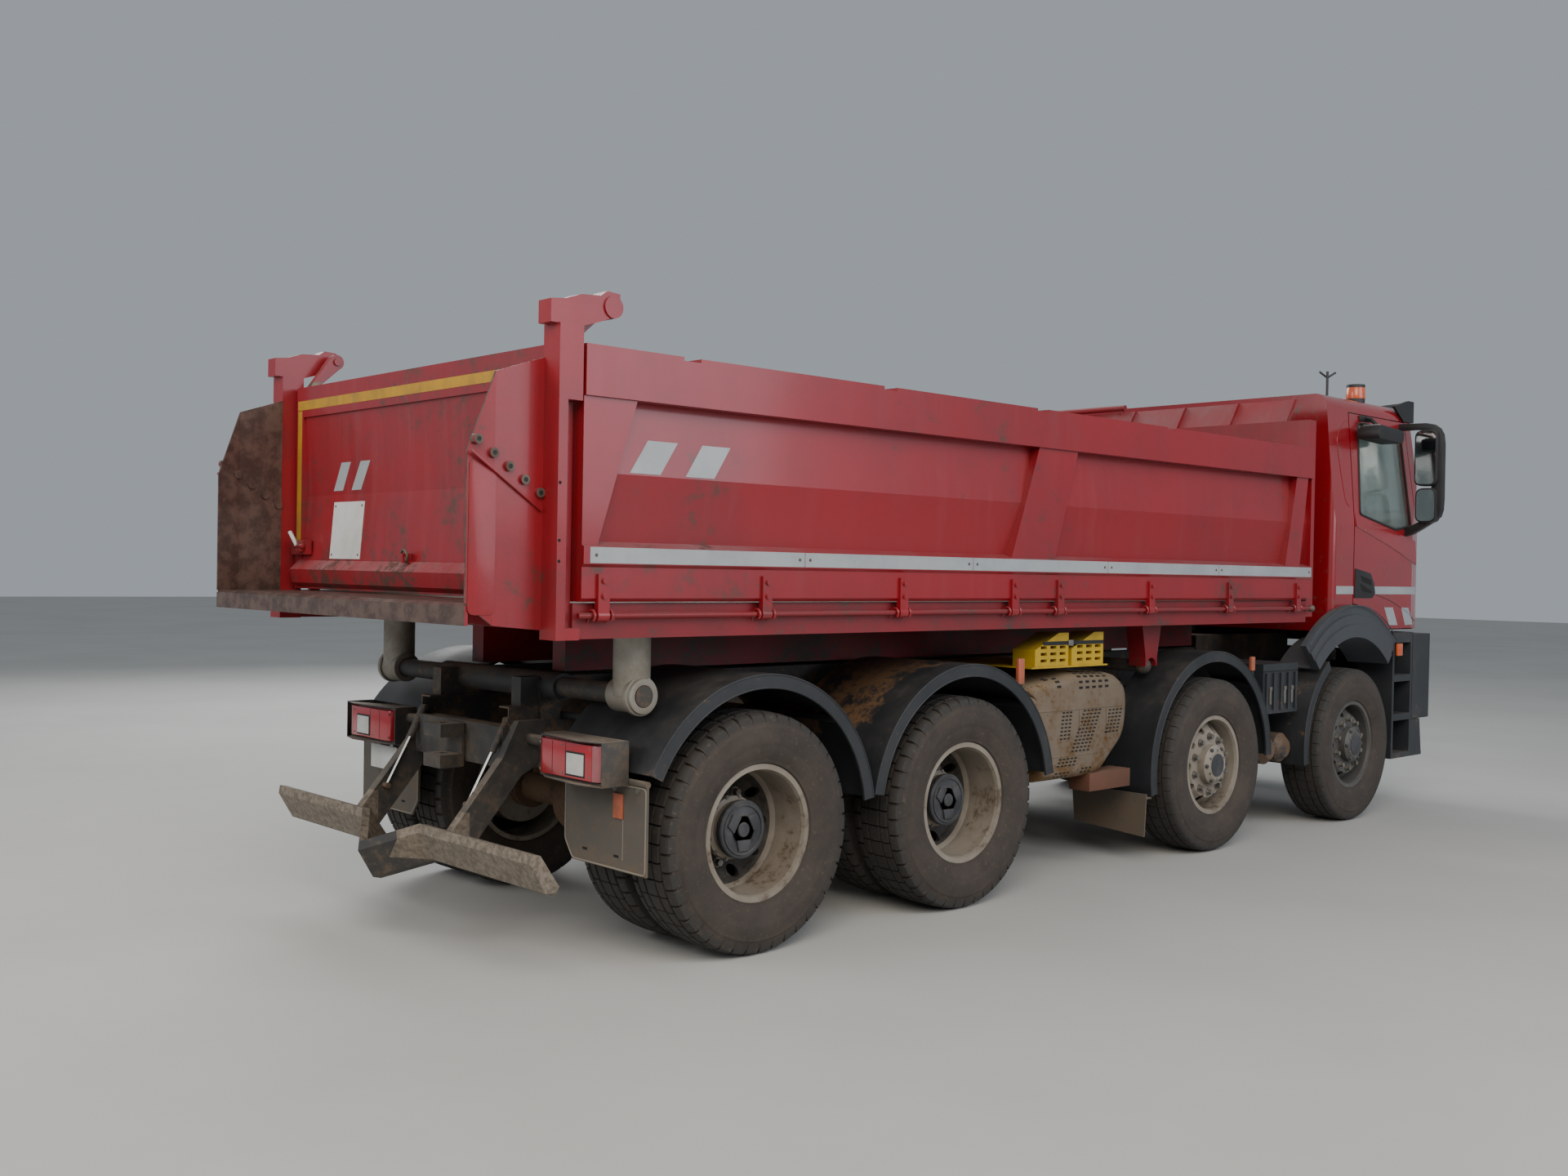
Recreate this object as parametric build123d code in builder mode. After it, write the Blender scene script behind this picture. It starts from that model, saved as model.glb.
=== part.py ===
from build123d import *
import math
import os

# Sizes are in millimetres. X runs forward from the middle of the truck, Y to its left, Z up from the ground.

# Axles, from the rear lip of the chute to the front of the bumper
chute_overhang = 1450
bogie_spacing = 1390
bogie_to_second = 2410
steer_spacing = 1840
front_overhang = 1450
overall_length = chute_overhang + bogie_spacing + bogie_to_second + steer_spacing + front_overhang
rear_axle_x = chute_overhang - overall_length / 2
third_axle_x = rear_axle_x + bogie_spacing
second_axle_x = third_axle_x + bogie_to_second
first_axle_x = second_axle_x + steer_spacing
bogie_x = (rear_axle_x + third_axle_x) / 2

# Tyres and rims
tyre_radius = 535
tyre_width = 315
bead_radius = 290
bead_share = 0.36
axle_z = tyre_radius
steer_tyre_y = 1070
dual_plane_y = 917
dual_offset = 172
steer_offset = 90
flange_height = 14
flange_width = 10
barrel_wall = 16
disc_wall = 13
stud_circle = 172
# Where the disc's slope steepens, as a share of its depth, and how deep and how wide each kind of disc is
disc_shoulder = 0.4
steer_joint = 110
steer_face_radius = stud_circle + 33
dual_joint = 100
dual_face_radius = stud_circle + 18
hand_hole_radius = 26
hand_hole_circle = 224
drum_radius = 205
rear_hub_radius = 142
rear_hub_reach = 190
steer_hub_radius = 122
steer_hub_reach = 62

# Frame and tipping frame
rail_outer_y = 385
rail_flange = 80
rail_wall = 8
rail_bottom_z = axle_z + 245
rail_depth = 280
rail_top_z = rail_bottom_z + rail_depth
rail_rear_x = rear_axle_x - 760
rail_front_x = first_axle_x + 1110
cross_tube_radius = 50
subframe_depth = 130
subframe_width = 75
subframe_top_z = rail_top_z + subframe_depth
subframe_front_x = first_axle_x - 740
pivot_x = rear_axle_x - 550
pivot_z = subframe_top_z - 40
pivot_tube_radius = 45
pivot_tube_half = 1090
front_rest_x = second_axle_x - 500
bearing_y = 1000
ball_radius = 50
hoist_x = third_axle_x + 310
hoist_pivot_z = rail_top_z - 10
hoist_base_z = hoist_pivot_z - 250
hoist_radius = 115
hoist_wall = 8
hoist_height = 530
hoist_stages = 4
stage_gap = 3
stage_step = 6
trunnion_radius = 32
head_pin_radius = 25

# Load bed
bed_half_width = 1165
body_half_width = 1275
bed_beam_z = subframe_top_z + 20
bed_beam_depth = 230
bed_member_depth = 95
floor_wall = 10
bed_beam_inner_y = 300
bed_beam_width = 100
floor_z = bed_beam_z + bed_beam_depth + bed_member_depth
floor_top_z = floor_z + floor_wall
bed_rear_x = rear_axle_x - 1125
bed_front_x = first_axle_x - 770
post_depth = 110
side_rail_y = 1225
side_flange_drop = 35
column_radius = 78
load_depth = 1010
load_top_z = floor_top_z + load_depth
wall_depth = 60

# Side boards, on hinges along their lower edge
board_rear_x = rear_axle_x - 1000
board_front_x = bed_front_x - 10
hinge_y = 1255
hinge_z = floor_top_z - 48
hinge_rod_radius = 12
hinge_eye_radius = 24
strap_width = 55
strap_height = 165
# Distances of the hinge straps from the rear axle
strap_stations = (-900, -30, 850, 1700, 2090, 2960, 3830, 4680)

# Tailgate, hung from the horns
tailgate_half = 1140
tailgate_inner_x = rear_axle_x - 1005
tailgate_wall = 55
gate_pivot_x = rear_axle_x - 870
gate_pivot_z = floor_top_z + 1165
gate_pin_radius = 18

# Cab
cab_half_width = 1150
cab_roof_half = 1075
cab_wall = 45
cab_rear_x = first_axle_x - 250
cab_front_x = first_axle_x + 1340
cab_floor_z = rail_top_z + 270
cab_sill_z = cab_floor_z + 750
screen_base_z = cab_floor_z + 800
cab_roof_z = cab_floor_z + 1660
screen_rake = 10
screen_bow = 150
door_rear_x = first_axle_x + 70
door_front_x = first_axle_x + 1080
door_gap = 7
# The door's rear edge moves back a little as it opens
door_swing_room = 5
cab_pivot_x = cab_front_x - 15
cab_pivot_z = rail_top_z + 30
arch_inner_radius = 753
arch_outer_radius = 980
arch_stand = 60
bumper_top_z = cab_pivot_z + 50
bumper_bottom_z = rail_bottom_z - 130

# Fenders and tanks
fender_inner_radius = 688
fender_wall = 14
fender_outer_radius = fender_inner_radius + fender_wall
fender_outer_y = 1250
fender_lip = 52
fender_lip_wall = 12


def side_plane(y):
    """Plane whose local X runs along the truck and local Y upwards, this far to the left."""
    return Plane(origin=(0, y, 0), x_dir=(1, 0, 0), z_dir=(0, -1, 0))


def cross_plane(x):
    """Plane whose local X runs to the left and local Y upwards, this far forward."""
    return Plane(origin=(x, 0, 0), x_dir=(0, 1, 0), z_dir=(1, 0, 0))


def slab(x0, x1, y0, y1, z0, z1, mode=Mode.ADD):
    """Rectangular piece between two corners."""
    with Locations(((x0 + x1) / 2, (y0 + y1) / 2, (z0 + z1) / 2)):
        Box(x1 - x0, y1 - y0, z1 - z0, mode=mode)


def bar_across(x, z, radius, y0, y1, mode=Mode.ADD):
    """Round bar along Y."""
    with Locations(Location((x, (y0 + y1) / 2, z), (90, 0, 0))):
        Cylinder(radius, y1 - y0, mode=mode)


def bar_along(y, z, radius, x0, x1, mode=Mode.ADD):
    """Round bar along X."""
    with Locations(Location(((x0 + x1) / 2, y, z), (0, 90, 0))):
        Cylinder(radius, x1 - x0, mode=mode)


def bar_up(x, y, radius, z0, z1, mode=Mode.ADD):
    """Round bar along Z."""
    with Locations((x, y, (z0 + z1) / 2)):
        Cylinder(radius, z1 - z0, mode=mode)


def rod(start, end, radius, mode=Mode.ADD):
    """Round rod from one point to another."""
    run = Vector(*end) - Vector(*start)
    with BuildSketch(Plane(origin=start, z_dir=run)) as section:
        Circle(radius)
    extrude(section.sketch, amount=run.length, mode=mode)


def side_plate(points, y, thickness, mode=Mode.ADD):
    """Plate cut to an outline of (x, z) points, reaching from y to the right."""
    with BuildSketch(side_plane(y)) as outline:
        with BuildLine():
            Polyline(*points, close=True)
        make_face()
    extrude(outline.sketch, amount=thickness, mode=mode)


def cross_plate(points, x, thickness, mode=Mode.ADD):
    """Plate cut to an outline of (y, z) points, reaching forward from x."""
    with BuildSketch(cross_plane(x)) as outline:
        with BuildLine():
            Polyline(*points, close=True)
        make_face()
    extrude(outline.sketch, amount=thickness, mode=mode)


def arched_strip(x, z, inner, outer, start, end, y, width, mode=Mode.ADD):
    """Strip curved round an axle from one angle to another, reaching from y to the right."""
    with BuildSketch(side_plane(y)) as strip:
        with BuildLine():
            crown = CenterArc((x, z), outer, start, end - start)
            belly = CenterArc((x, z), inner, start, end - start)
            Line(crown @ 0, belly @ 0)
            Line(crown @ 1, belly @ 1)
        make_face()
    extrude(strip.sketch, amount=width, mode=mode)


def both_sides():
    """Repeats what the block holds on the other side of the truck."""
    mirror(about=Plane.XZ)


def save(piece, name):
    """Labels a finished piece and writes it."""
    piece.part.label = name
    export_step(piece.part, f"parts/{name}.step")


os.makedirs("parts", exist_ok=True)

# Frame rails: two channels, tubes between them, and the cab's hinge plates in front
lamp_inner_y = 650
lamp_outer_y = 1100
lamp_bottom_z = rail_bottom_z + 20
lamp_top_z = lamp_bottom_z + 160
lamp_rear_x = rear_axle_x - 750
lamp_depth = 100
guard_wall = 8
guard_front_x = lamp_rear_x + lamp_depth + guard_wall
cross_z = rail_bottom_z + rail_depth / 2
cross_tubes = (rail_rear_x + 60, bogie_x, hoist_x + 800, front_rest_x, rail_front_x - 60)
with BuildPart() as frame_rails:
    inner_y = rail_outer_y - rail_flange
    web_y = rail_outer_y - rail_wall
    low = rail_bottom_z + rail_wall
    high = rail_top_z - rail_wall
    channel = (
        (inner_y, rail_bottom_z), (rail_outer_y, rail_bottom_z), (rail_outer_y, rail_top_z),
        (inner_y, rail_top_z), (inner_y, high), (web_y, high), (web_y, low), (inner_y, low),
    )
    cross_plate(channel, rail_rear_x, rail_front_x - rail_rear_x)
    both_sides()
    for tube_x in cross_tubes:
        bar_across(tube_x, cross_z, cross_tube_radius, -web_y - 1, web_y + 1)
    for side in (-1, 1):
        # Plate and pin that the cab tilts on
        near, far = sorted((side * rail_outer_y, side * (rail_outer_y + 16)))
        slab(rail_front_x - 150, cab_pivot_x + 35, near, far, cab_pivot_z - 45, cab_pivot_z + 35)
        bar_across(cab_pivot_x, cab_pivot_z, 20, *sorted((side * (rail_outer_y - 70),
                                                          side * (rail_outer_y + 1))))
save(frame_rails, "frame_rails")

# Tipping frame: rails on top of the frame, the rear pivot tube, the front rest tube and the hoist cradle
cradle_y = hoist_radius + 40
with BuildPart() as tipper_subframe:
    inner_y = rail_outer_y - subframe_width
    slab(rail_rear_x + 60, subframe_front_x, inner_y, rail_outer_y, rail_top_z, subframe_top_z)
    cheek = (
        (pivot_x - 48, rail_bottom_z + 60), (pivot_x + 48, rail_bottom_z + 60), (pivot_x + 60, pivot_z + 30),
        (pivot_x - 60, pivot_z + 30),
    )
    side_plate(cheek, rail_outer_y + 15, 15)
    side_plate(((hoist_x - 250, rail_top_z + 10), (hoist_x + 170, rail_top_z + 10),
                (hoist_x + 90, hoist_pivot_z - 60),
                (hoist_x - 90, hoist_pivot_z - 60)), cradle_y + 25, 25)
    both_sides()
    for bar_x in (hoist_x - 245, hoist_x + 145):
        slab(bar_x, bar_x + 35, -inner_y - 1, inner_y + 1, rail_top_z + 10, rail_top_z + 70)
    for side in (-1, 1):
        slab(hoist_x - 245, hoist_x + 180, *sorted((side * cradle_y, side * (cradle_y + 25))),
             rail_top_z + 10, rail_top_z + 70)
    bar_across(pivot_x, pivot_z, pivot_tube_radius, -pivot_tube_half, pivot_tube_half)
    bar_across(pivot_x, pivot_z, pivot_tube_radius + 15, -rail_outer_y - 120, rail_outer_y + 120)
    bar_across(front_rest_x, pivot_z, pivot_tube_radius - 8, -bearing_y, bearing_y)
    for side in (-1, 1):
        with Locations((front_rest_x, side * bearing_y, pivot_z)):
            Sphere(ball_radius)
    bar_across(hoist_x, hoist_pivot_z, trunnion_radius + 1, -cradle_y - 30, cradle_y + 30, Mode.SUBTRACT)
save(tipper_subframe, "tipper_subframe")

# Driveline: engine and gearbox as plain castings, and the propeller shafts
engine_half = 285
gearbox_half = 170
shaft_z = axle_z + 75
diff_reach = 290
with BuildPart() as driveline:
    engine_outline = (
        (first_axle_x - 560, axle_z + 260), (first_axle_x - 560, cab_floor_z - 60),
        (first_axle_x + 780, cab_floor_z - 60), (first_axle_x + 780, axle_z + 140), (first_axle_x - 300,
                                                                                     axle_z + 110),
    )
    side_plate(engine_outline, engine_half, 2 * engine_half)
    gearbox_outline = (
        (first_axle_x - 1250, axle_z + 160), (first_axle_x - 1250, axle_z + 330), (first_axle_x - 560,
                                                                                   rail_top_z - 20),
        (first_axle_x - 560, axle_z + 130),
    )
    side_plate(gearbox_outline, gearbox_half, 2 * gearbox_half)
    shaft_start = first_axle_x - 1250
    bar_along(0, axle_z + 215, 62, shaft_start - 40, shaft_start + 1)
    shaft_end = third_axle_x + diff_reach + 22
    rod((shaft_start - 20, 0, axle_z + 215), (shaft_end - 5, 0, shaft_z), 42)
    bar_along(0, shaft_z, 66, third_axle_x + diff_reach, shaft_end)
    bar_along(0, shaft_z, 66, third_axle_x - diff_reach - 22, third_axle_x - diff_reach)
    bar_along(0, shaft_z, 36, rear_axle_x + diff_reach + 10, third_axle_x - diff_reach - 10)
    bar_along(0, shaft_z, 66, rear_axle_x + diff_reach, rear_axle_x + diff_reach + 22)
save(driveline, "driveline")

# Drive axles: turned housings with a nose on each side that a shaft meets
spindle_radius = 60
spindle_gap = 2
spindle_end = dual_plane_y + 90
hub_flange_y = dual_plane_y - dual_offset - 113 - 20
tube_radius = 80
# Distance from the middle and radius of the housing there
housing = ((0, 190), (110, 185), (200, 112), (300, tube_radius), (hub_flange_y - 60, tube_radius),
           (hub_flange_y - 60, 118), (hub_flange_y, 118), (hub_flange_y, spindle_radius), (spindle_end,
                                                                                           spindle_radius))
with BuildPart() as drive_axles:
    for axle_x in (rear_axle_x, third_axle_x):
        with BuildSketch(Plane(origin=(axle_x, 0, axle_z), x_dir=(0, 1, 0), z_dir=(1, 0, 0))) as section:
            with BuildLine():
                Polyline((0, 0), *housing, (spindle_end, 0), close=True)
            make_face()
            mirror(about=Plane.YZ)
        revolve(section.sketch, axis=Axis((axle_x, 0, axle_z), (0, 1, 0)), revolution_arc=360)
        bar_along(0, shaft_z, 92, axle_x, axle_x + diff_reach)
    bar_along(0, shaft_z, 92, third_axle_x - diff_reach, third_axle_x)
save(drive_axles, "drive_axles")

# Steered axles: a dropped beam that rises to an eye for each kingpin
kingpin_y = 920
kingpin_radius = 20
eye_radius = 46
eye_half = 68
beam_half_x = 45
beam_top_z = axle_z - 30
beam_outline = (
    (0, beam_top_z), (600, beam_top_z), (800, axle_z + 60), (kingpin_y - 10, axle_z + 60), (kingpin_y - 10,
                                                                                            axle_z - 60),
    (820, axle_z - 60), (640, axle_z - 122), (0, axle_z - 122),
)
with BuildPart() as front_axles:
    for axle_x in (second_axle_x, first_axle_x):
        cross_plate(beam_outline, axle_x - beam_half_x, 2 * beam_half_x)
        bar_up(axle_x, kingpin_y, eye_radius, axle_z - eye_half, axle_z + eye_half)
        bar_up(axle_x, kingpin_y, kingpin_radius + 0.5, 0, rail_top_z, Mode.SUBTRACT)
    both_sides()
save(front_axles, "front_axles")

# Knuckles: a fork on the kingpin, the stub that carries the hub, and a steering arm
ear_gap = 4
ear_height = 48
fork_inner_y = 52
fork_outer_y = 84
stub_radius = 40
stub_gap = 1
steer_plane_y = steer_tyre_y + steer_offset
stub_end_y = steer_plane_y + 30
steered_axles = ((1, first_axle_x), (2, second_axle_x))
for number, axle_x in steered_axles:
    for side, side_name in ((1, "left"), (-1, "right")):
        ear_bottom = axle_z + eye_half + ear_gap
        ear_top = ear_bottom + ear_height
        ear_drop = 2 * axle_z - ear_bottom
        pin_y = side * kingpin_y
        with BuildPart() as knuckle:
            bar_up(axle_x, pin_y, kingpin_radius, 2 * axle_z - ear_top, ear_top)
            near, far = sorted((pin_y, side * (kingpin_y + fork_outer_y)))
            for low, high in ((ear_bottom, ear_top), (2 * axle_z - ear_top, ear_drop)):
                bar_up(axle_x, pin_y, eye_radius + 2, low, high)
                slab(axle_x - beam_half_x, axle_x + beam_half_x, near, far, low, high)
            near, far = sorted((side * (kingpin_y + fork_inner_y), side * (kingpin_y + fork_outer_y)))
            slab(axle_x - beam_half_x, axle_x + beam_half_x, near, far, 2 * axle_z - ear_top, ear_top)
            bar_across(axle_x, axle_z, stub_radius, *sorted((side * (kingpin_y + fork_inner_y),
                                                             side * stub_end_y)))
            near, far = sorted((side * (kingpin_y - 22), side * (kingpin_y + 22)))
            slab(axle_x - 230, axle_x, near, far, 2 * axle_z - ear_top + 6, ear_drop - 10)
        save(knuckle, f"knuckle_{number}_{side_name}")

# Wheels. Tyre outline: share of the width from the middle, and share of the height from bead to tread
tyre_outline = ((0.36, 0.0), (0.36, 0.07), (0.46, 0.24), (0.5, 0.48), (0.47, 0.8), (0.44, 0.94), (0.38, 1.0))


def tyre_ring(x, y):
    """Tyre round an axle line, with its middle this far to the left."""
    rise = tyre_radius - bead_radius
    half = [(share * tyre_width, bead_radius + height * rise) for share, height in tyre_outline]
    with BuildSketch(Plane(origin=(x, y, axle_z), x_dir=(0, 1, 0), z_dir=(1, 0, 0))) as section:
        with BuildLine():
            Polyline(*half, *[(-u, r) for u, r in reversed(half)], close=True)
        make_face()
    revolve(section.sketch, axis=Axis((x, 0, axle_z), (0, 1, 0)), revolution_arc=360)


def turned(points, x, y, direction, mode=Mode.ADD):
    """Ring turned about an axle from (distance, radius) points, the distances counted from y."""
    plane = Plane(origin=(x, y, axle_z), x_dir=(0, direction, 0), z_dir=(direction, 0, 0))
    with BuildSketch(plane) as section:
        with BuildLine():
            Polyline(*points, close=True)
        make_face()
    revolve(section.sketch, axis=Axis((x, 0, axle_z), (0, 1, 0)), revolution_arc=360, mode=mode)


def rim_rings(x, y, direction, offset, hub_bore, joint, face_radius):
    """Barrel with its two flanges, and the dished disc that bolts to the hub at y."""
    seat = bead_share * tyre_width
    start = offset - seat
    end = offset + seat
    outer = bead_radius
    inner = bead_radius - barrel_wall
    lip = bead_radius + flange_height
    barrel = (
        (start - flange_width, lip), (start, lip), (start, outer), (end, outer), (end, lip),
        (end + flange_width, lip), (end + flange_width, inner + 6), (end - 6, inner), (start + 6, inner),
        (start - flange_width, inner + 6),
    )
    turned(barrel, x, y, direction)
    shoulder = disc_shoulder * joint
    dish = (
        (joint - 30, inner + 1), (joint + 6, inner + 1), (shoulder + disc_wall + 1, 238),
        (disc_wall, face_radius), (disc_wall, hub_bore), (0, hub_bore), (0, face_radius), (shoulder, 244),
    )
    turned(dish, x, y, direction)


def hand_holes(x, y, direction, joint):
    """Ten holes through the slope of a disc."""
    depth = disc_shoulder * joint
    plane = Plane(origin=(x, y + direction * (depth - 60), axle_z), x_dir=(1, 0, 0), z_dir=(0, direction, 0))
    with BuildSketch(plane) as holes:
        with PolarLocations(hand_hole_circle, 10):
            Circle(hand_hole_radius)
    extrude(holes.sketch, amount=130, mode=Mode.SUBTRACT)


for number, axle_x in steered_axles:
    for side, side_name in ((1, "left"), (-1, "right")):
        with BuildPart() as tyre:
            tyre_ring(axle_x, side * steer_tyre_y)
        save(tyre, f"tyre_{number}_{side_name}")
        with BuildPart() as rim:
            plane_y = side * steer_plane_y
            rim_rings(axle_x, plane_y, -side, steer_offset, 60, steer_joint, steer_face_radius)
            hand_holes(axle_x, plane_y, -side, steer_joint)
            bore = stub_radius + stub_gap
            hub = (
                (-steer_hub_reach, 0), (-steer_hub_reach, steer_hub_radius - 30),
                (-steer_hub_reach + 20, steer_hub_radius), (0, steer_hub_radius), (0, 150), (20, 150),
                (20, drum_radius), (150, drum_radius), (150, bore), (-31, bore), (-31, 0),
            )
            turned(hub, axle_x, plane_y, -side)
        save(rim, f"rim_{number}_{side_name}")

for number, axle_x in ((3, third_axle_x), (4, rear_axle_x)):
    for side, side_name in ((1, "left"), (-1, "right")):
        plane_y = side * dual_plane_y
        with BuildPart() as tyre:
            tyre_ring(axle_x, side * (dual_plane_y + dual_offset))
            tyre_ring(axle_x, side * (dual_plane_y - dual_offset))
        save(tyre, f"tyre_{number}_{side_name}")
        with BuildPart() as rim:
            for direction in (side, -side):
                rim_rings(axle_x, plane_y, direction, dual_offset, 100, dual_joint, dual_face_radius)
                hand_holes(axle_x, plane_y, direction, dual_joint)
            bore = spindle_radius + spindle_gap
            hub = (
                (rear_hub_reach, 0), (rear_hub_reach, 96), (rear_hub_reach - 24, 118),
                (rear_hub_reach - 60, 122), (rear_hub_reach - 70, rear_hub_radius), (-20, rear_hub_radius),
                (-30, drum_radius), (-dual_offset - 98, drum_radius), (-dual_offset - 98, bore), (95, bore),
                (95, 0),
            )
            turned(hub, axle_x, plane_y, side)
        save(rim, f"rim_{number}_{side_name}")

# Leaf springs: packs on the steered axles, inverted packs across the bogie, and their hangers
spring_inner_y = 398
spring_outer_y = 488
spring_half = 780
pack_depth = 62
with BuildPart() as leaf_springs:
    for axle_x in (second_axle_x, first_axle_x):
        end_z = rail_bottom_z - 60
        with BuildSketch(side_plane(spring_outer_y)) as pack:
            with BuildLine():
                belly = ThreePointArc((axle_x - spring_half, end_z - 20), (axle_x, beam_top_z),
                                      (axle_x + spring_half, end_z - 20))
                crown = ThreePointArc((axle_x - spring_half, end_z + 10), (axle_x, beam_top_z + pack_depth),
                                      (axle_x + spring_half, end_z + 10))
                Line(belly @ 0, crown @ 0)
                Line(belly @ 1, crown @ 1)
            make_face()
        extrude(pack.sketch, amount=spring_outer_y - spring_inner_y)
        for end in (-1, 1):
            end_x = axle_x + end * (spring_half - 10)
            hanger = ((end_x - 35, end_z - 45), (end_x + 35, end_z - 45), (end_x + 60, rail_top_z - 90),
                      (end_x - 60, rail_top_z - 90))
            side_plate(hanger, spring_outer_y, spring_outer_y - rail_outer_y)
    with BuildSketch(side_plane(spring_outer_y)) as pack:
        with BuildLine():
            seat_z = axle_z + tube_radius
            belly = ThreePointArc((rear_axle_x - 50, seat_z), (bogie_x, seat_z + 50),
                                  (third_axle_x + 50, seat_z))
            crown = ThreePointArc((rear_axle_x - 50, seat_z + 35), (bogie_x, seat_z + 150),
                                  (third_axle_x + 50, seat_z + 35))
            Line(belly @ 0, crown @ 0)
            Line(belly @ 1, crown @ 1)
        make_face()
    extrude(pack.sketch, amount=spring_outer_y - spring_inner_y)
    side_plate(((bogie_x - 130, axle_z + 40), (bogie_x + 130, axle_z + 40), (bogie_x + 90, rail_top_z - 90),
                (bogie_x - 90, rail_top_z - 90)), spring_outer_y, spring_outer_y - rail_outer_y)
    both_sides()
save(leaf_springs, "leaf_springs")

# Fenders: half rings over the tyres on tubes from the frame, and the guard behind the front wheels
steer_fender_inner_y = 890
steer_fender_outer_y = 1200
dual_fender_inner_y = 560
support_radius = 18
support_reach = fender_inner_radius - support_radius + 1
# Axle, start and end angle, inner and outer edge of each strip
fender_table = (
    (rear_axle_x, 8, 154, dual_fender_inner_y, fender_outer_y),
    (third_axle_x, 8, 171, dual_fender_inner_y, fender_outer_y),
    (second_axle_x, 1, 191, steer_fender_inner_y, steer_fender_outer_y),
    (first_axle_x, 122, 188, steer_fender_inner_y, steer_fender_outer_y),
)
with BuildPart() as fenders:
    for axle_x, start, end, inner_y, outer_y in fender_table:
        arched_strip(axle_x, axle_z, fender_inner_radius, fender_outer_radius, start, end, outer_y,
                     outer_y - inner_y)
        arched_strip(axle_x, axle_z, fender_inner_radius - fender_lip, fender_outer_radius, start, end,
                     outer_y, fender_lip_wall)
        for angle in (45, 135):
            if start < angle < end:
                tube_x = axle_x + support_reach * math.cos(math.radians(angle))
                tube_z = axle_z + support_reach * math.sin(math.radians(angle))
                bar_across(tube_x, tube_z, support_radius, rail_outer_y, outer_y - 20)
    both_sides()
save(fenders, "fenders")

# Tank, silencer and boxes between the second and third axle
side_box_rear_x = third_axle_x + 740
side_box_front_x = side_box_rear_x + 820
side_box_inner_y = 430
side_box_outer_y = 1150
tank_bottom_z = axle_z + 35
tank_top_z = axle_z + 625
with BuildPart() as fuel_tank:
    with BuildSketch(cross_plane(side_box_rear_x + 10)) as section:
        with BuildLine():
            Polyline((side_box_inner_y + 30, tank_bottom_z), (side_box_outer_y, tank_bottom_z),
                     (side_box_outer_y, tank_top_z),
                     (side_box_inner_y + 30, tank_top_z), close=True)
        make_face()
        fillet(section.vertices(), 90)
    extrude(section.sketch, amount=side_box_front_x - side_box_rear_x - 10)
    for strap_x in (side_box_rear_x + 160, side_box_front_x - 200):
        with BuildSketch(cross_plane(strap_x)) as strap:
            with BuildLine():
                Polyline((side_box_inner_y + 22, tank_bottom_z - 8),
                         (side_box_outer_y + 8, tank_bottom_z - 8),
                         (side_box_outer_y + 8, tank_top_z + 8), (side_box_inner_y + 22,
                                                                  tank_top_z + 8), close=True)
            make_face()
            fillet(strap.vertices(), 98)
        extrude(strap.sketch, amount=60)
        side_plate(((strap_x, rail_bottom_z + 20), (strap_x + 60, rail_bottom_z + 20),
                    (strap_x + 60, rail_top_z - 60),
                    (strap_x, rail_top_z - 60)), side_box_inner_y + 60, side_box_inner_y + 60 - rail_outer_y)
    bar_up(side_box_rear_x + 420, side_box_outer_y - 200, 45, tank_top_z - 1, tank_top_z + 30)
save(fuel_tank, "fuel_tank")

# Silencer in its perforated shield: a domed top that falls to the front, and the outlet below it
silencer_top_z = axle_z + 615
silencer_bottom_z = axle_z + 20
silencer_clear = 16
duct_length = 390
duct_reach = 10
duct_width = 140
duct_drop = 80
duct_lap = 22
duct_wall = 6
with BuildPart() as silencer:
    with BuildSketch(side_plane(-side_box_inner_y)) as shield:
        with BuildLine():
            Polyline((side_box_rear_x - 200, silencer_bottom_z), (side_box_front_x - 280, silencer_bottom_z),
                     (side_box_front_x - 40, silencer_bottom_z + 210), (side_box_front_x - 10,
                                                                        silencer_bottom_z + 330),
                     (side_box_front_x - 10, silencer_top_z - 90), (side_box_front_x - 120,
                                                                    silencer_top_z - 15),
                     (side_box_rear_x + 260, silencer_top_z), (side_box_rear_x - 160,
                                                               silencer_top_z - 70), close=True)
        make_face()
        with Locations((third_axle_x, axle_z)):
            Circle(fender_outer_radius + silencer_clear, mode=Mode.SUBTRACT)
    extrude(shield.sketch, amount=side_box_outer_y - side_box_inner_y)
    slab(side_box_rear_x + 200, side_box_rear_x + 260, -side_box_inner_y - 1, -rail_outer_y,
         rail_bottom_z + 30, rail_top_z - 60)
    slab(side_box_front_x - 180, side_box_front_x - 120, -side_box_inner_y - 1, -rail_outer_y,
         rail_bottom_z + 30,
         rail_top_z - 60)
    # Outlet duct below, open at its front end
    duct_front_x = side_box_front_x + duct_reach
    duct_low_z = silencer_bottom_z - duct_drop
    duct_high_z = silencer_bottom_z + duct_lap
    slab(side_box_front_x - duct_length, duct_front_x, -side_box_outer_y, -side_box_outer_y + duct_width,
         duct_low_z, duct_high_z)
    slab(duct_front_x - 70, duct_front_x + 1, -side_box_outer_y + duct_wall,
         -side_box_outer_y + duct_width - duct_wall, duct_low_z + duct_wall, duct_high_z - duct_wall,
         Mode.SUBTRACT)
save(silencer, "silencer")

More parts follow.
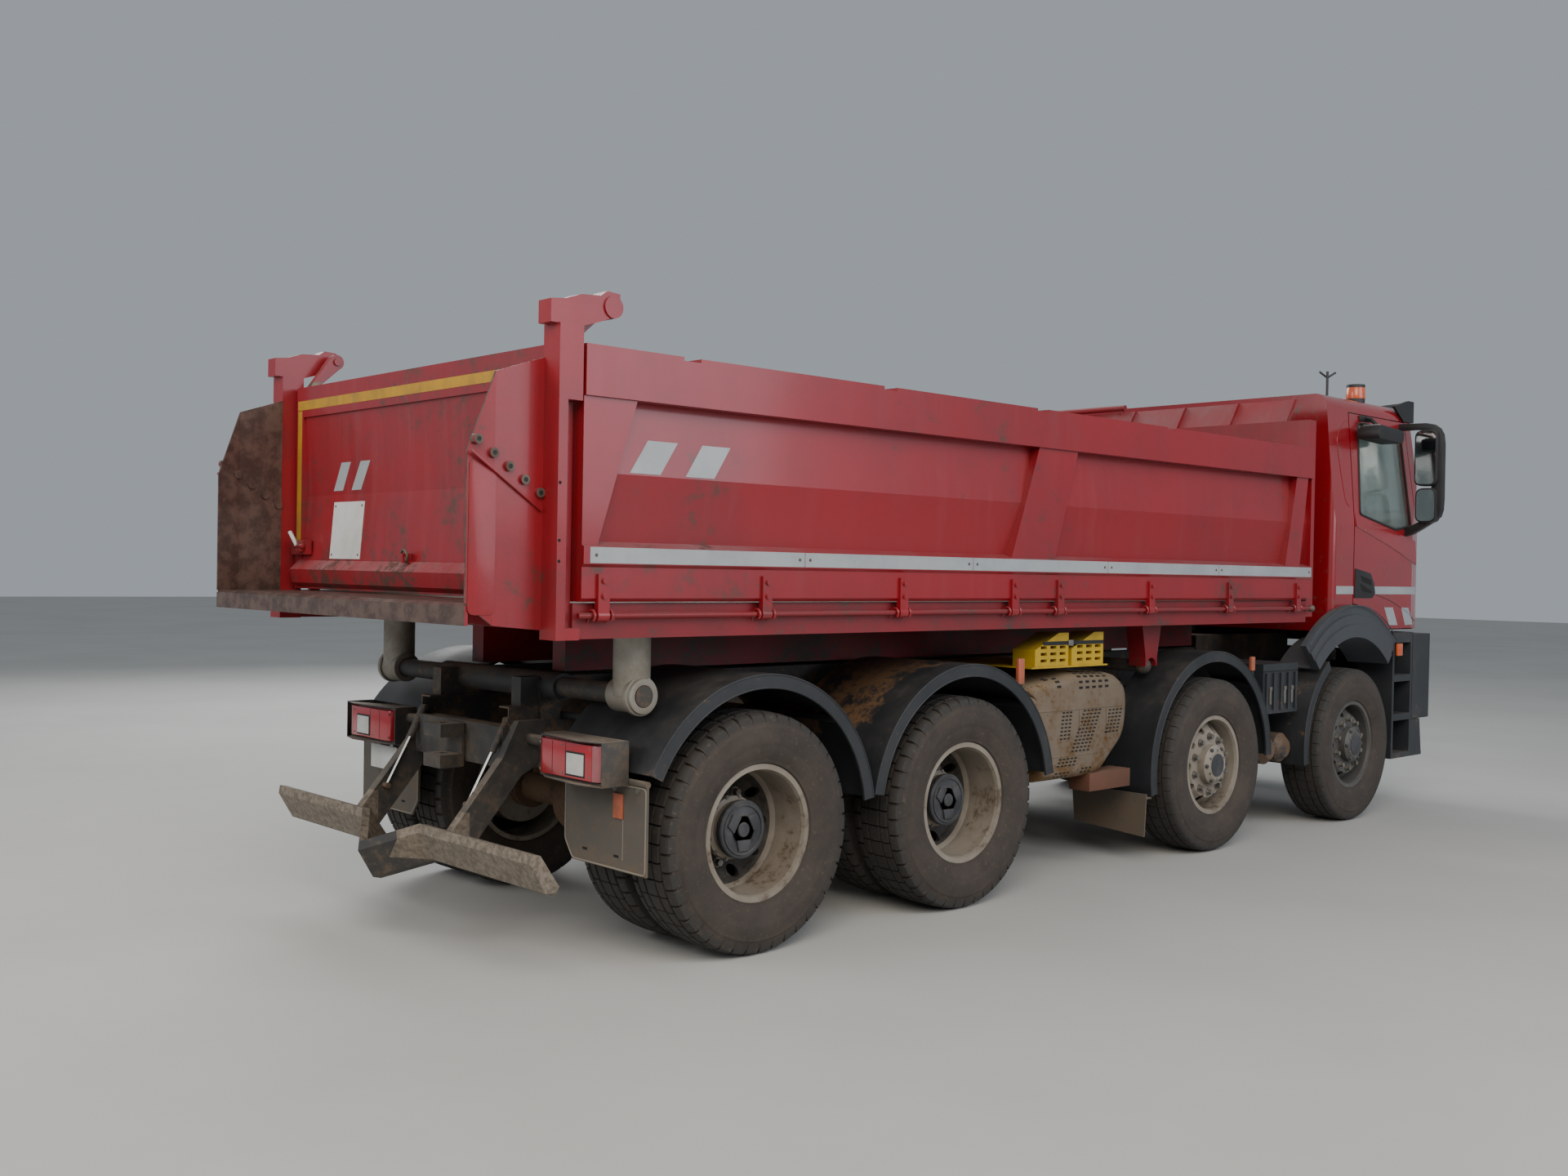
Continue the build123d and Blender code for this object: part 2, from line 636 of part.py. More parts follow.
# Battery and tool box ahead of the second axle, with the air tanks across below it
box_rear_x = second_axle_x + 668
box_front_x = first_axle_x - 712
box_bottom_z = axle_z + 268
box_top_z = axle_z + 595
air_tank_x = (second_axle_x + first_axle_x) / 2
with BuildPart() as battery_box:
    slab(box_rear_x, box_front_x, 640, side_box_outer_y, box_bottom_z, box_top_z)
    for rib in range(5):
        rib_x = box_rear_x + 40 + rib * (box_front_x - box_rear_x - 80) / 4
        slab(rib_x - 12, rib_x + 12, side_box_outer_y, side_box_outer_y + 12, box_bottom_z + 25,
             box_top_z - 60)
    slab(air_tank_x - 72, air_tank_x - 20, rail_outer_y, 640, box_bottom_z + 30, rail_top_z - 60)
    slab(air_tank_x + 20, air_tank_x + 72, rail_outer_y, 640, box_bottom_z + 30, rail_top_z - 60)
    both_sides()
save(battery_box, "battery_box")

air_tank_radius = 98
air_tank_gap = 8
air_tank_z = axle_z + 25
with BuildPart() as air_tanks:
    for shift in (-1, 1):
        tank_x = air_tank_x + shift * (air_tank_radius + air_tank_gap / 2)
        with BuildSketch(Plane(origin=(tank_x, 0, air_tank_z), x_dir=(0, 1, 0),
                               z_dir=(1, 0, 0))) as half_tank:
            with BuildLine():
                Polyline((600, 0), (600, 60), (640, air_tank_radius), (1090, air_tank_radius), (1130, 60),
                         (1130, 0), close=True)
            make_face()
        revolve(half_tank.sketch, axis=Axis((tank_x, 0, air_tank_z), (0, 1, 0)), revolution_arc=360)
    for strap_y in (700, 980):
        slab(air_tank_x - 90, air_tank_x + 90, strap_y, strap_y + 40, air_tank_z,
             air_tank_z + air_tank_radius + 14)
        slab(air_tank_x - 30, air_tank_x + 30, strap_y, strap_y + 40, air_tank_z, box_bottom_z)
    both_sides()
save(air_tanks, "air_tanks")

# Wheel chocks on a shelf above the silencer
chock_base_z = subframe_top_z - 8
chock_x = side_box_rear_x - 80
chock_length = 300
chock_height = 190
with BuildPart() as wheel_chocks:
    slab(chock_x - 40, chock_x + 2 * chock_length + 60, -side_box_outer_y, -rail_outer_y, chock_base_z,
         chock_base_z + 8)
    for place in range(2):
        start_x = chock_x + place * (chock_length + 30)
        wedge = ((start_x, chock_base_z + 8), (start_x + chock_length, chock_base_z + 8),
                 (start_x + chock_length, chock_base_z + chock_height), (start_x + chock_length - 90,
                                                                         chock_base_z + chock_height),
                 (start_x, chock_base_z + 100))
        side_plate(wedge, -side_box_outer_y + 160, 150)
        for row in range(3):
            for column in range(3):
                hole_x = start_x + 50 + column * 85
                hole_z = chock_base_z + 32 + row * 36
                slab(hole_x, hole_x + 55, -side_box_outer_y - 1, -side_box_outer_y + 161, hole_z, hole_z + 16,
                     Mode.SUBTRACT)
save(wheel_chocks, "wheel_chocks")

# Underrun bar with its dip in the middle, the arms that carry it, and the towing jaw
bar_x = rear_axle_x - 1124
bar_top_z = rail_bottom_z - 217
bar_half = 1139
arm_outer_y = rail_outer_y + 50
dip_half = 260
dip_back = 146
dip_drop = 99
# Corners of the bar's section, from its top rear edge: forward and up
bar_section = ((0, 0), (38, -8), (128, -140), (108, -176), (68, -166), (-6, -40))
jaw_x = rear_axle_x - 860
jaw_z = rail_bottom_z + 84
jaw_pin_radius = 20


def bar_outline(y, back, drop):
    """Section of the underrun bar at this distance to the left, moved back and down."""
    points = [(bar_x + along - back, bar_top_z + up - drop) for along, up in bar_section]
    with BuildSketch(side_plane(y)) as outline:
        with BuildLine():
            Polyline(*points, close=True)
        make_face()
    return outline.sketch


with BuildPart() as underrun_bar:
    extrude(bar_outline(bar_half, 0, 0), amount=bar_half - dip_half)
    loft([bar_outline(dip_half, 0, 0), bar_outline(0, dip_back, dip_drop)], ruled=True)
    arm = ((bar_x + 50, bar_top_z - 30), (bar_x + 124, bar_top_z - 140),
           (rail_rear_x + 40, rail_bottom_z - 20),
           (rail_rear_x + 150, rail_bottom_z + 30), (rail_rear_x + 150, rail_top_z - 60), (rail_rear_x + 20,
                                                                                           rail_top_z - 60),
           (rail_rear_x - 60, rail_bottom_z + 60))
    side_plate(arm, arm_outer_y, arm_outer_y - rail_outer_y)
    # Guard round each rear lamp, open to the rear, on a tube from the arm
    bar_across(lamp_rear_x + 70, cross_z, 24, arm_outer_y - 1, lamp_inner_y - 1)
    slab(lamp_rear_x - 10, guard_front_x, lamp_inner_y - guard_wall, lamp_outer_y + guard_wall,
         lamp_bottom_z - guard_wall, lamp_top_z + guard_wall)
    slab(lamp_rear_x - 20, guard_front_x - guard_wall, lamp_inner_y, lamp_outer_y, lamp_bottom_z, lamp_top_z,
         Mode.SUBTRACT)
    both_sides()
    # Cross beam behind the frame and the towing jaw on it
    slab(rail_rear_x - 30, rail_rear_x, -rail_outer_y - 1, rail_outer_y + 1, rail_bottom_z + 10,
         rail_bottom_z + 190)
    slab(jaw_x + 55, rail_rear_x - 29, -70, 70, jaw_z - 50, jaw_z + 50)
    slab(jaw_x - 60, jaw_x + 56, -75, 75, jaw_z + 40, jaw_z + 100)
    slab(jaw_x - 60, jaw_x + 56, -75, 75, jaw_z - 100, jaw_z - 40)
    slab(jaw_x + 50, jaw_x + 62, -75, 75, jaw_z - 100, jaw_z + 100)
    bar_up(jaw_x, 0, jaw_pin_radius, jaw_z - 120, jaw_z + 120, Mode.SUBTRACT)
save(underrun_bar, "underrun_bar")

# Mud flaps behind the rear and the second axle
flap_wall = 10
rear_flap_x = rear_axle_x - 628
steer_flap_x = second_axle_x - fender_outer_radius - 44
steer_flap_inner_y = 680
with BuildPart() as mud_flaps:
    cross_plate(((640, 790), (1220, 790), (1220, 420), (700, 420), (640, 500)), rear_flap_x, flap_wall)
    bar_across(rear_flap_x + 5, 800, 14, arm_outer_y, 1220)
    cross_plate(((steer_flap_inner_y, 420), (1200, 420), (1190, 170), (steer_flap_inner_y + 20, 205)),
                steer_flap_x, flap_wall)
    slab(steer_flap_x, second_axle_x - fender_outer_radius + 12, steer_flap_inner_y, 1200, 391, 399)
    both_sides()
save(mud_flaps, "mud_flaps")

# Front bumper: swept back to its corners, with raised pods, lamp pockets and an intake
bumper_front_x = overall_length / 2
bumper_corner_x = bumper_front_x - 50
bumper_rear_x = bumper_front_x - 390
bumper_wall = 80
pod_inner_y = 830
pod_height = 150
headlamp_y = 920
headlamp_half = 130
headlamp_z = (bumper_top_z + bumper_bottom_z) / 2 + 80


def bumper_plan(draw_in):
    """Outline of the bumper seen from above, drawn in by this much."""
    half = cab_half_width - draw_in
    with BuildSketch(Plane.XY.offset(bumper_bottom_z)) as plan:
        with BuildLine():
            ThreePointArc((bumper_corner_x - draw_in, -half), (bumper_front_x - draw_in, 0),
                          (bumper_corner_x - draw_in, half))
            Polyline((bumper_corner_x - draw_in, half), (bumper_rear_x, half), (bumper_rear_x, -half),
                     (bumper_corner_x - draw_in, -half))
        make_face()
        fillet(plan.vertices().filter_by(lambda corner: corner.X > bumper_rear_x + 1), 60)
    return plan.sketch


def bumper_block():
    """The bumper with its pods, before the pockets are cut."""
    with BuildPart() as block:
        extrude(bumper_plan(0), amount=bumper_top_z + pod_height - bumper_bottom_z)
        extrude(bumper_plan(bumper_wall), amount=bumper_top_z + pod_height - bumper_bottom_z,
                mode=Mode.SUBTRACT)
        slab(bumper_rear_x - 1, bumper_front_x + 1, -pod_inner_y, pod_inner_y, bumper_top_z,
             bumper_top_z + pod_height + 1,
             Mode.SUBTRACT)
    return block.part


with BuildPart() as headlamp_pockets:
    slab(bumper_rear_x + 20, bumper_front_x, headlamp_y - headlamp_half, headlamp_y + headlamp_half,
         headlamp_z - 80, headlamp_z + 80)
    both_sides()

with BuildPart() as front_bumper:
    add(bumper_block())
    add(headlamp_pockets.part, mode=Mode.SUBTRACT)
    slab(bumper_rear_x, bumper_front_x + 1, -560, 560, bumper_bottom_z + 120, bumper_bottom_z + 300,
         Mode.SUBTRACT)
    for side in (-1, 1):
        near, far = sorted((side * (rail_outer_y - 90), side * (rail_outer_y - 20)))
        slab(rail_front_x, bumper_front_x - bumper_wall - 5, near, far, rail_bottom_z + 30,
             rail_bottom_z + 180)
        near, far = sorted((side * (rail_outer_y - 80), side * (rail_outer_y + 24)))
        slab(bumper_rear_x, bumper_front_x - 18, near, far, cab_pivot_z - 60, bumper_top_z + 1, Mode.SUBTRACT)
save(front_bumper, "front_bumper")

with BuildPart() as lamps:
    add(bumper_block())
    add(headlamp_pockets.part, mode=Mode.INTERSECT)
    for side in (-1, 1):
        near, far = sorted((side * lamp_inner_y, side * lamp_outer_y))
        slab(lamp_rear_x, lamp_rear_x + lamp_depth, near, far, lamp_bottom_z, lamp_top_z)
save(lamps, "lamps")

# Steps up to the doors, between the front wheels and the bumper
step_rear_x = first_axle_x + 722
step_front_x = bumper_rear_x - 8
step_inner_y = 880
step_bottom_z = 370
step_top_z = cab_floor_z - 24
step_rise = 290
low_step_length = 190
low_step_inner_y = 960
step_cheek = 20
with BuildPart() as cab_steps:
    slab(step_rear_x, step_front_x, step_inner_y, cab_half_width, step_bottom_z, step_top_z)
    for level in range(3):
        tread_z = step_bottom_z + 40 + level * step_rise
        slab(step_rear_x + 30, step_front_x - 30, cab_half_width - 170, cab_half_width + 1, tread_z,
             tread_z + step_rise - 50,
             Mode.SUBTRACT)
    slab(step_rear_x + 125, step_front_x - 80, rail_outer_y, step_inner_y, rail_bottom_z + 60,
         rail_bottom_z + 160)
    # Low step under the bumper: two cheeks and a tread
    for cheek_y in (cab_half_width, low_step_inner_y + step_cheek):
        side_plate(((step_front_x - 1, step_bottom_z), (step_front_x + low_step_length, step_bottom_z),
                    (step_front_x + low_step_length - 40, bumper_bottom_z - 4), (step_front_x - 1,
                                                                                 bumper_bottom_z - 4)),
                   cheek_y, step_cheek)
    slab(step_front_x - 1, step_front_x + low_step_length, low_step_inner_y, cab_half_width, step_bottom_z,
         step_bottom_z + 30)
    both_sides()
save(cab_steps, "cab_steps")

# Bed floor: plate, cross members, two long beams, side rails with the hinge rods, bearings and hoist ears
member_width = 60
member_pitch = 500
member_count = 12
post_rear_x = bed_rear_x
post_front_x = bed_rear_x + post_depth
rear_member_z = floor_z - bed_member_depth
ear_inner_y = 78
ear_wall = 22
head_pin_z = hoist_pivot_z + 350
column_top_z = bed_beam_z + bed_beam_depth
bearing_cup_half = 62
bed_beam_rear_x = pivot_x + 75
flange_wall = 8
rod_end = 20
with BuildPart() as bed_floor:
    slab(bed_rear_x, bed_front_x, 0, bed_half_width, floor_z, floor_top_z)
    slab(post_front_x, bed_front_x, bed_half_width - 1, side_rail_y, rear_member_z, floor_top_z)
    slab(post_front_x, bed_front_x, side_rail_y - flange_wall, side_rail_y, rear_member_z - side_flange_drop,
         rear_member_z + 1)
    slab(bed_beam_rear_x, bed_front_x - 40, bed_beam_inner_y, bed_beam_inner_y + bed_beam_width, bed_beam_z,
         rear_member_z + 1)
    for row in range(member_count):
        member_x = post_front_x + 60 + row * member_pitch
        if member_x + member_width < bed_front_x:
            slab(member_x, member_x + member_width, 0, bed_half_width, rear_member_z, floor_z + 1)
    slab(bed_rear_x, post_front_x, 0, bed_half_width, rear_member_z, floor_z + 1)
    slab(pivot_x - 60, pivot_x + 60, 0, bed_half_width, rear_member_z, floor_z + 1)
    slab(front_rest_x - 60, front_rest_x + 60, 0, bed_half_width, rear_member_z, floor_z + 1)
    # Rear bearing column on the pivot tube
    bar_up(pivot_x, bearing_y, column_radius, pivot_z, column_top_z)
    bar_up(pivot_x, bearing_y, column_radius + 30, column_top_z - 24, column_top_z)
    bar_across(pivot_x, pivot_z, column_radius - 8, bearing_y - column_radius - 7,
               bearing_y + column_radius + 7)
    bar_across(pivot_x, pivot_z, pivot_tube_radius + 1, bearing_y - 200, bearing_y + 200, Mode.SUBTRACT)
    # Front cup, open below, over the ball of the front rest
    cup = ((-110, rear_member_z + 1), (110, rear_member_z + 1), (bearing_cup_half, pivot_z + 60),
           (bearing_cup_half, pivot_z + 2), (-bearing_cup_half, pivot_z + 2), (-bearing_cup_half,
                                                                               pivot_z + 60))
    side_plate([(front_rest_x + along, z) for along, z in cup], bearing_y + 58, 116)
    bar_across(front_rest_x, pivot_z, ball_radius + 2, bearing_y - 60, bearing_y + 60, Mode.SUBTRACT)
    # Ears that the top of the hoist bears on
    ear = ((hoist_x - 150, rear_member_z + 1), (hoist_x + 150, rear_member_z + 1),
           (hoist_x + 45, head_pin_z - 40),
           (hoist_x - 45, head_pin_z - 40))
    side_plate(ear, ear_inner_y + ear_wall, ear_wall)
    slab(hoist_x - 160, hoist_x + 160, 0, bed_beam_inner_y + 1, rear_member_z, floor_z + 1)
    # Hinge rod of the side board and its ears
    bar_along(hinge_y, hinge_z, hinge_rod_radius, board_rear_x - rod_end / 2, board_front_x)
    for station in strap_stations:
        ear_x = rear_axle_x + station + 48
        slab(ear_x - 8, ear_x + 8, side_rail_y - 1, hinge_y + 16, hinge_z - 18, hinge_z + 18)
    both_sides()
    bar_across(hoist_x, head_pin_z, head_pin_radius, -ear_inner_y - ear_wall, ear_inner_y + ear_wall)
save(bed_floor, "bed_floor")

# Front wall with its corner posts, and the ribbed shield leaning over the cab
wall_top_z = floor_top_z + 1205
shield_rise = 160
shield_lean = 110
shield_half = 1060
shield_wall = 8
wall_post_y = 1080
wall_post_depth = 90
with BuildPart() as bed_front_wall:
    slab(bed_front_x, bed_front_x + wall_depth, -wall_post_y, wall_post_y, rear_member_z, wall_top_z)
    for side in (-1, 1):
        near, far = sorted((side * wall_post_y, side * side_rail_y))
        slab(bed_front_x, bed_front_x + wall_post_depth, near, far, rear_member_z, wall_top_z)
    for row in range(5):
        rib_y = -880 + row * 440
        side_plate(((bed_front_x + wall_depth - 1, rear_member_z + 60),
                    (bed_front_x + wall_depth + 40, rear_member_z + 90),
                    (bed_front_x + wall_depth + 40, wall_top_z - 60), (bed_front_x + wall_depth - 1,
                                                                       wall_top_z - 30)),
                   rib_y + 35, 70)
    lean_x = bed_front_x + 30
    side_plate(((lean_x, wall_top_z - 1), (lean_x + shield_wall, wall_top_z - 1),
                (lean_x + shield_lean + shield_wall, wall_top_z + shield_rise), (lean_x + shield_lean,
                                                                                 wall_top_z + shield_rise)),
               shield_half, 2 * shield_half)
    for row in range(6):
        rib_y = -shield_half + 12 + row * (2 * shield_half - 24) / 5
        side_plate(((bed_front_x + 4, wall_top_z - 1), (lean_x + 4, wall_top_z - 1),
                    (lean_x + shield_lean + 4, wall_top_z + shield_rise),
                    (lean_x + shield_lean - 26, wall_top_z + shield_rise)), rib_y + 5, 10)
    rail_z = wall_top_z + shield_rise + 32
    rod((bed_front_x + 130, 300, rail_z), (bed_front_x + 130, 1000, rail_z), 22)
    for post_y in (340, 960):
        rod((lean_x + shield_lean, post_y, wall_top_z + shield_rise - 20),
            (bed_front_x + 130, post_y, rail_z), 14)
save(bed_front_wall, "bed_front_wall")

# Rear frame: posts with their horns, and the fixed chute with its wings
post_inner_y = bed_half_width
post_wall = 42
post_recess = 66
post_bottom_z = rear_member_z - 36
post_top_z = floor_top_z + 1075
chute_rear_x = rear_axle_x - chute_overhang
chute_depth = 85
chute_floor_wall = 10
wing_wall = 10
wing_y = 1172
wing_bend_x = chute_rear_x + 110
wing_rear_y = 1157
# Outline of a wing: distance behind the post, height above the floor
wing_outline = ((-1, 950), (215, 875), (325, 565), (325, 0), (215, -85), (-1, -105))
# Outline of a horn: distance from the tailgate pin, height from the post's top
horn_outline = ((-290, -1), (-290, 88), (-225, 96), (-150, 122), (-60, 128), (-30, 150), (34, 146), (34, 62),
                (-10, 46),
                (-60, 26), (-145, -1))
with BuildPart() as rear_frame:
    slab(post_rear_x, post_front_x, post_inner_y, body_half_width, post_bottom_z, post_top_z)
    slab(post_rear_x + post_wall, post_front_x + 1, body_half_width - post_recess, body_half_width + 1,
         floor_top_z - 95,
         floor_top_z + 785, Mode.SUBTRACT)
    side_plate([(gate_pivot_x + along, post_top_z + up) for along, up in horn_outline], body_half_width - 12,
               86)
    bar_across(gate_pivot_x, gate_pivot_z, gate_pin_radius, tailgate_half - 52, body_half_width - 20)
    bar_across(gate_pivot_x, gate_pivot_z, 44, body_half_width - 98, body_half_width - 4)
    # Wing: straight behind the post, then bent inwards
    with BuildSketch(Plane.XY.offset(post_bottom_z)) as wing_plan:
        with BuildLine():
            Polyline((bed_rear_x + 1, wing_y), (wing_bend_x, wing_y), (chute_rear_x, wing_rear_y),
                     (chute_rear_x, wing_rear_y - wing_wall), (wing_bend_x, wing_y - wing_wall),
                     (bed_rear_x, wing_y - wing_wall), (bed_rear_x, post_inner_y), (bed_rear_x + 1,
                                                                                    post_inner_y), close=True)
        make_face()
    wing_tall = extrude(wing_plan.sketch, amount=post_top_z - post_bottom_z, mode=Mode.PRIVATE)
    with BuildSketch(side_plane(body_half_width)) as wing_side:
        with BuildLine():
            Polyline(*[(bed_rear_x - back, floor_top_z + up) for back, up in wing_outline], close=True)
        make_face()
    wing_trim = extrude(wing_side.sketch, amount=200, mode=Mode.PRIVATE)
    add(wing_tall & wing_trim)
    # Ring bosses along the seam of the wing
    for step in range(5):
        boss_x = chute_rear_x + 32 + step * 69
        boss_z = floor_top_z + 614 - step * 47
        bar_across(boss_x, boss_z, 20, wing_rear_y - 4, wing_y + 12)
    both_sides()
    # Chute floor between the wings, folded down at its rear edge
    floor_edge = wing_y - wing_wall + 1
    side_plate(((bed_rear_x, floor_top_z), (chute_rear_x + 30, floor_top_z), (chute_rear_x, floor_top_z - 12),
                (chute_rear_x, floor_top_z - chute_depth), (chute_rear_x + 14, floor_top_z - chute_depth),
                (chute_rear_x + 14, floor_top_z - chute_floor_wall - 14), (chute_rear_x + 34,
                                                                           floor_top_z - chute_floor_wall),
                (bed_rear_x, floor_top_z - chute_floor_wall)), floor_edge - 8, 2 * (floor_edge - 8))
    for rib in range(4):
        rib_y = -840 + rib * 560
        side_plate(((bed_rear_x, floor_top_z - 5), (chute_rear_x + 12, floor_top_z - 12),
                    (chute_rear_x + 12, floor_top_z - 60),
                    (bed_rear_x, rear_member_z)), rib_y + 5, 10)
save(rear_frame, "rear_frame")

# Side boards: pressed panel between a deep top rail and the hinge edge, with slanted ribs and hinge straps
rail_drop = 200
top_open_z = load_top_z - rail_drop
fold_z = floor_top_z + 515
ledge_z = floor_top_z + 245
tape_top_z = floor_top_z + 225
tape_bottom_z = floor_top_z + 155
panel_y = 1204
panel_fold_y = 1236
lower_panel_y = 1262
board_gap = 7
# Outer face from the bottom up: distance to the left, height
board_outline = (
    (bed_half_width + 50, floor_top_z + board_gap), (lower_panel_y - 14, floor_top_z + board_gap),
    (lower_panel_y, floor_top_z + board_gap + 14), (lower_panel_y, tape_bottom_z - 12), (body_half_width,
                                                                                         tape_bottom_z),
    (body_half_width, tape_top_z), (panel_y, ledge_z), (panel_fold_y, fold_z), (panel_y, top_open_z),
    (body_half_width, top_open_z), (body_half_width, load_top_z), (bed_half_width, load_top_z),
    (bed_half_width, floor_top_z + board_gap),
)
# Slanted ribs: where the foot starts and ends and where the head starts and ends, from the rear axle
rib_table = ((1673, 2042, 1895, 2235), (4512, 4700, 4649, 4800))
end_rib = (-1000, -930, -1000, -740)
slot_stations = (-470, 730, 1900, 3130, 4320)
strap_out = 14


def side_board(side):
    """Side board for the left (1) or the right (-1)."""
    with BuildPart() as board:
        cross_plate(board_outline, board_rear_x, board_front_x - board_rear_x)
        for foot_start, foot_end, head_start, head_end in (*rib_table, end_rib):
            web = ((rear_axle_x + foot_start, ledge_z - 30), (rear_axle_x + foot_end, ledge_z - 30),
                   (rear_axle_x + head_end, top_open_z + 1), (rear_axle_x + head_start, top_open_z + 1))
            side_plate(web, body_half_width - 14, body_half_width - 14 - bed_half_width)
        slab(board_front_x - 22, board_front_x, bed_half_width, body_half_width - 10, ledge_z - 30,
             top_open_z + 1)
        for station in slot_stations:
            slab(rear_axle_x + station - 45, rear_axle_x + station + 45, bed_half_width - 1,
                 body_half_width + 1,
                 load_top_z - 16, load_top_z + 1, Mode.SUBTRACT)
        for station in strap_stations:
            strap_x = rear_axle_x + station - strap_width / 2
            slab(strap_x, strap_x + strap_width, lower_panel_y - 1, lower_panel_y + strap_out - 1,
                 hinge_z + 10,
                 hinge_z + strap_height)
            bar_along(hinge_y, hinge_z, hinge_eye_radius, strap_x, strap_x + strap_width)
            slab(strap_x, strap_x + strap_width, hinge_y - 6, lower_panel_y + strap_out - 1, hinge_z,
                 floor_top_z + board_gap + 20)
        bar_along(hinge_y, hinge_z, hinge_rod_radius + 1, board_rear_x - 50, board_front_x + 50,
                  Mode.SUBTRACT)
        if side < 0:
            mirror(about=Plane.XZ, mode=Mode.REPLACE)
    return board


save(side_board(1), "side_board_left")
save(side_board(-1), "side_board_right")

# Tailgate: frame, panel folded along its middle, arms up to the pins, latch plates and a pull eye
gate_bottom_z = floor_top_z + 10
gate_top_z = floor_top_z + 1015
gate_frame = 75
beam_drop = 150
foot_rise = 148
skin_depth = 30
gate_outer_x = tailgate_inner_x - tailgate_wall
gate_fold_z = floor_top_z + 471
arm_inner_y = 1098
with BuildPart() as tailgate:
    slab(gate_outer_x, tailgate_inner_x, -tailgate_half, tailgate_half, gate_bottom_z, gate_top_z)
    recess = ((gate_outer_x - 1, gate_bottom_z + foot_rise), (gate_outer_x + 4, gate_bottom_z + foot_rise),
              (gate_outer_x + skin_depth, gate_fold_z), (gate_outer_x + 12, gate_top_z - beam_drop),
              (gate_outer_x - 1, gate_top_z - beam_drop))
    side_plate(recess, tailgate_half - gate_frame, 2 * (tailgate_half - gate_frame), Mode.SUBTRACT)
    # Bottom beam, proud of the panel and bevelled
    side_plate(((gate_outer_x + 1, gate_bottom_z + 8), (gate_outer_x - 34, gate_bottom_z + 30),
                (gate_outer_x - 46, gate_bottom_z + 96), (gate_outer_x + 1, gate_bottom_z + foot_rise - 6)),
               tailgate_half - 40, 2 * (tailgate_half - 40))
    # Arms forward and up to the pins
    for side in (-1, 1):
        arm_y = side * tailgate_half if side > 0 else -arm_inner_y
        side_plate(((gate_outer_x, gate_top_z - 60), (tailgate_inner_x, gate_top_z - 60),
                    (tailgate_inner_x, gate_top_z - 20),
                    (gate_pivot_x + 30, gate_pivot_z - 22), (gate_pivot_x - 28, gate_pivot_z + 24)), arm_y,
                   tailgate_half - arm_inner_y)
        bar_across(gate_pivot_x, gate_pivot_z, 38, *sorted((side * arm_inner_y, side * tailgate_half)))
        # Latch plate near the lower corner, and its lever
        near, far = sorted((side * 960, side * 1120))
        slab(gate_outer_x - 30, gate_outer_x + 2, near, far, gate_bottom_z + foot_rise + 22,
             gate_bottom_z + foot_rise + 92)
    bar_across(gate_pivot_x, gate_pivot_z, gate_pin_radius + 1, -body_half_width, body_half_width,
               Mode.SUBTRACT)
    slab(gate_outer_x - 44, gate_outer_x + 2, -42, -22, gate_bottom_z + foot_rise - 12,
         gate_bottom_z + foot_rise + 30)
    bar_across(gate_outer_x - 26, gate_bottom_z + foot_rise + 8, 9, -50, 0, Mode.SUBTRACT)
save(tailgate, "tailgate")

# Hoist: barrel on trunnions and nested stages, the last with an open saddle under the bed's pin
stage_base_z = hoist_base_z + 14
stage_top_z = hoist_base_z + hoist_height + 6
with BuildPart() as hoist_barrel:
    bar_up(hoist_x, 0, hoist_radius, hoist_base_z, hoist_base_z + hoist_height)
    bar_up(hoist_x, 0, hoist_radius - hoist_wall, hoist_base_z + 10, hoist_base_z + hoist_height + 1,
           Mode.SUBTRACT)
    for side in (-1, 1):
        bar_across(hoist_x, hoist_pivot_z, trunnion_radius, *sorted((side * (hoist_radius - 4),
                                                                     side * (cradle_y + 25))))
save(hoist_barrel, "hoist_barrel")
stage_radius = hoist_radius - hoist_wall - stage_gap
for number in range(1, hoist_stages + 1):
    last = number == hoist_stages
    with BuildPart() as stage:
        bar_up(hoist_x, 0, stage_radius, stage_base_z, stage_top_z + number * stage_step)
        if not last:
            bar_up(hoist_x, 0, stage_radius - hoist_wall, stage_base_z - 1,
                   stage_top_z + number * stage_step + 1, Mode.SUBTRACT)
        else:
            slab(hoist_x - 62, hoist_x + 62, -50, 50, stage_top_z + number * stage_step - 1, head_pin_z + 8)
            slab(hoist_x - 46, hoist_x + 46, -51, 51, head_pin_z - head_pin_radius - 2, head_pin_z + 9,
                 Mode.SUBTRACT)
    save(stage, f"hoist_stage_{number}")
    stage_radius = stage_radius - hoist_wall - stage_gap

# Cab
roof_edge_radius = 90
cab_corner_radius = 110
bow_half = 1105
glass_depth = 12
glass_wall = 6
screen_top_z = cab_roof_z - 120
screen_foot_half = 985
screen_head_half = 930
door_bottom_z = cab_floor_z + 8
door_top_z = cab_roof_z - 115
door_reach = 160
door_sill_z = cab_sill_z
grille_half = 720
grille_bottom_z = cab_floor_z + 110
grille_top_z = screen_base_z - 90
grille_stand = 4
grille_depth = 8
apron_drop = 130
apron_half = 815
door_sill_depth = cab_wall + 5
tilt_arm_inner_y = rail_outer_y - 62
tilt_arm_outer_y = rail_outer_y - 12
tilt_arm_gap = 6
rake_run = math.tan(math.radians(screen_rake))


def front_arc(draw_in):
    """Bowed front edge of the cab seen from above."""
    reach = bow_half - draw_in / 2
    return ThreePointArc((cab_front_x - screen_bow - draw_in, -reach), (cab_front_x - draw_in, 0),
                         (cab_front_x - screen_bow - draw_in, reach))


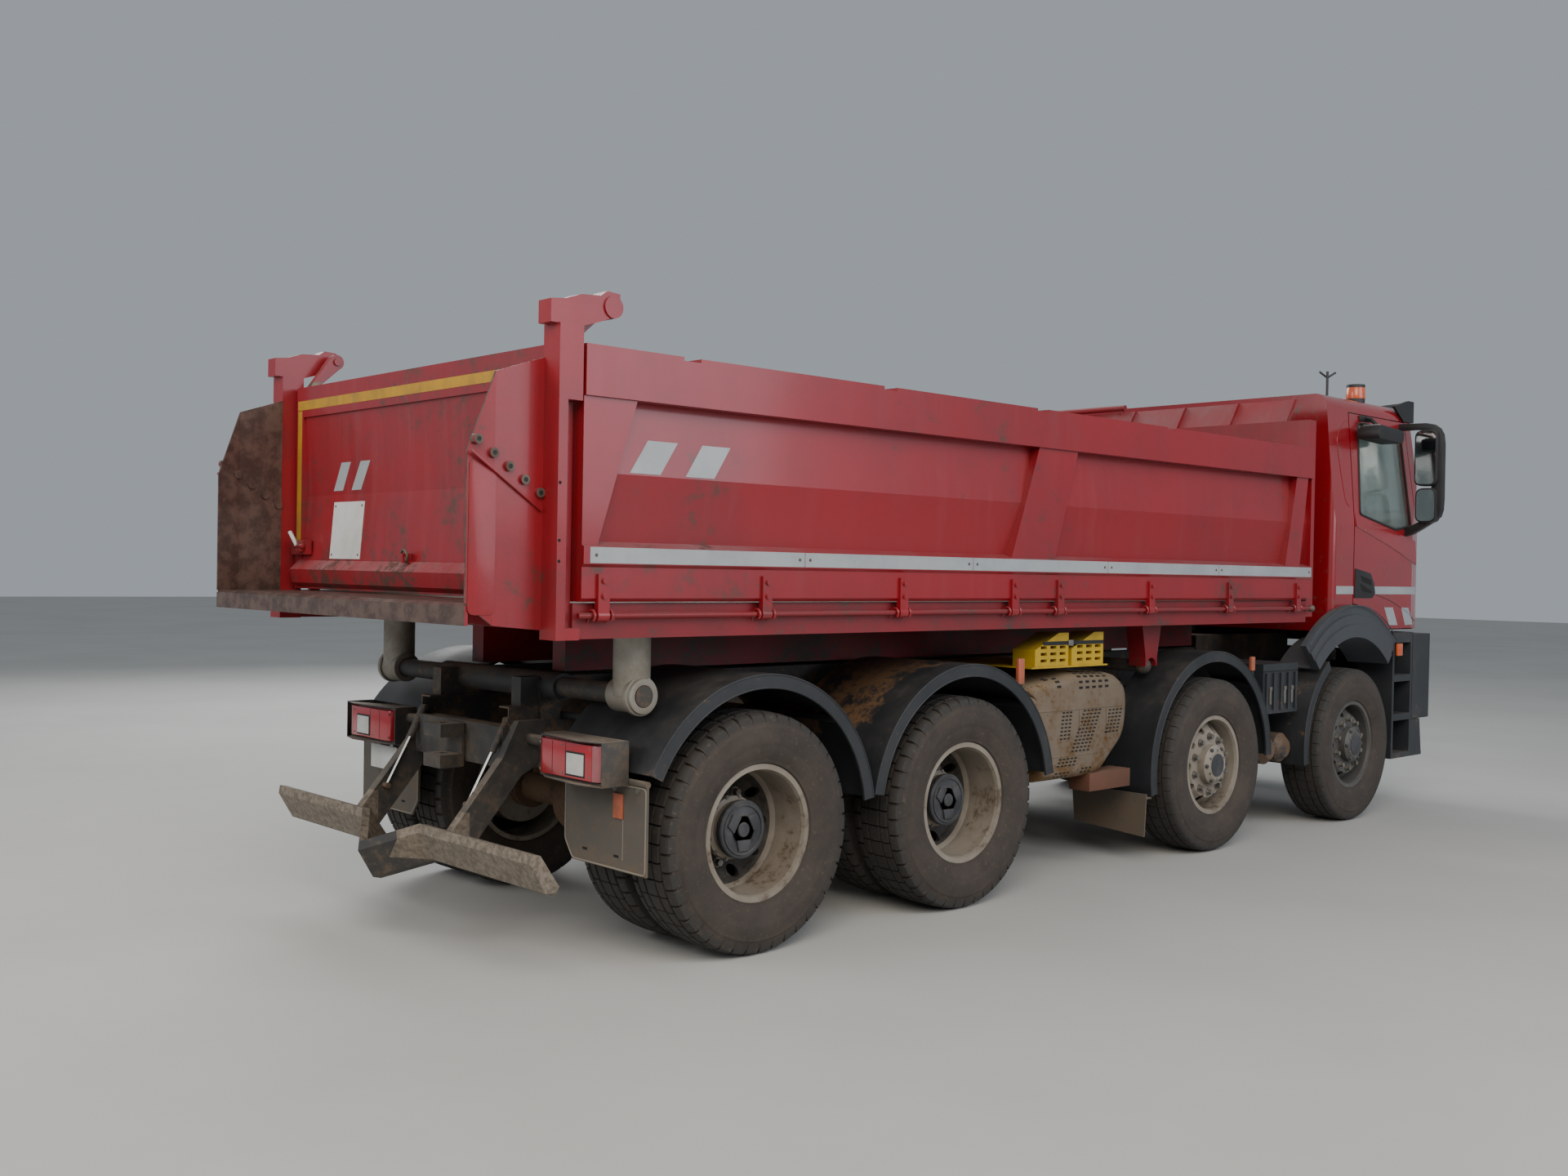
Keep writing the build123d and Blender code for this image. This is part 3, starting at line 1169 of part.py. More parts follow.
def cab_form(draw_in):
    """The cab's outer form, or the same form drawn in by this much."""
    half = cab_half_width - draw_in
    head_half = cab_roof_half - draw_in
    rear_x = cab_rear_x + draw_in
    base_z = cab_floor_z + max(draw_in, 0)
    roof_z = cab_roof_z - draw_in
    height = roof_z - base_z
    with BuildPart() as form:
        with BuildSketch(Plane.XY.offset(base_z)) as plan:
            with BuildLine():
                bow = front_arc(draw_in)
                Polyline(bow @ 1, (cab_front_x - 330, half), (rear_x, half), (rear_x, -half),
                         (cab_front_x - 330, -half), bow @ 0)
            make_face()
            corners = plan.vertices()
            fillet(corners.filter_by(lambda corner: corner.X < cab_front_x - 400), 50)
            ahead = corners.filter_by(lambda corner: corner.X > cab_front_x - 300)
            fillet(ahead.filter_by(lambda corner: abs(corner.Y) < half - 1), cab_corner_radius)
        extrude(plan.sketch, amount=height)
        # Sides that lean in above the sill, and the rounded roof edges
        with BuildSketch(cross_plane(rear_x - 1)) as front_view:
            with BuildLine():
                Polyline((-half, base_z), (half, base_z), (half, cab_sill_z), (head_half, roof_z),
                         (-head_half, roof_z),
                         (-half, cab_sill_z), close=True)
            make_face()
            fillet(front_view.vertices().filter_by(lambda corner: corner.Y > roof_z - 1),
                   roof_edge_radius - draw_in)
        extrude(front_view.sketch, amount=cab_front_x - cab_rear_x + 20, mode=Mode.INTERSECT)
        # Raked windscreen
        with BuildSketch(Plane.XY.offset(screen_base_z)) as ahead:
            with BuildLine():
                bow = front_arc(draw_in)
                Polyline(bow @ 1, (bow @ 1) + Vector(-260, 400), (cab_front_x + 900, half + 300),
                         (cab_front_x + 900, -half - 300),
                         (bow @ 0) + Vector(-260, -400), bow @ 0)
            make_face()
        rise = roof_z + 50 - screen_base_z
        extrude(ahead.sketch, amount=rise * math.hypot(1, rake_run), dir=(-rake_run, 0, 1),
                mode=Mode.SUBTRACT)
    return form.part


def side_prism(points, grow=0):
    """Block through both cab sides behind an outline of (x, z) points, grown by a gap."""
    with BuildPart() as prism:
        with BuildSketch(side_plane(cab_half_width + 20)) as outline:
            with BuildLine():
                Polyline(*points, close=True)
            make_face()
            if grow:
                offset(amount=grow, kind=Kind.INTERSECTION)
            with Locations((first_axle_x, axle_z)):
                Circle(arch_outer_radius + 10 - grow, mode=Mode.SUBTRACT)
        extrude(outline.sketch, amount=door_reach)
        mirror(about=Plane.XZ)
    return prism.part


door_outline = ((door_rear_x, door_bottom_z), (door_front_x, door_bottom_z), (door_front_x, door_sill_z),
                (door_front_x - 120, door_top_z), (door_rear_x, door_top_z))
doorway_outline = ((door_rear_x - door_swing_room, door_bottom_z), *door_outline[1:4],
                   (door_rear_x - door_swing_room, door_top_z))
window_outline = ((door_rear_x + 85, cab_floor_z + 830), (door_rear_x + 130, door_top_z - 60),
                  (door_front_x - 200, door_top_z - 60),
                  (door_front_x - 105, cab_floor_z + 770), (door_rear_x + 650, cab_floor_z + 735))
screen_outline = ((-screen_foot_half, screen_base_z + 30), (screen_foot_half, screen_base_z + 30),
                  (screen_head_half, screen_top_z), (-screen_head_half, screen_top_z))
cab_outside = cab_form(0)
cab_inside = cab_form(cab_wall)
glass_layer = cab_form(glass_depth) - cab_form(glass_depth + glass_wall)
screen_prism = extrude(
    (cross_plane(cab_front_x - 600) * make_face(Polyline(*screen_outline, close=True, mode=Mode.PRIVATE),
                                                mode=Mode.PRIVATE)),
    amount=700, mode=Mode.PRIVATE)
grille_skin = cab_form(-grille_stand) - cab_form(grille_depth)
with BuildPart() as grille_zone:
    slab(cab_front_x - 250, cab_front_x + 50, -grille_half, grille_half, grille_bottom_z, grille_top_z)
with BuildPart() as door_sides:
    slab(door_rear_x - 50, door_front_x + 50, 0, cab_half_width + 50, cab_floor_z - 50, cab_roof_z + 50)

# The floor stays in the shell inside the sill, and the door keeps clear of it
with BuildPart() as floor_kept:
    kept_half = cab_half_width - door_sill_depth - door_gap
    slab(door_rear_x - 50, door_front_x + 50, -kept_half, kept_half, cab_floor_z - 1, cab_floor_z + cab_wall)
with BuildPart() as door_skin:
    add(cab_outside)
    add(cab_inside, mode=Mode.SUBTRACT)
    left_half = cab_half_width - cab_wall
    slab(door_rear_x - 50, door_front_x + 50, -left_half, left_half, cab_floor_z - 1,
         cab_floor_z + cab_wall + door_gap, Mode.SUBTRACT)

with BuildPart() as cab_shell:
    add(cab_outside)
    add(cab_inside, mode=Mode.SUBTRACT)
    add(side_prism(doorway_outline, door_gap) - floor_kept.part, mode=Mode.SUBTRACT)
    add(screen_prism, mode=Mode.SUBTRACT)
    add(grille_skin & grille_zone.part, mode=Mode.SUBTRACT)
    # Arms down to the pins that the cab tilts on
    for side in (-1, 1):
        near, far = sorted((side * tilt_arm_inner_y, side * tilt_arm_outer_y))
        slab(cab_pivot_x - 24, cab_pivot_x + 10, near, far, cab_pivot_z, cab_floor_z + 1)
        bar_across(cab_pivot_x, cab_pivot_z, 38, near, far)
    bar_across(cab_pivot_x, cab_pivot_z, 21, -rail_outer_y, rail_outer_y, Mode.SUBTRACT)
save(cab_shell, "cab_shell")

with BuildPart() as cab_glass:
    add(glass_layer & screen_prism)
save(cab_glass, "cab_glass")

door_walls = door_skin.part & side_prism(door_outline)
door_panes = glass_layer & side_prism(window_outline)
window_holes = side_prism(window_outline)
for side, side_name in ((1, "left"), (-1, "right")):
    half_space = door_sides.part if side > 0 else mirror(door_sides.part, about=Plane.XZ, mode=Mode.PRIVATE)
    with BuildPart() as door:
        add((door_walls - window_holes) & half_space)
    save(door, f"door_{side_name}")
    with BuildPart() as door_glass:
        add(door_panes & half_space)
    save(door_glass, f"door_glass_{side_name}")

# Mirrors on two arms from the door's front pillar
mirror_x = door_front_x - 205
mirror_inner_y = 1222
mirror_outer_y = 1420
mirror_bottom_z = cab_floor_z + 770
mirror_top_z = cab_floor_z + 1500
mirror_depth = 96
mirror_arm_radius = 25
# Height of each arm at the housing, and its place on the door: distance forward and height
mirror_arms = ((mirror_top_z - 45, door_front_x - 175, mirror_top_z - 8),
               (mirror_bottom_z + 45, door_front_x - 60, cab_sill_z - 25))
for side, side_name in ((1, "left"), (-1, "right")):
    with BuildPart() as mirror_housing:
        near, far = sorted((side * mirror_inner_y, side * mirror_outer_y))
        slab(mirror_x - mirror_depth / 2, mirror_x + mirror_depth / 2, near, far, mirror_bottom_z,
             mirror_top_z)
        fillet(mirror_housing.edges().filter_by(Axis.Z), 34)
        fillet(mirror_housing.faces().sort_by(Axis.Z)[-1].edges(), 26)
        fillet(mirror_housing.faces().sort_by(Axis.Z)[0].edges(), 26)
        middle_y = side * (mirror_inner_y + mirror_outer_y) / 2
        for housing_z, foot_x, foot_z in mirror_arms:
            rod((mirror_x, middle_y, housing_z), (foot_x, side * (cab_half_width - 80), foot_z),
                mirror_arm_radius)
        add(cab_outside, mode=Mode.SUBTRACT)
        near, far = sorted((0, side * (cab_half_width - 72)))
        slab(mirror_x - 200, mirror_x + 300, near, far, mirror_bottom_z - 200, mirror_top_z + 200,
             Mode.SUBTRACT)
    save(mirror_housing, f"mirror_{side_name}")

# Wheel arches on the cab: a flat band outside, a liner over the tyre
arch_start = 47
arch_end = 134
liner_wall = 12
liner_inner_y = 905
with BuildPart() as cab_arches:
    arched_strip(first_axle_x, axle_z, arch_inner_radius, arch_outer_radius, arch_start, arch_end,
                 cab_half_width + arch_stand,
                 arch_stand)
    arched_strip(first_axle_x, axle_z, arch_inner_radius, arch_inner_radius + liner_wall, arch_start,
                 arch_end,
                 cab_half_width + arch_stand, cab_half_width + arch_stand - liner_inner_y)
    # The band steps in above the opening and again below its top
    arched_strip(first_axle_x, axle_z, arch_outer_radius - 70, arch_outer_radius + 1, arch_start - 1,
                 arch_end + 1,
                 cab_half_width + arch_stand + 1, 22, Mode.SUBTRACT)
    arched_strip(first_axle_x, axle_z, arch_inner_radius + 90, arch_outer_radius - 69, arch_start - 1,
                 arch_end + 1,
                 cab_half_width + arch_stand + 1, 9, Mode.SUBTRACT)
    both_sides()
save(cab_arches, "cab_arches")

# Dark trim: sun visor, grille, apron below the cab, beacon and aerial
visor_z = cab_roof_z - 25
visor_depth = 24
visor_height = 160
visor_bow = 245
visor_half = cab_roof_half + 10
beacon_x = first_axle_x + 450
beacon_y = -950
beacon_radius = 65
beacon_top_z = cab_roof_z + 132
aerial_x = first_axle_x + 10
aerial_top_z = cab_roof_z + 185
slat_height = 34
slat_pitch = 74
slat_count = 7
screen_head_x = cab_front_x - (screen_top_z - screen_base_z) * rake_run
with BuildPart() as cab_trim:
    add(grille_skin & grille_zone.part)
    for row in range(slat_count):
        slat_z = grille_bottom_z + 45 + row * slat_pitch
        slab(cab_front_x - 260, cab_front_x + 60, -grille_half + 50, grille_half - 50, slat_z,
             slat_z + slat_height, Mode.SUBTRACT)
    # Apron under the front panel
    with BuildSketch(Plane.XY.offset(cab_floor_z - apron_drop)) as apron:
        with BuildLine():
            bow = front_arc(0)
            Polyline(bow @ 1, (cab_front_x - 230, bow_half), (cab_front_x - 230, -bow_half), bow @ 0)
        make_face()
        with Locations((cab_front_x - 540, 0)):
            Rectangle(900, 4 * bow_half, mode=Mode.SUBTRACT)
        for side in (-1, 1):
            with Locations((cab_front_x, side * (apron_half + 500))):
                Rectangle(1000, 1000, mode=Mode.SUBTRACT)
    extrude(apron.sketch, amount=apron_drop)
    for side in (-1, 1):
        near, far = sorted((side * (tilt_arm_inner_y - tilt_arm_gap),
                            side * (tilt_arm_outer_y + tilt_arm_gap)))
        slab(cab_pivot_x - 24 - tilt_arm_gap, cab_front_x + 10, near, far, cab_floor_z - apron_drop - 1,
             cab_floor_z + 1, Mode.SUBTRACT)
    # Visor: a bowed strip ahead of the top of the windscreen, on brackets
    with BuildSketch(Plane.XY.offset(visor_z - visor_height / 2)) as visor:
        with BuildLine():
            lead_x = screen_head_x + 130
            end_x = lead_x - visor_bow
            outer = ThreePointArc((end_x, -visor_half), (lead_x, 0), (end_x, visor_half))
            inner = ThreePointArc((end_x - visor_depth, -visor_half), (lead_x - visor_depth, 0),
                                  (end_x - visor_depth, visor_half))
            Line(outer @ 0, inner @ 0)
            Line(outer @ 1, inner @ 1)
        make_face()
    extrude(visor.sketch, amount=visor_height)
    for bracket_y in (-880, -320, 320, 880):
        bracket_front_x = lead_x - visor_bow * (bracket_y / visor_half) ** 2 - visor_depth / 2
        slab(screen_head_x - 260, bracket_front_x, bracket_y - 12, bracket_y + 12, visor_z - 20, visor_z + 16)
    # Cheeks of the visor, back along the edge of the roof
    visor_low_z = visor_z - visor_height / 2
    visor_high_z = visor_z + visor_height / 2
    for side in (-1, 1):
        cheek_y = visor_half + 15 if side > 0 else -visor_half + 5
        side_plate(((end_x - 330, cab_roof_z - 5), (end_x - 170, visor_low_z), (end_x, visor_low_z),
                    (end_x, visor_high_z),
                    (end_x - 90, visor_high_z)), cheek_y, 20)
    bar_up(beacon_x, beacon_y, beacon_radius, cab_roof_z - 60, beacon_top_z)
    bar_up(aerial_x, beacon_y, 9, cab_roof_z - 60, aerial_top_z)
    rod((aerial_x, beacon_y, aerial_top_z - 45), (aerial_x + 60, beacon_y - 30, aerial_top_z - 5), 7)
    rod((aerial_x, beacon_y, aerial_top_z - 45), (aerial_x - 60, beacon_y + 30, aerial_top_z - 5), 7)
    add(cab_outside - grille_zone.part, mode=Mode.SUBTRACT)
save(cab_trim, "cab_trim")

# Inside the cab: two seats, and the dashboard with its column and wheel
seat_half = 255
seat_y = 560
seat_x = first_axle_x + 240
inner_floor_z = cab_floor_z + cab_wall
# Seat outline seen from the left: distance ahead of the backrest's foot, height above the cab floor
seat_outline = ((-20, 0), (430, 0), (430, 250), (500, 330), (500, 440), (60, 400), (-70, 960), (-90, 1180),
                (-180, 1180),
                (-170, 940), (-60, 330))
with BuildPart() as seats:
    side_plate([(seat_x + along, inner_floor_z + up) for along, up in seat_outline], seat_y + seat_half,
               2 * seat_half)
    slab(seat_x - 200, seat_x + 20, seat_y - seat_half - 1, seat_y - 130, inner_floor_z + 965,
         inner_floor_z + 1200, Mode.SUBTRACT)
    slab(seat_x - 200, seat_x + 20, seat_y + 130, seat_y + seat_half + 1, inner_floor_z + 965,
         inner_floor_z + 1200, Mode.SUBTRACT)
    both_sides()
save(seats, "seats")

dash_half = 1020
dash_rear_x = door_front_x - 175
dash_top_z = cab_sill_z + 20
steering_radius = 215
steering_x = dash_rear_x - 105
with BuildPart() as dashboard:
    side_plate(((dash_rear_x + 90, inner_floor_z), (cab_front_x - 300, inner_floor_z),
                (cab_front_x - 300, dash_top_z),
                (dash_rear_x + 60, dash_top_z), (dash_rear_x, dash_top_z - 120), (dash_rear_x + 30,
                                                                                  dash_top_z - 330)),
               dash_half, 2 * dash_half)
    rod((dash_rear_x + 60, seat_y, dash_top_z - 180), (steering_x, seat_y, dash_top_z - 40), 30)
    wheel_plane = Plane(origin=(steering_x, seat_y, dash_top_z - 40), x_dir=(0, 1, 0), z_dir=(-0.76, 0, 0.65))
    with BuildSketch(wheel_plane) as spokes:
        Circle(60)
        Rectangle(2 * steering_radius, 44)
    extrude(spokes.sketch, amount=14)
    with Locations(wheel_plane):
        Torus(steering_radius, 16)
save(dashboard, "dashboard")
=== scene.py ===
"""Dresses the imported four-axle tipper truck: finishes, tyres, lamps, strips, bolts, light and camera.

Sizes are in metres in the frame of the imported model: X forward, Y to the truck's left, Z up from the ground.
"""

import logging
import math
from collections.abc import Iterable, Sequence
from dataclasses import dataclass, field
from enum import Enum

import bmesh
import bpy
from bpy.types import GeometryNodeTree, Material, Mesh, Node, NodeSocket, NodeTree, Object
from mathutils import Matrix, Vector


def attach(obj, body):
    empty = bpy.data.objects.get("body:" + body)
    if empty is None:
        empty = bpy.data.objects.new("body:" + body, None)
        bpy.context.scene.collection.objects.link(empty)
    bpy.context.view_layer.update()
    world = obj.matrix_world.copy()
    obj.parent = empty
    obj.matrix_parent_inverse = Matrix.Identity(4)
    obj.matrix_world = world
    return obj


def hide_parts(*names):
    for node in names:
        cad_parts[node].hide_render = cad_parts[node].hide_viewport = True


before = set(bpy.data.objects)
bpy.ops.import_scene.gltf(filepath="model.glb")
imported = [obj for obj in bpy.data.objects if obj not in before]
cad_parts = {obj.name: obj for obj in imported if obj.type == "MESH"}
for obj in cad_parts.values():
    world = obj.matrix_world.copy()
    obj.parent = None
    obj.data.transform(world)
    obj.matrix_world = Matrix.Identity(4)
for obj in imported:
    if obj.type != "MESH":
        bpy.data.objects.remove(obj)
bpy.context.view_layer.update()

logging.basicConfig(level=logging.INFO, format="%(message)s")
LOG = logging.getLogger("tipper")

Point = tuple[float, float, float]
Flat = tuple[float, float]
Outline = tuple[Flat, ...]
# Left, low, right and high edge of an upright rectangle
Edges = tuple[float, float, float, float]
SIDES = (("left", 1), ("right", -1))
REARWARDS = (-1.0, 0.0, 0.0)

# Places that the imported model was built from
REAR_AXLE_X = -2.82
THIRD_AXLE_X = -1.43
SECOND_AXLE_X = 0.98
FIRST_AXLE_X = 2.82
AXLES = ((1, FIRST_AXLE_X), (2, SECOND_AXLE_X), (3, THIRD_AXLE_X), (4, REAR_AXLE_X))
AXLE_Z = 0.535
BODY_HALF = 1.275
CAB_HALF = 1.15
CAB_ROOF_HALF = 1.075
# Thickness of reflective tape
TAPE = 0.0012
# Span of a factor that is used as it is
WHOLE = (0.0, 1.0)


def linear(code: str) -> tuple[float, float, float, float]:
    """Turns an sRGB colour into the linear values that shaders take.

    Args:
        code: six hex digits.

    Returns:
        Red, green, blue and full alpha.
    """
    parts = [int(code[place:place + 2], 16) / 255 for place in (0, 2, 4)]
    red, green, blue = (part / 12.92 if part <= 0.04045 else ((part + 0.055) / 1.055) ** 2.4 for part in parts)
    return red, green, blue, 1.0


def add_node(tree: NodeTree, kind: str, settings: dict | None = None, inputs: dict | None = None) -> Node:
    """Adds a node with its settings, values and links.

    Args:
        tree: the tree that the node goes into.
        kind: the node's type.
        settings: properties of the node.
        inputs: a value or an output socket for each named or numbered input.

    Returns:
        The new node.
    """
    made = tree.nodes.new(kind)
    for name, value in (settings or {}).items():
        setattr(made, name, value)
    for key, value in (inputs or {}).items():
        if isinstance(value, NodeSocket):
            tree.links.new(value, made.inputs[key])
        else:
            made.inputs[key].default_value = value
    return made


@dataclass(frozen=True)
class Mask:
    """A box in the model's frame, where a finish changes; low and high Y are distances from the middle."""

    low: Point
    high: Point
    inward: bool = False

    def socket(self, tree: NodeTree, place: Node) -> NodeSocket:
        """Builds the mask from the split position.

        Args:
            tree: the material's tree.
            place: a Separate XYZ node with the position.

        Returns:
            A socket that is 1 inside the box.
        """
        across = add_node(tree, "ShaderNodeMath", {"operation": "ABSOLUTE"}, {0: place.outputs["Y"]}).outputs[0]
        result = None
        for axis, low, high in zip((place.outputs["X"], across, place.outputs["Z"]), self.low, self.high):
            above = add_node(tree, "ShaderNodeMath", {"operation": "GREATER_THAN"}, {0: axis, 1: low}).outputs[0]
            below = add_node(tree, "ShaderNodeMath", {"operation": "LESS_THAN"}, {0: axis, 1: high}).outputs[0]
            for part in (above, below):
                if result is not None:
                    part = add_node(tree, "ShaderNodeMath", {"operation": "MULTIPLY"}, {0: result, 1: part}).outputs[0]
                result = part
        if not self.inward:
            return result
        # Only faces that look at the truck's middle plane
        facing = add_node(tree, "ShaderNodeSeparateXYZ",
                          inputs={0: add_node(tree, "ShaderNodeNewGeometry").outputs["Normal"]}).outputs["Y"]
        outward = add_node(tree, "ShaderNodeMath", {"operation": "MULTIPLY"},
                           {0: facing, 1: place.outputs["Y"]}).outputs[0]
        inner = add_node(tree, "ShaderNodeMath", {"operation": "LESS_THAN"}, {0: outward, 1: 0.3}).outputs[0]
        return add_node(tree, "ShaderNodeMath", {"operation": "MULTIPLY"}, {0: result, 1: inner}).outputs[0]


@dataclass(frozen=True)
class Finish:
    """What a piece is made of, as a material that is built once."""

    name: str

    def build(self) -> Material:
        """Builds the material, or finds it under its name.

        Returns:
            The material.
        """
        known = bpy.data.materials.get(self.name)
        if known:
            return known
        material = bpy.data.materials.new(self.name)
        material.use_nodes = True
        tree = material.node_tree
        self.dress(tree, tree.nodes["Principled BSDF"], add_node(tree, "ShaderNodeTexCoord").outputs["Object"])
        return material

    def dress(self, tree: NodeTree, shader: Node, where: NodeSocket) -> None:
        """Adds the nodes of this finish.

        Args:
            tree: the material's tree.
            shader: its surface shader.
            where: the position that patterns read.
        """
        raise NotImplementedError


@dataclass
class Patterns:
    """Position and noises that the layers of one material share; blotch is the size of its patches."""

    tree: NodeTree
    where: NodeSocket
    blotch: float

    def __post_init__(self) -> None:
        """Adds the shared nodes."""
        self.place = add_node(self.tree, "ShaderNodeSeparateXYZ", inputs={0: self.where})
        self.blotches = add_node(self.tree, "ShaderNodeTexNoise", inputs={
            "Vector": self.where, "Scale": 1 / self.blotch, "Detail": 7.0, "Roughness": 0.62})
        self.speckle = add_node(self.tree, "ShaderNodeTexNoise", inputs={
            "Vector": self.where, "Scale": 7 / self.blotch, "Detail": 6.0, "Roughness": 0.7}).outputs[0]

    def mix(self, factor: NodeSocket, first: object, second: object, span: Flat) -> NodeSocket:
        """Mixes two colours by a factor stretched over a span.

        Args:
            factor: what drives the mix.
            first: colour or socket at the span's low end.
            second: colour or socket at its high end.
            span: the factor's low and high ends.

        Returns:
            The mixed colour.
        """
        stretched = add_node(self.tree, "ShaderNodeMapRange", {"interpolation_type": "SMOOTHSTEP"}, {
            "Value": factor, "From Min": span[0], "From Max": span[1]}).outputs[0]
        return add_node(self.tree, "ShaderNodeMix", {"data_type": "RGBA"}, {
            0: stretched, 6: first, 7: second}).outputs[2]


@dataclass(frozen=True)
class Weathered(Finish):
    """A surface in outdoor use: its own colour, patchy tone, settled dust, splashed mud, rust and a fine grain.

    Colours are sRGB hex digits. Gloss is the roughness where clean, film the dust everywhere, settled the dust on
    what faces up, splash the mud. Blotch and grain are sizes in metres.
    """

    colour: str
    tone: str
    gloss: float = 0.62
    metallic: float = 0.0
    coat: float = 0.0
    dust: str = "8a7f70"
    film: float = 0.1
    settled: float = 0.4
    mud: str = "6b4d33"
    mud_low_z: float = 0.3
    mud_high_z: float = 1.2
    splash: float = 0.0
    mud_box: Mask | None = None
    rust: str = "4f2613"
    rusting: float = 0.0
    blotch: float = 0.35
    streaks: float = 0.0
    grain: float = 0.004
    grain_depth: float = 0.0004
    # Box where the colour changes to another: wear on most finishes, the pale headlamps on the lamp lens, and on the
    # rear wheels' discs dirt with painted shade
    patch_box: Mask | None = None
    patch_colour: str = "57402f"
    patch_tone: str = "7b6655"
    patch_metallic: float = 0.35

    def dress(self, tree: NodeTree, shader: Node, where: NodeSocket) -> None:
        """Mixes the layers from the paint out to the rust, and sets gloss, metal, coat and grain.

        Args:
            tree: the material's tree.
            shader: its surface shader.
            where: the position that patterns read.
        """
        base = Patterns(tree, where, self.blotch)
        colour = base.mix(base.blotches.outputs[0], linear(self.colour), linear(self.tone), (0.35, 0.7))
        settled = self._settled(base)
        colour = base.mix(settled, colour, linear(self.dust), WHOLE)
        if self.splash:
            colour = base.mix(self._splashed(base), colour, linear(self.mud), WHOLE)
        if self.rusting:
            # More rust starts at a lower value of the noise
            edge = 0.78 - 0.3 * self.rusting
            colour = base.mix(base.speckle, colour, linear(self.rust), (edge, edge + 0.05))
        rough = add_node(tree, "ShaderNodeMapRange", inputs={
            "Value": settled, "To Min": self.gloss, "To Max": 0.92}).outputs[0]
        metal = None
        # Inside the box the patch colours replace the finish: wear, and on the rear wheels' discs dirt with painted
        # shade
        if self.patch_box:
            inside = self.patch_box.socket(tree, base.place)
            bare = base.mix(base.speckle, linear(self.patch_colour), linear(self.patch_tone), (0.38, 0.62))
            colour = base.mix(inside, colour, bare, WHOLE)
            metal = add_node(tree, "ShaderNodeMath", {"operation": "MULTIPLY"},
                             {0: inside, 1: self.patch_metallic}).outputs[0]
        tree.links.new(colour, shader.inputs["Base Color"])
        tree.links.new(rough, shader.inputs["Roughness"])
        if metal is None:
            shader.inputs["Metallic"].default_value = self.metallic
        else:
            tree.links.new(metal, shader.inputs["Metallic"])
        shader.inputs["Coat Weight"].default_value = self.coat
        shader.inputs["Coat Roughness"].default_value = 0.12
        fine = add_node(tree, "ShaderNodeTexNoise", inputs={"Vector": where, "Scale": 1 / self.grain, "Detail": 3.0})
        bump = add_node(tree, "ShaderNodeBump", inputs={
            "Height": fine.outputs[0], "Strength": 0.6, "Distance": self.grain_depth})
        tree.links.new(bump.outputs[0], shader.inputs["Normal"])

    def _settled(self, base: Patterns) -> NodeSocket:
        """Amount of dust: a film everywhere, more on what faces up, broken by blotches, with rain streaks if asked."""
        tree = base.tree
        facing = add_node(tree, "ShaderNodeSeparateXYZ",
                          inputs={0: add_node(tree, "ShaderNodeNewGeometry").outputs["Normal"]})
        upward = add_node(tree, "ShaderNodeMapRange", inputs={
            "Value": facing.outputs["Z"], "From Min": 0.35, "From Max": 0.9, "To Max": self.settled}).outputs[0]
        total = add_node(tree, "ShaderNodeMath", {"operation": "ADD"}, {0: upward, 1: self.film}).outputs[0]
        uneven = add_node(tree, "ShaderNodeMapRange", inputs={
            "Value": base.blotches.outputs[0], "From Min": 0.3, "From Max": 0.7, "To Min": 0.35,
            "To Max": 1.5}).outputs[0]
        total = add_node(tree, "ShaderNodeMath", {"operation": "MULTIPLY"}, {0: total, 1: uneven}).outputs[0]
        if self.streaks:
            stretched = add_node(tree, "ShaderNodeMapping", inputs={"Vector": base.where, "Scale": (9.0, 9.0, 0.55)})
            runs = add_node(tree, "ShaderNodeTexNoise", inputs={
                "Vector": stretched.outputs[0], "Scale": 1.6, "Detail": 5.0, "Roughness": 0.6}).outputs[0]
            streak = add_node(tree, "ShaderNodeMapRange", inputs={
                "Value": runs, "From Min": 0.5, "From Max": 0.8, "To Max": self.streaks}).outputs[0]
            total = add_node(tree, "ShaderNodeMath", {"operation": "ADD"}, {0: total, 1: streak}).outputs[0]
        return add_node(tree, "ShaderNodeClamp", inputs={0: total}).outputs[0]

    def _splashed(self, base: Patterns) -> NodeSocket:
        """Amount of mud: thick low down or inside its box, thinning out upwards in splashes."""
        tree = base.tree
        low = add_node(tree, "ShaderNodeMapRange", inputs={
            "Value": base.place.outputs["Z"], "From Min": self.mud_low_z, "From Max": self.mud_high_z,
            "To Min": self.splash, "To Max": self.splash * 0.25}).outputs[0]
        if self.mud_box:
            # The box's edge is made ragged by the large noise
            shifted = add_node(tree, "ShaderNodeVectorMath", {"operation": "MULTIPLY_ADD"}, {
                0: base.blotches.outputs["Color"], 1: (0.5, 0.5, 0.5), 2: base.where}).outputs[0]
            middle = add_node(tree, "ShaderNodeVectorMath", {"operation": "SUBTRACT"}, {
                0: shifted, 1: (0.25, 0.25, 0.25)}).outputs[0]
            ragged = add_node(tree, "ShaderNodeSeparateXYZ", inputs={0: middle})
            low = add_node(tree, "ShaderNodeMath", {"operation": "MULTIPLY"}, {
                0: self.mud_box.socket(tree, ragged), 1: self.splash}).outputs[0]
        broken = add_node(tree, "ShaderNodeMath", {"operation": "ADD"}, {
            0: base.blotches.outputs[0], 1: base.speckle}).outputs[0]
        spread = add_node(tree, "ShaderNodeMath", {"operation": "MULTIPLY_ADD"}, {0: low, 1: 0.7, 2: broken}).outputs[0]
        return add_node(tree, "ShaderNodeMapRange", {"interpolation_type": "SMOOTHSTEP"}, {
            "Value": spread, "From Min": 1.12, "From Max": 1.42}).outputs[0]


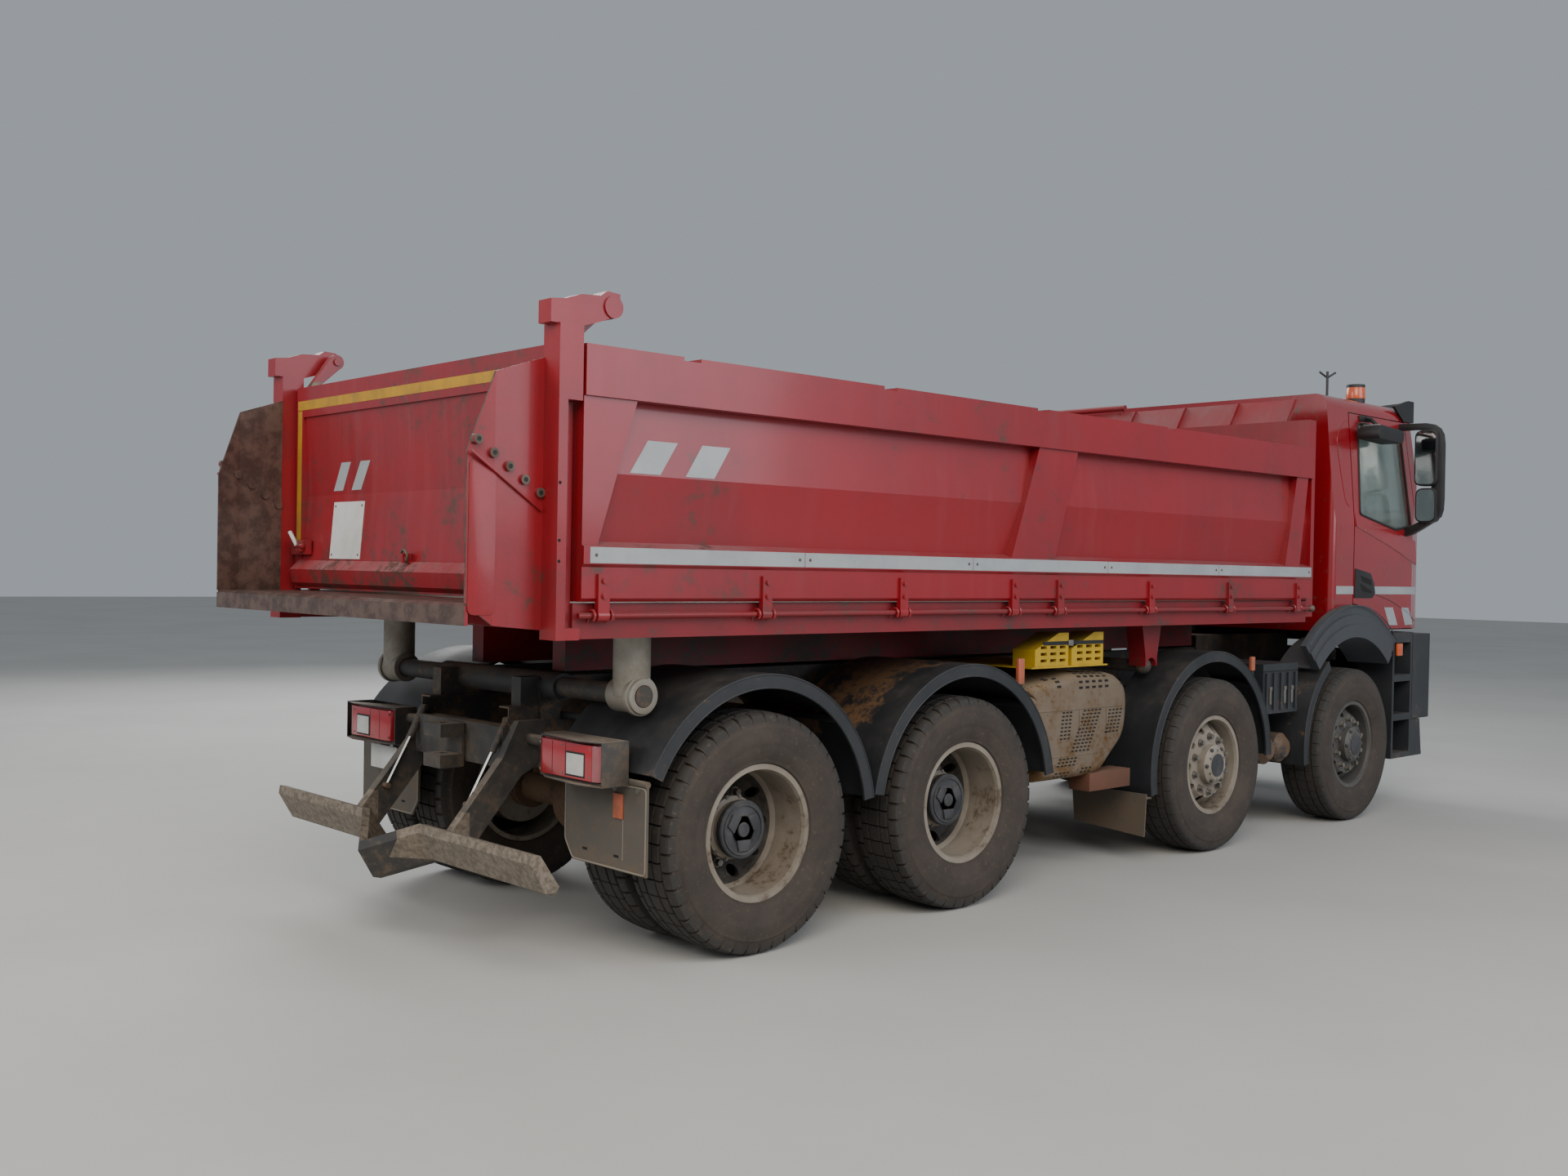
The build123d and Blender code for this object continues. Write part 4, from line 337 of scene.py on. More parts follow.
@dataclass(frozen=True)
class Clear(Finish):
    """Glass: tinted, with a faint film of dust that dulls it in patches."""

    colour: str
    roughness: float = 0.06
    ior: float = 1.5
    through: float = 0.85

    def dress(self, tree: NodeTree, shader: Node, where: NodeSocket) -> None:
        """Sets the tint and the uneven film.

        Args:
            tree: the material's tree.
            shader: its surface shader.
            where: the position that patterns read.
        """
        film = add_node(tree, "ShaderNodeTexNoise", inputs={"Vector": where, "Scale": 5.0, "Detail": 8.0}).outputs[0]
        rough = add_node(tree, "ShaderNodeMapRange", inputs={
            "Value": film, "From Min": 0.4, "From Max": 0.8, "To Min": self.roughness, "To Max": self.roughness + 0.25})
        tree.links.new(rough.outputs[0], shader.inputs["Roughness"])
        shader.inputs["Base Color"].default_value = linear(self.colour)
        shader.inputs["IOR"].default_value = self.ior
        shader.inputs["Transmission Weight"].default_value = self.through


# Crimson two-pack coat sprayed on steel and left outdoors: a hazy gloss, with a little dust run down by rain
BED_PAINT = Weathered(
    "Sprayed crimson two-pack paint on steel bed", "8a0e1b", "790d18", gloss=0.36, coat=0.3, dust="8a6a6a",
    film=0.07, settled=0.35, streaks=0.12, mud="4c3027", mud_low_z=1.2, mud_high_z=1.75,
    splash=0.2, rusting=0.04, blotch=0.6, grain=0.02, grain_depth=0.0005)
# The same coat where earth slides over it: scoured to brown steel inside the bed
BED_INSIDE = Mask((-3.8265, -0.1, 1.535), (1.99, 1.1668, 2.5))
GATE_PAINT = Weathered(
    "Sprayed crimson two-pack paint on steel gate", "8a0e1b", "770d18", gloss=0.38, coat=0.25, dust="8a6a6a",
    settled=0.6, streaks=0.14, mud="4c3027", mud_low_z=1.5, mud_high_z=1.95, splash=0.42, rusting=0.08,
    blotch=0.4, grain=0.02, grain_depth=0.0006, patch_box=Mask((-3.8265, -0.1, 1.5), (-3.7, 1.2, 2.6)))
BOARD_PAINT = Weathered(
    "Sprayed crimson two-pack paint on pressed side board", "8a0e1b", "7b0e19", gloss=0.33, coat=0.35, dust="8a6a6a",
    film=0.06, settled=0.35, streaks=0.1, mud="4c3027", mud_low_z=1.45, mud_high_z=1.8,
    splash=0.16, rusting=0.02, blotch=0.7, grain=0.02, grain_depth=0.0005, patch_box=BED_INSIDE)
FLOOR_PAINT = Weathered(
    "Sprayed crimson two-pack paint over scoured bed floor", "7c0d19", "690c17", gloss=0.45, coat=0.15, dust="6f5550",
    film=0.12, mud="43322a", mud_low_z=1.1, mud_high_z=1.5, splash=0.4, rusting=0.08, blotch=0.4,
    grain=0.012, grain_depth=0.0008, patch_box=BED_INSIDE)
# Chute and the inner faces of its wings, scoured brown by what slides out
REAR_PAINT = Weathered(
    "Sprayed crimson two-pack paint over scoured chute", "8a0e1b", "770d18", gloss=0.38, coat=0.25, dust="8a6a6a",
    film=0.08, settled=0.35, streaks=0.12, mud="4c3027", mud_low_z=1.3, mud_high_z=1.7, splash=0.2,
    rusting=0.06, blotch=0.5, grain=0.012, grain_depth=0.0008,
    patch_box=Mask((-4.4, -0.1, 1.3), (-3.946, 1.1735, 2.6), True), patch_colour="43322d", patch_tone="5e4a42",
    patch_metallic=0.2)
WALL_PAINT = Weathered(
    "Sprayed crimson two-pack paint on front wall", "8a0e1b", "790d18", gloss=0.4, coat=0.2, dust="8a6a6a",
    film=0.12, streaks=0.15, rusting=0.06, blotch=0.5, grain=0.02, grain_depth=0.0006,
    patch_box=Mask((1.9, -0.1, 1.5), (1.9995, 1.17, 2.5)))
# Baked gloss coat on the cab, kept cleaner than the bed
CAB_PAINT = Weathered(
    "Baked crimson gloss paint on cab", "8f0d1a", "820c18", gloss=0.22, coat=0.7, dust="84625f", film=0.04,
    settled=0.22, streaks=0.06, mud="5a463a", mud_low_z=1.3, mud_high_z=1.6, splash=0.12, blotch=0.8,
    grain=0.03, grain_depth=0.0002)
# Electro-dipped frame coat under road film
FRAME_PAINT = Weathered(
    "Dipped dark grey frame paint on steel", "2a2d30", "35332f", gloss=0.55, dust="5a5046", film=0.25,
    settled=0.55, mud="5d4936", mud_low_z=0.5, mud_high_z=1.3, splash=0.55, rusting=0.25, blotch=0.22,
    grain=0.006, grain_depth=0.0006)
AXLE_IRON = Weathered(
    "Painted cast iron axle", "26241f", "322c25", gloss=0.7, dust="5c4c3c", film=0.35, settled=0.5,
    mud="5d4632", mud_low_z=0.2, mud_high_z=1.0, splash=0.8, rusting=0.3, blotch=0.18, grain_depth=0.001)
SPRING_STEEL = Weathered(
    "Rolled spring steel with scale", "2b2622", "3b2f27", gloss=0.6, metallic=0.4, dust="64503c", film=0.3,
    splash=0.5, rusting=0.5, blotch=0.15)
# Moulded polypropylene greys outdoors and holds dried mud on its crown
FENDER_PLASTIC = Weathered(
    "Moulded dark grey polypropylene fender", "1d2024", "25282c", gloss=0.48, dust="625b52", film=0.08,
    settled=0.2, mud="6a5038", splash=0.42, mud_box=Mask((-2.35, -0.1, 0.95), (-1.3, 1.07, 1.35)),
    blotch=0.3, streaks=0.12, grain=0.003)
ARCH_PLASTIC = Weathered(
    "Moulded mid-grey polyurethane arch", "3d4146", "35383d", gloss=0.45, dust="6d665e", settled=0.25,
    mud="5b4938", splash=0.2, blotch=0.5, streaks=0.1, grain=0.0025)
BUMPER_PLASTIC = Weathered(
    "Moulded charcoal polypropylene bumper", "24272b", "2c2f33", gloss=0.5, dust="625b53", settled=0.3,
    splash=0.15, blotch=0.4, streaks=0.1, grain=0.003)
BLACK_PLASTIC = Weathered(
    "Moulded black grained plastic", "17181a", "1f2022", gloss=0.45, dust="5f574d", settled=0.3, blotch=0.3,
    grain=0.0025)
BOX_PLASTIC = Weathered(
    "Moulded dark grey battery cover", "24282c", "2c3035", gloss=0.42, dust="5c554d", film=0.12,
    settled=0.3, splash=0.15, blotch=0.25, grain=0.003)
FLAP_RUBBER = Weathered(
    "Pressed sheet rubber flap", "4a4641", "3a3733", gloss=0.7, dust="7a7063", film=0.3, settled=0.3,
    mud="5d5042", mud_low_z=0.2, mud_high_z=0.9, splash=0.4, blotch=0.3)
SEAL_RUBBER = Weathered("Extruded rubber seal", "131313", "1c1b1a", gloss=0.6, dust="4c463e", film=0.12)
BUMPER_STEEL = Weathered(
    "Powder-coated rear steelwork, the beam under dried mud", "2a2a2b", "383531", gloss=0.55, dust="7b7063",
    film=0.18, settled=0.75, mud="54483b", mud_low_z=0.4, mud_high_z=1.1, splash=0.35,
    rusting=0.15, blotch=0.2, grain=0.005, grain_depth=0.0008,
    patch_box=Mask((-4.0, -0.1, 0.4), (-3.8, 1.2, 0.62)), patch_colour="7b7062", patch_tone="5b5145", patch_metallic=0.0)
TANK_ALLOY = Weathered(
    "Rolled aluminium tank", "b4b6b6", "a3a4a3", gloss=0.33, metallic=1.0, dust="8f867a", film=0.12,
    settled=0.35, splash=0.1, blotch=0.5, streaks=0.15, grain=0.03, grain_depth=0.0002)
SHIELD_STEEL = Weathered(
    "Pressed heat-stained steel shield", "7b6e60", "5f4e3e", gloss=0.55, metallic=0.55, dust="94836b",
    film=0.3, mud="6e5334", mud_low_z=0.4, splash=0.45, rusting=0.4, blotch=0.16, grain=0.006)
RAM_STEEL = Weathered(
    "Hard-chromed ram tube", "9a9a98", "8b8b88", gloss=0.2, metallic=1.0, dust="7c7468", film=0.05,
    settled=0.1, blotch=0.3, grain=0.01, grain_depth=0.0001)
BARE_STEEL = Weathered(
    "Cast steel rubbed bare", "6d665e", "55493f", gloss=0.5, metallic=0.7, dust="7b6a57", film=0.25,
    rusting=0.5, blotch=0.12, grain=0.005)
ZINC = Weathered(
    "Zinc-plated fastener", "8f8d88", "77736c", gloss=0.4, metallic=0.85, dust="7c7062", film=0.25,
    rusting=0.3, blotch=0.05, grain=0.002)
# The box darkens the recessed discs of the rear wheels: part brake dust and dirt, part painted shade
WHEEL_SILVER = Weathered(
    "Silver wheel enamel dulled by brake dust", "8b8378", "776e62", gloss=0.48, metallic=0.4, dust="6f6455",
    film=0.28, settled=0.15, mud="55473a", mud_low_z=0.2, mud_high_z=0.9, splash=0.2,
    rusting=0.08, patch_box=Mask((-3.3, 0.8, 0.2), (-0.9, 1.0, 0.9)), patch_colour="45403a", patch_tone="322e2a",
    patch_metallic=0.2)
# Darker for the first axle's rims: road film, and painted shade for their barrels in shadow
WHEEL_FILMED_SHADED = Weathered(
    "Silver wheel enamel under road film", "5c5b59", "4a4846", gloss=0.5, metallic=0.3, dust="59524a",
    film=0.22, settled=0.15, rusting=0.05, blotch=0.3)
HUB_IRON = Weathered(
    "Painted hub casting with road film", "34363a", "43454a", gloss=0.55, metallic=0.2, dust="6b655c",
    film=0.18, rusting=0.2, blotch=0.1, grain_depth=0.0008)
CHOCK_YELLOW = Weathered(
    "Injection-moulded yellow polyethylene", "b8960f", "a3850e", gloss=0.5, dust="7d6c40", film=0.15,
    settled=0.3, mud="5a4a2b", splash=0.15, mud_low_z=0.6, blotch=0.15)
SEAT_CLOTH = Weathered(
    "Woven grey seat cloth", "2b2d31", "36383d", gloss=0.9, film=0.05, blotch=0.1, grain=0.0015,
    grain_depth=0.0006)
# Glass-bead sheeting: a pale grey face that stays bright where clean
TAPE_GREY = Weathered(
    "Glass-bead reflective sheeting, grey", "9da2a4", "90959a", gloss=0.35, dust="776f68", film=0.12,
    streaks=0.15, blotch=0.3, grain=0.002, grain_depth=0.0001)
TAPE_YELLOW = Weathered(
    "Glass-bead reflective sheeting, yellow", "b98a17", "a67c19", gloss=0.4, dust="6e5b3d", film=0.25,
    streaks=0.3, rusting=0.15, blotch=0.15, grain=0.002)
PLATE_WHITE = Weathered(
    "Screen-coated blank aluminium sign", "c9cac8", "bdbdb8", gloss=0.4, dust="8b8378", film=0.15,
    streaks=0.25, blotch=0.2, grain_depth=0.0001)
LENS_RED = Weathered(
    "Moulded red acrylic lamp lens", "a80f22", "940d1d", gloss=0.15, coat=0.8, dust="8d6a5f", film=0.12,
    blotch=0.12, patch_box=Mask((3.5, -0.1, 0.7), (4.4, 1.3, 1.3)), patch_colour="a9adaf", patch_tone="989c9f",
    patch_metallic=0.5)
# Red acrylic that shows the pale reflector behind it
LENS_PALE = Weathered(
    "Moulded pale red acrylic side lens", "9a5058", "86434b", gloss=0.2, coat=0.7, dust="8a7168", film=0.2,
    blotch=0.1)
LENS_CLEAR = Weathered(
    "Moulded clear acrylic lamp lens", "c2c3bf", "b0b0ab", gloss=0.15, coat=0.8, dust="948a7c", film=0.12,
    blotch=0.12)
LENS_AMBER = Weathered(
    "Moulded amber acrylic lens", "d0541b", "b94a17", gloss=0.22, coat=0.6, dust="94755c", film=0.14,
    blotch=0.1)
# Sun-bleached reflectors and marker lamps, caked with road film
MARKER_AMBER = Weathered(
    "Bleached orange acrylic marker", "b0583a", "984a32", gloss=0.4, coat=0.3, dust="8a6d58", film=0.25,
    splash=0.2, blotch=0.06, grain=0.003)
COLUMN_STEEL = Weathered(
    "Galvanised steel sleeve", "8f8c84", "7c786f", gloss=0.5, metallic=0.45, dust="887c6a", film=0.3,
    rusting=0.25, blotch=0.1)
DUCT_STEEL = Weathered(
    "Heat-rusted steel duct", "6a4434", "553628", gloss=0.6, metallic=0.3, dust="7c6150", film=0.25,
    rusting=0.3, blotch=0.12)
# Paler than the flap: dust on the rubber edge and a painted highlight along the bead
FLAP_EDGE_HIGHLIGHT = Weathered(
    "Rubbed edge of pressed rubber flap", "7a736a", "6b655d", gloss=0.7, dust="8a8072", film=0.3,
    blotch=0.1)
# Near-black painted shade: it stands in for the dark inside slots, holes, recessed grips and gaps, and behind the
# grille's slats
RECESS_SHADE = Weathered(
    "Painted shade in slots, holes and recesses", "0d0c0b", "12100e", gloss=0.9, film=0.02, settled=0.1,
    blotch=0.05)
MIRROR_GLASS = Weathered(
    "Silvered mirror glass", "c9cdd0", "c2c6c9", gloss=0.03, metallic=1.0, film=0.03, settled=0.1,
    blotch=0.3, grain=0.05, grain_depth=0.00005)
CAB_GLASS = Clear("Laminated green-tinted safety glass", "b9c7c1")

NODE_FINISH: dict[str, Finish] = {
    "frame_rails": FRAME_PAINT, "tipper_subframe": FRAME_PAINT, "driveline": AXLE_IRON, "drive_axles": AXLE_IRON,
    "front_axles": AXLE_IRON, "leaf_springs": SPRING_STEEL, "fenders": FENDER_PLASTIC, "mud_flaps": FLAP_RUBBER,
    "fuel_tank": TANK_ALLOY, "silencer": SHIELD_STEEL, "battery_box": BOX_PLASTIC, "air_tanks": FRAME_PAINT,
    "wheel_chocks": CHOCK_YELLOW, "underrun_bar": BUMPER_STEEL, "front_bumper": BUMPER_PLASTIC, "lamps": LENS_RED,
    "cab_steps": BUMPER_PLASTIC, "cab_shell": CAB_PAINT, "cab_glass": CAB_GLASS, "cab_arches": ARCH_PLASTIC,
    "cab_trim": BLACK_PLASTIC, "seats": SEAT_CLOTH, "dashboard": BLACK_PLASTIC, "bed_floor": FLOOR_PAINT,
    "bed_front_wall": WALL_PAINT, "rear_frame": REAR_PAINT, "tailgate": GATE_PAINT, "hoist_barrel": FRAME_PAINT,
}
for hand, _ in SIDES:
    NODE_FINISH[f"door_{hand}"] = CAB_PAINT
    NODE_FINISH[f"door_glass_{hand}"] = CAB_GLASS
    NODE_FINISH[f"mirror_{hand}"] = BLACK_PLASTIC
    NODE_FINISH[f"side_board_{hand}"] = BOARD_PAINT
    for axle in (1, 2):
        NODE_FINISH[f"knuckle_{axle}_{hand}"] = AXLE_IRON
    for axle in (1, 2, 3, 4):
        NODE_FINISH[f"rim_{axle}_{hand}"] = WHEEL_FILMED_SHADED if axle == 1 else WHEEL_SILVER
for stage in (1, 2, 3, 4):
    NODE_FINISH[f"hoist_stage_{stage}"] = RAM_STEEL


def dress_nodes() -> None:
    """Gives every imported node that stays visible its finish."""
    for name, finish in NODE_FINISH.items():
        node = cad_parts[name]
        node.data.materials.clear()
        node.data.materials.append(finish.build())
        LOG.info("finish %s: %s", name, finish.name)


def hand_over(mesh: Mesh, work: bmesh.types.BMesh, keep_sharp: float, finish: Finish, body: str) -> Object:
    """Shades the faces, writes them into the mesh, and gives its object to a body.

    Args:
        mesh: the piece's mesh, which has its name.
        work: the faces, which are freed.
        keep_sharp: angle in degrees above which an edge shows.
        finish: what the piece is made of.
        body: the moving body that carries it.

    Returns:
        The object.
    """
    for face in work.faces:
        face.smooth = True
    for edge in work.edges:
        edge.smooth = edge.calc_face_angle(0.0) < math.radians(keep_sharp)
    work.to_mesh(mesh)
    work.free()
    mesh.materials.append(finish.build())
    made = bpy.data.objects.new(mesh.name, mesh)
    bpy.context.scene.collection.objects.link(made)
    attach(made, body)
    LOG.info("piece %s: %d faces on %s", made.name, len(mesh.polygons), body)
    return made


def outwards(side: int) -> Point:
    """Direction away from the truck's middle plane on this side."""
    return (0.0, float(side), 0.0)


def between(value: float, low: float, high: float, at_low: float, at_high: float) -> float:
    """Value on a straight line through two points."""
    return at_low + (value - low) / (high - low) * (at_high - at_low)


def rectangle(left: float, low: float, right: float, high: float) -> list[Flat]:
    """Corners of an upright rectangle."""
    return [(left, low), (right, low), (right, high), (left, high)]


def mirrored(outline: Iterable[Flat], side: int) -> list[Flat]:
    """Outline of (Y, Z) points of the left side, set on this side."""
    return [(side * y, z) for y, z in outline]


def wheel_arc(x: float, radius: float, y: float, start: float, end: float, steps: int) -> list[Point]:
    """Points on an arc round an axle at X, from one angle in degrees to another; 0 is ahead and 90 is up."""
    turns = [math.radians(start + (end - start) * step / steps) for step in range(steps + 1)]
    return [(x + radius * math.cos(turn), y, AXLE_Z + radius * math.sin(turn)) for turn in turns]


@dataclass
class Mesher:
    """Collects the faces of one piece, then turns them into an object that rides on a body."""

    name: str
    points: list[Vector] = field(default_factory=list)
    faces: list[tuple[int, ...]] = field(default_factory=list)

    def add(self, points: Iterable[Sequence[float]], faces: Iterable[Sequence[int]]) -> "Mesher":
        """Adds points and the faces between them.

        Args:
            points: places of the new points.
            faces: numbers among the new points.

        Returns:
            This collector.
        """
        start = len(self.points)
        self.points += [Vector(point) for point in points]
        self.faces += [tuple(start + place for place in face) for face in faces]
        return self

    def prism(self, outline: Sequence[Point], along: Sequence[float]) -> "Mesher":
        """Adds a closed block: an outline of points pushed along a direction.

        Args:
            outline: points of one end.
            along: offset to the other end.

        Returns:
            This collector.
        """
        near = [Vector(point) for point in outline]
        far = [point + Vector(along) for point in near]
        count = len(near)
        sides = [(place, (place + 1) % count, (place + 1) % count + count, place + count) for place in range(count)]
        return self.add(near + far, [tuple(range(count))[::-1], tuple(range(count, 2 * count)), *sides])

    def loft(self, sections: Sequence[Sequence[Point]]) -> "Mesher":
        """Adds a solid through closed sections with equal numbers of points."""
        count = len(sections[0])
        faces = [tuple(range(count))[::-1], tuple((len(sections) - 1) * count + place for place in range(count))]
        for row in range(len(sections) - 1):
            here, there = row * count, (row + 1) * count
            faces += [(here + place, here + (place + 1) % count, there + (place + 1) % count, there + place)
                      for place in range(count)]
        return self.add([point for section in sections for point in section], faces)

    def slab(self, low: Sequence[float], high: Sequence[float]) -> "Mesher":
        """Adds a block between two opposite corners, in either order."""
        (x0, x1), (y0, y1), (z0, z1) = (sorted(pair) for pair in zip(low, high))
        return self.prism([(x0, y0, z0), (x1, y0, z0), (x1, y1, z0), (x0, y1, z0)], (0, 0, z1 - z0))

    def side_plate(self, outline: Sequence[Flat], y: float, thickness: float) -> "Mesher":
        """Adds a plate in the XZ plane that reaches from y by the signed thickness."""
        return self.prism([(x, y, z) for x, z in outline], (0, thickness, 0))

    def cross_plate(self, outline: Sequence[Flat], x: float, thickness: float) -> "Mesher":
        """Adds a plate in the YZ plane that reaches from x by the signed thickness."""
        return self.prism([(x, y, z) for y, z in outline], (thickness, 0, 0))

    def pipe(self, path: Sequence[Sequence[float]], radius: float, sides: int = 12,
             closed: bool = False) -> "Mesher":
        """Adds a round bar along a path.

        Args:
            path: points of its middle line.
            radius: of the bar.
            sides: faces round it.
            closed: whether its ends meet.

        Returns:
            This collector.
        """
        line = [Vector(point) for point in path]
        count = len(line)
        rings: list[Vector] = []
        frame_up = None
        for place, point in enumerate(line):
            before = line[place - 1] if place or closed else point
            after = line[(place + 1) % count] if place + 1 < count or closed else point
            ahead = (after - before).normalized()
            if frame_up is None:
                frame_up = ahead.orthogonal().normalized()
            frame_up = (frame_up - ahead * frame_up.dot(ahead)).normalized()
            across = ahead.cross(frame_up)
            for step in range(sides):
                turn = math.tau * step / sides
                rings.append(point + radius * (math.cos(turn) * frame_up + math.sin(turn) * across))
        faces = []
        for place in range(count if closed else count - 1):
            here, there = place * sides, (place + 1) % count * sides
            faces += [(here + step, here + (step + 1) % sides, there + (step + 1) % sides, there + step)
                      for step in range(sides)]
        if not closed:
            faces += [tuple(range(sides))[::-1], tuple((count - 1) * sides + step for step in range(sides))]
        return self.add(rings, faces)

    def turned(self, profile: Sequence[Flat], centre: Sequence[float], axis: Sequence[float],
               steps: int = 32) -> "Mesher":
        """Adds a solid turned about an axis.

        Args:
            profile: (distance along the axis, radius) points, its ends on the axis or joined to each other.
            centre: where distances start.
            axis: direction of the axis.
            steps: faces round it.

        Returns:
            This collector.
        """
        ahead = Vector(axis).normalized()
        up = ahead.orthogonal().normalized()
        across = ahead.cross(up)
        count = len(profile)
        points = []
        for step in range(steps):
            turn = math.tau * step / steps
            out = math.cos(turn) * up + math.sin(turn) * across
            points += [Vector(centre) + ahead * reach + out * radius for reach, radius in profile]
        faces = []
        for step in range(steps):
            here, there = step * count, (step + 1) % steps * count
            faces += [(here + place, there + place, there + (place + 1) % count, here + (place + 1) % count)
                      for place in range(count)]
        return self.add(points, faces)

    def build(self, finish: Finish, body: str, slot: str, soften: float = 0.0,
              keep_sharp: float = 35.0) -> Object:
        """Makes the object, cleans and softens it, and hands it to its body.

        Args:
            finish: what it is made of.
            body: the moving body that carries it.
            slot: the record's material slot it belongs to; not used.
            soften: width of the bevel on its sharp edges.
            keep_sharp: angle in degrees above which an edge shows.

        Returns:
            The object.
        """
        mesh = bpy.data.meshes.new(self.name)
        mesh.from_pydata([tuple(point) for point in self.points], [], self.faces)
        work = bmesh.new()
        work.from_mesh(mesh)
        bmesh.ops.remove_doubles(work, verts=work.verts, dist=1e-5)
        bmesh.ops.dissolve_degenerate(work, edges=work.edges, dist=1e-6)
        bmesh.ops.recalc_face_normals(work, faces=work.faces)
        if soften:
            sharp = [edge for edge in work.edges if len(edge.link_faces) == 2
                     and edge.calc_face_angle(0.0) > math.radians(keep_sharp)]
            bmesh.ops.bevel(work, geom=sharp, offset=soften, segments=2, profile=0.6, affect="EDGES",
                            clamp_overlap=True)
        return hand_over(mesh, work, keep_sharp, finish, body)


@dataclass(frozen=True)
class TyreRubber(Finish):
    """Vulcanised black rubber: the flanks brown with dried mud, the running face scuffed grey, grooves packed."""

    name: str = "Vulcanised tyre rubber under dried mud"
    rubber: str = "1e1c1b"
    flank_dust: str = "4a4038"
    running_face: str = "2e2d2b"
    caked: str = "76654f"

    def dress(self, tree: NodeTree, shader: Node, where: NodeSocket) -> None:
        """Mixes dried mud over the rubber, less where the "tread" attribute marks the running face.

        Args:
            tree: the material's tree.
            shader: its surface shader.
            where: the position that patterns read.
        """
        large = add_node(tree, "ShaderNodeTexNoise", inputs={
            "Vector": where, "Scale": 4.0, "Detail": 8.0, "Roughness": 0.65}).outputs[0]
        small = add_node(tree, "ShaderNodeTexNoise", inputs={
            "Vector": where, "Scale": 45.0, "Detail": 5.0, "Roughness": 0.7}).outputs[0]
        dusty = add_node(tree, "ShaderNodeMapRange", inputs={
            "Value": large, "From Min": 0.3, "From Max": 0.68, "To Min": 0.25, "To Max": 0.8}).outputs[0]
        colour = add_node(tree, "ShaderNodeMix", {"data_type": "RGBA"}, {
            0: dusty, 6: linear(self.rubber), 7: linear(self.flank_dust)}).outputs[2]
        worn = add_node(tree, "ShaderNodeAttribute", {"attribute_name": "tread"}).outputs["Fac"]
        worn = add_node(tree, "ShaderNodeMath", {"operation": "MULTIPLY"}, {0: worn, 1: 0.8}).outputs[0]
        colour = add_node(tree, "ShaderNodeMix", {"data_type": "RGBA"}, {
            0: worn, 6: colour, 7: linear(self.running_face)}).outputs[2]
        speck = add_node(tree, "ShaderNodeMapRange", inputs={
            "Value": small, "From Min": 0.58, "From Max": 0.75, "To Max": 0.45}).outputs[0]
        colour = add_node(tree, "ShaderNodeMix", {"data_type": "RGBA"}, {
            0: speck, 6: colour, 7: linear(self.caked)}).outputs[2]
        tree.links.new(colour, shader.inputs["Base Color"])
        shader.inputs["Roughness"].default_value = 0.82
        bump = add_node(tree, "ShaderNodeBump", inputs={"Height": small, "Strength": 0.5, "Distance": 0.0015})
        tree.links.new(bump.outputs[0], shader.inputs["Normal"])


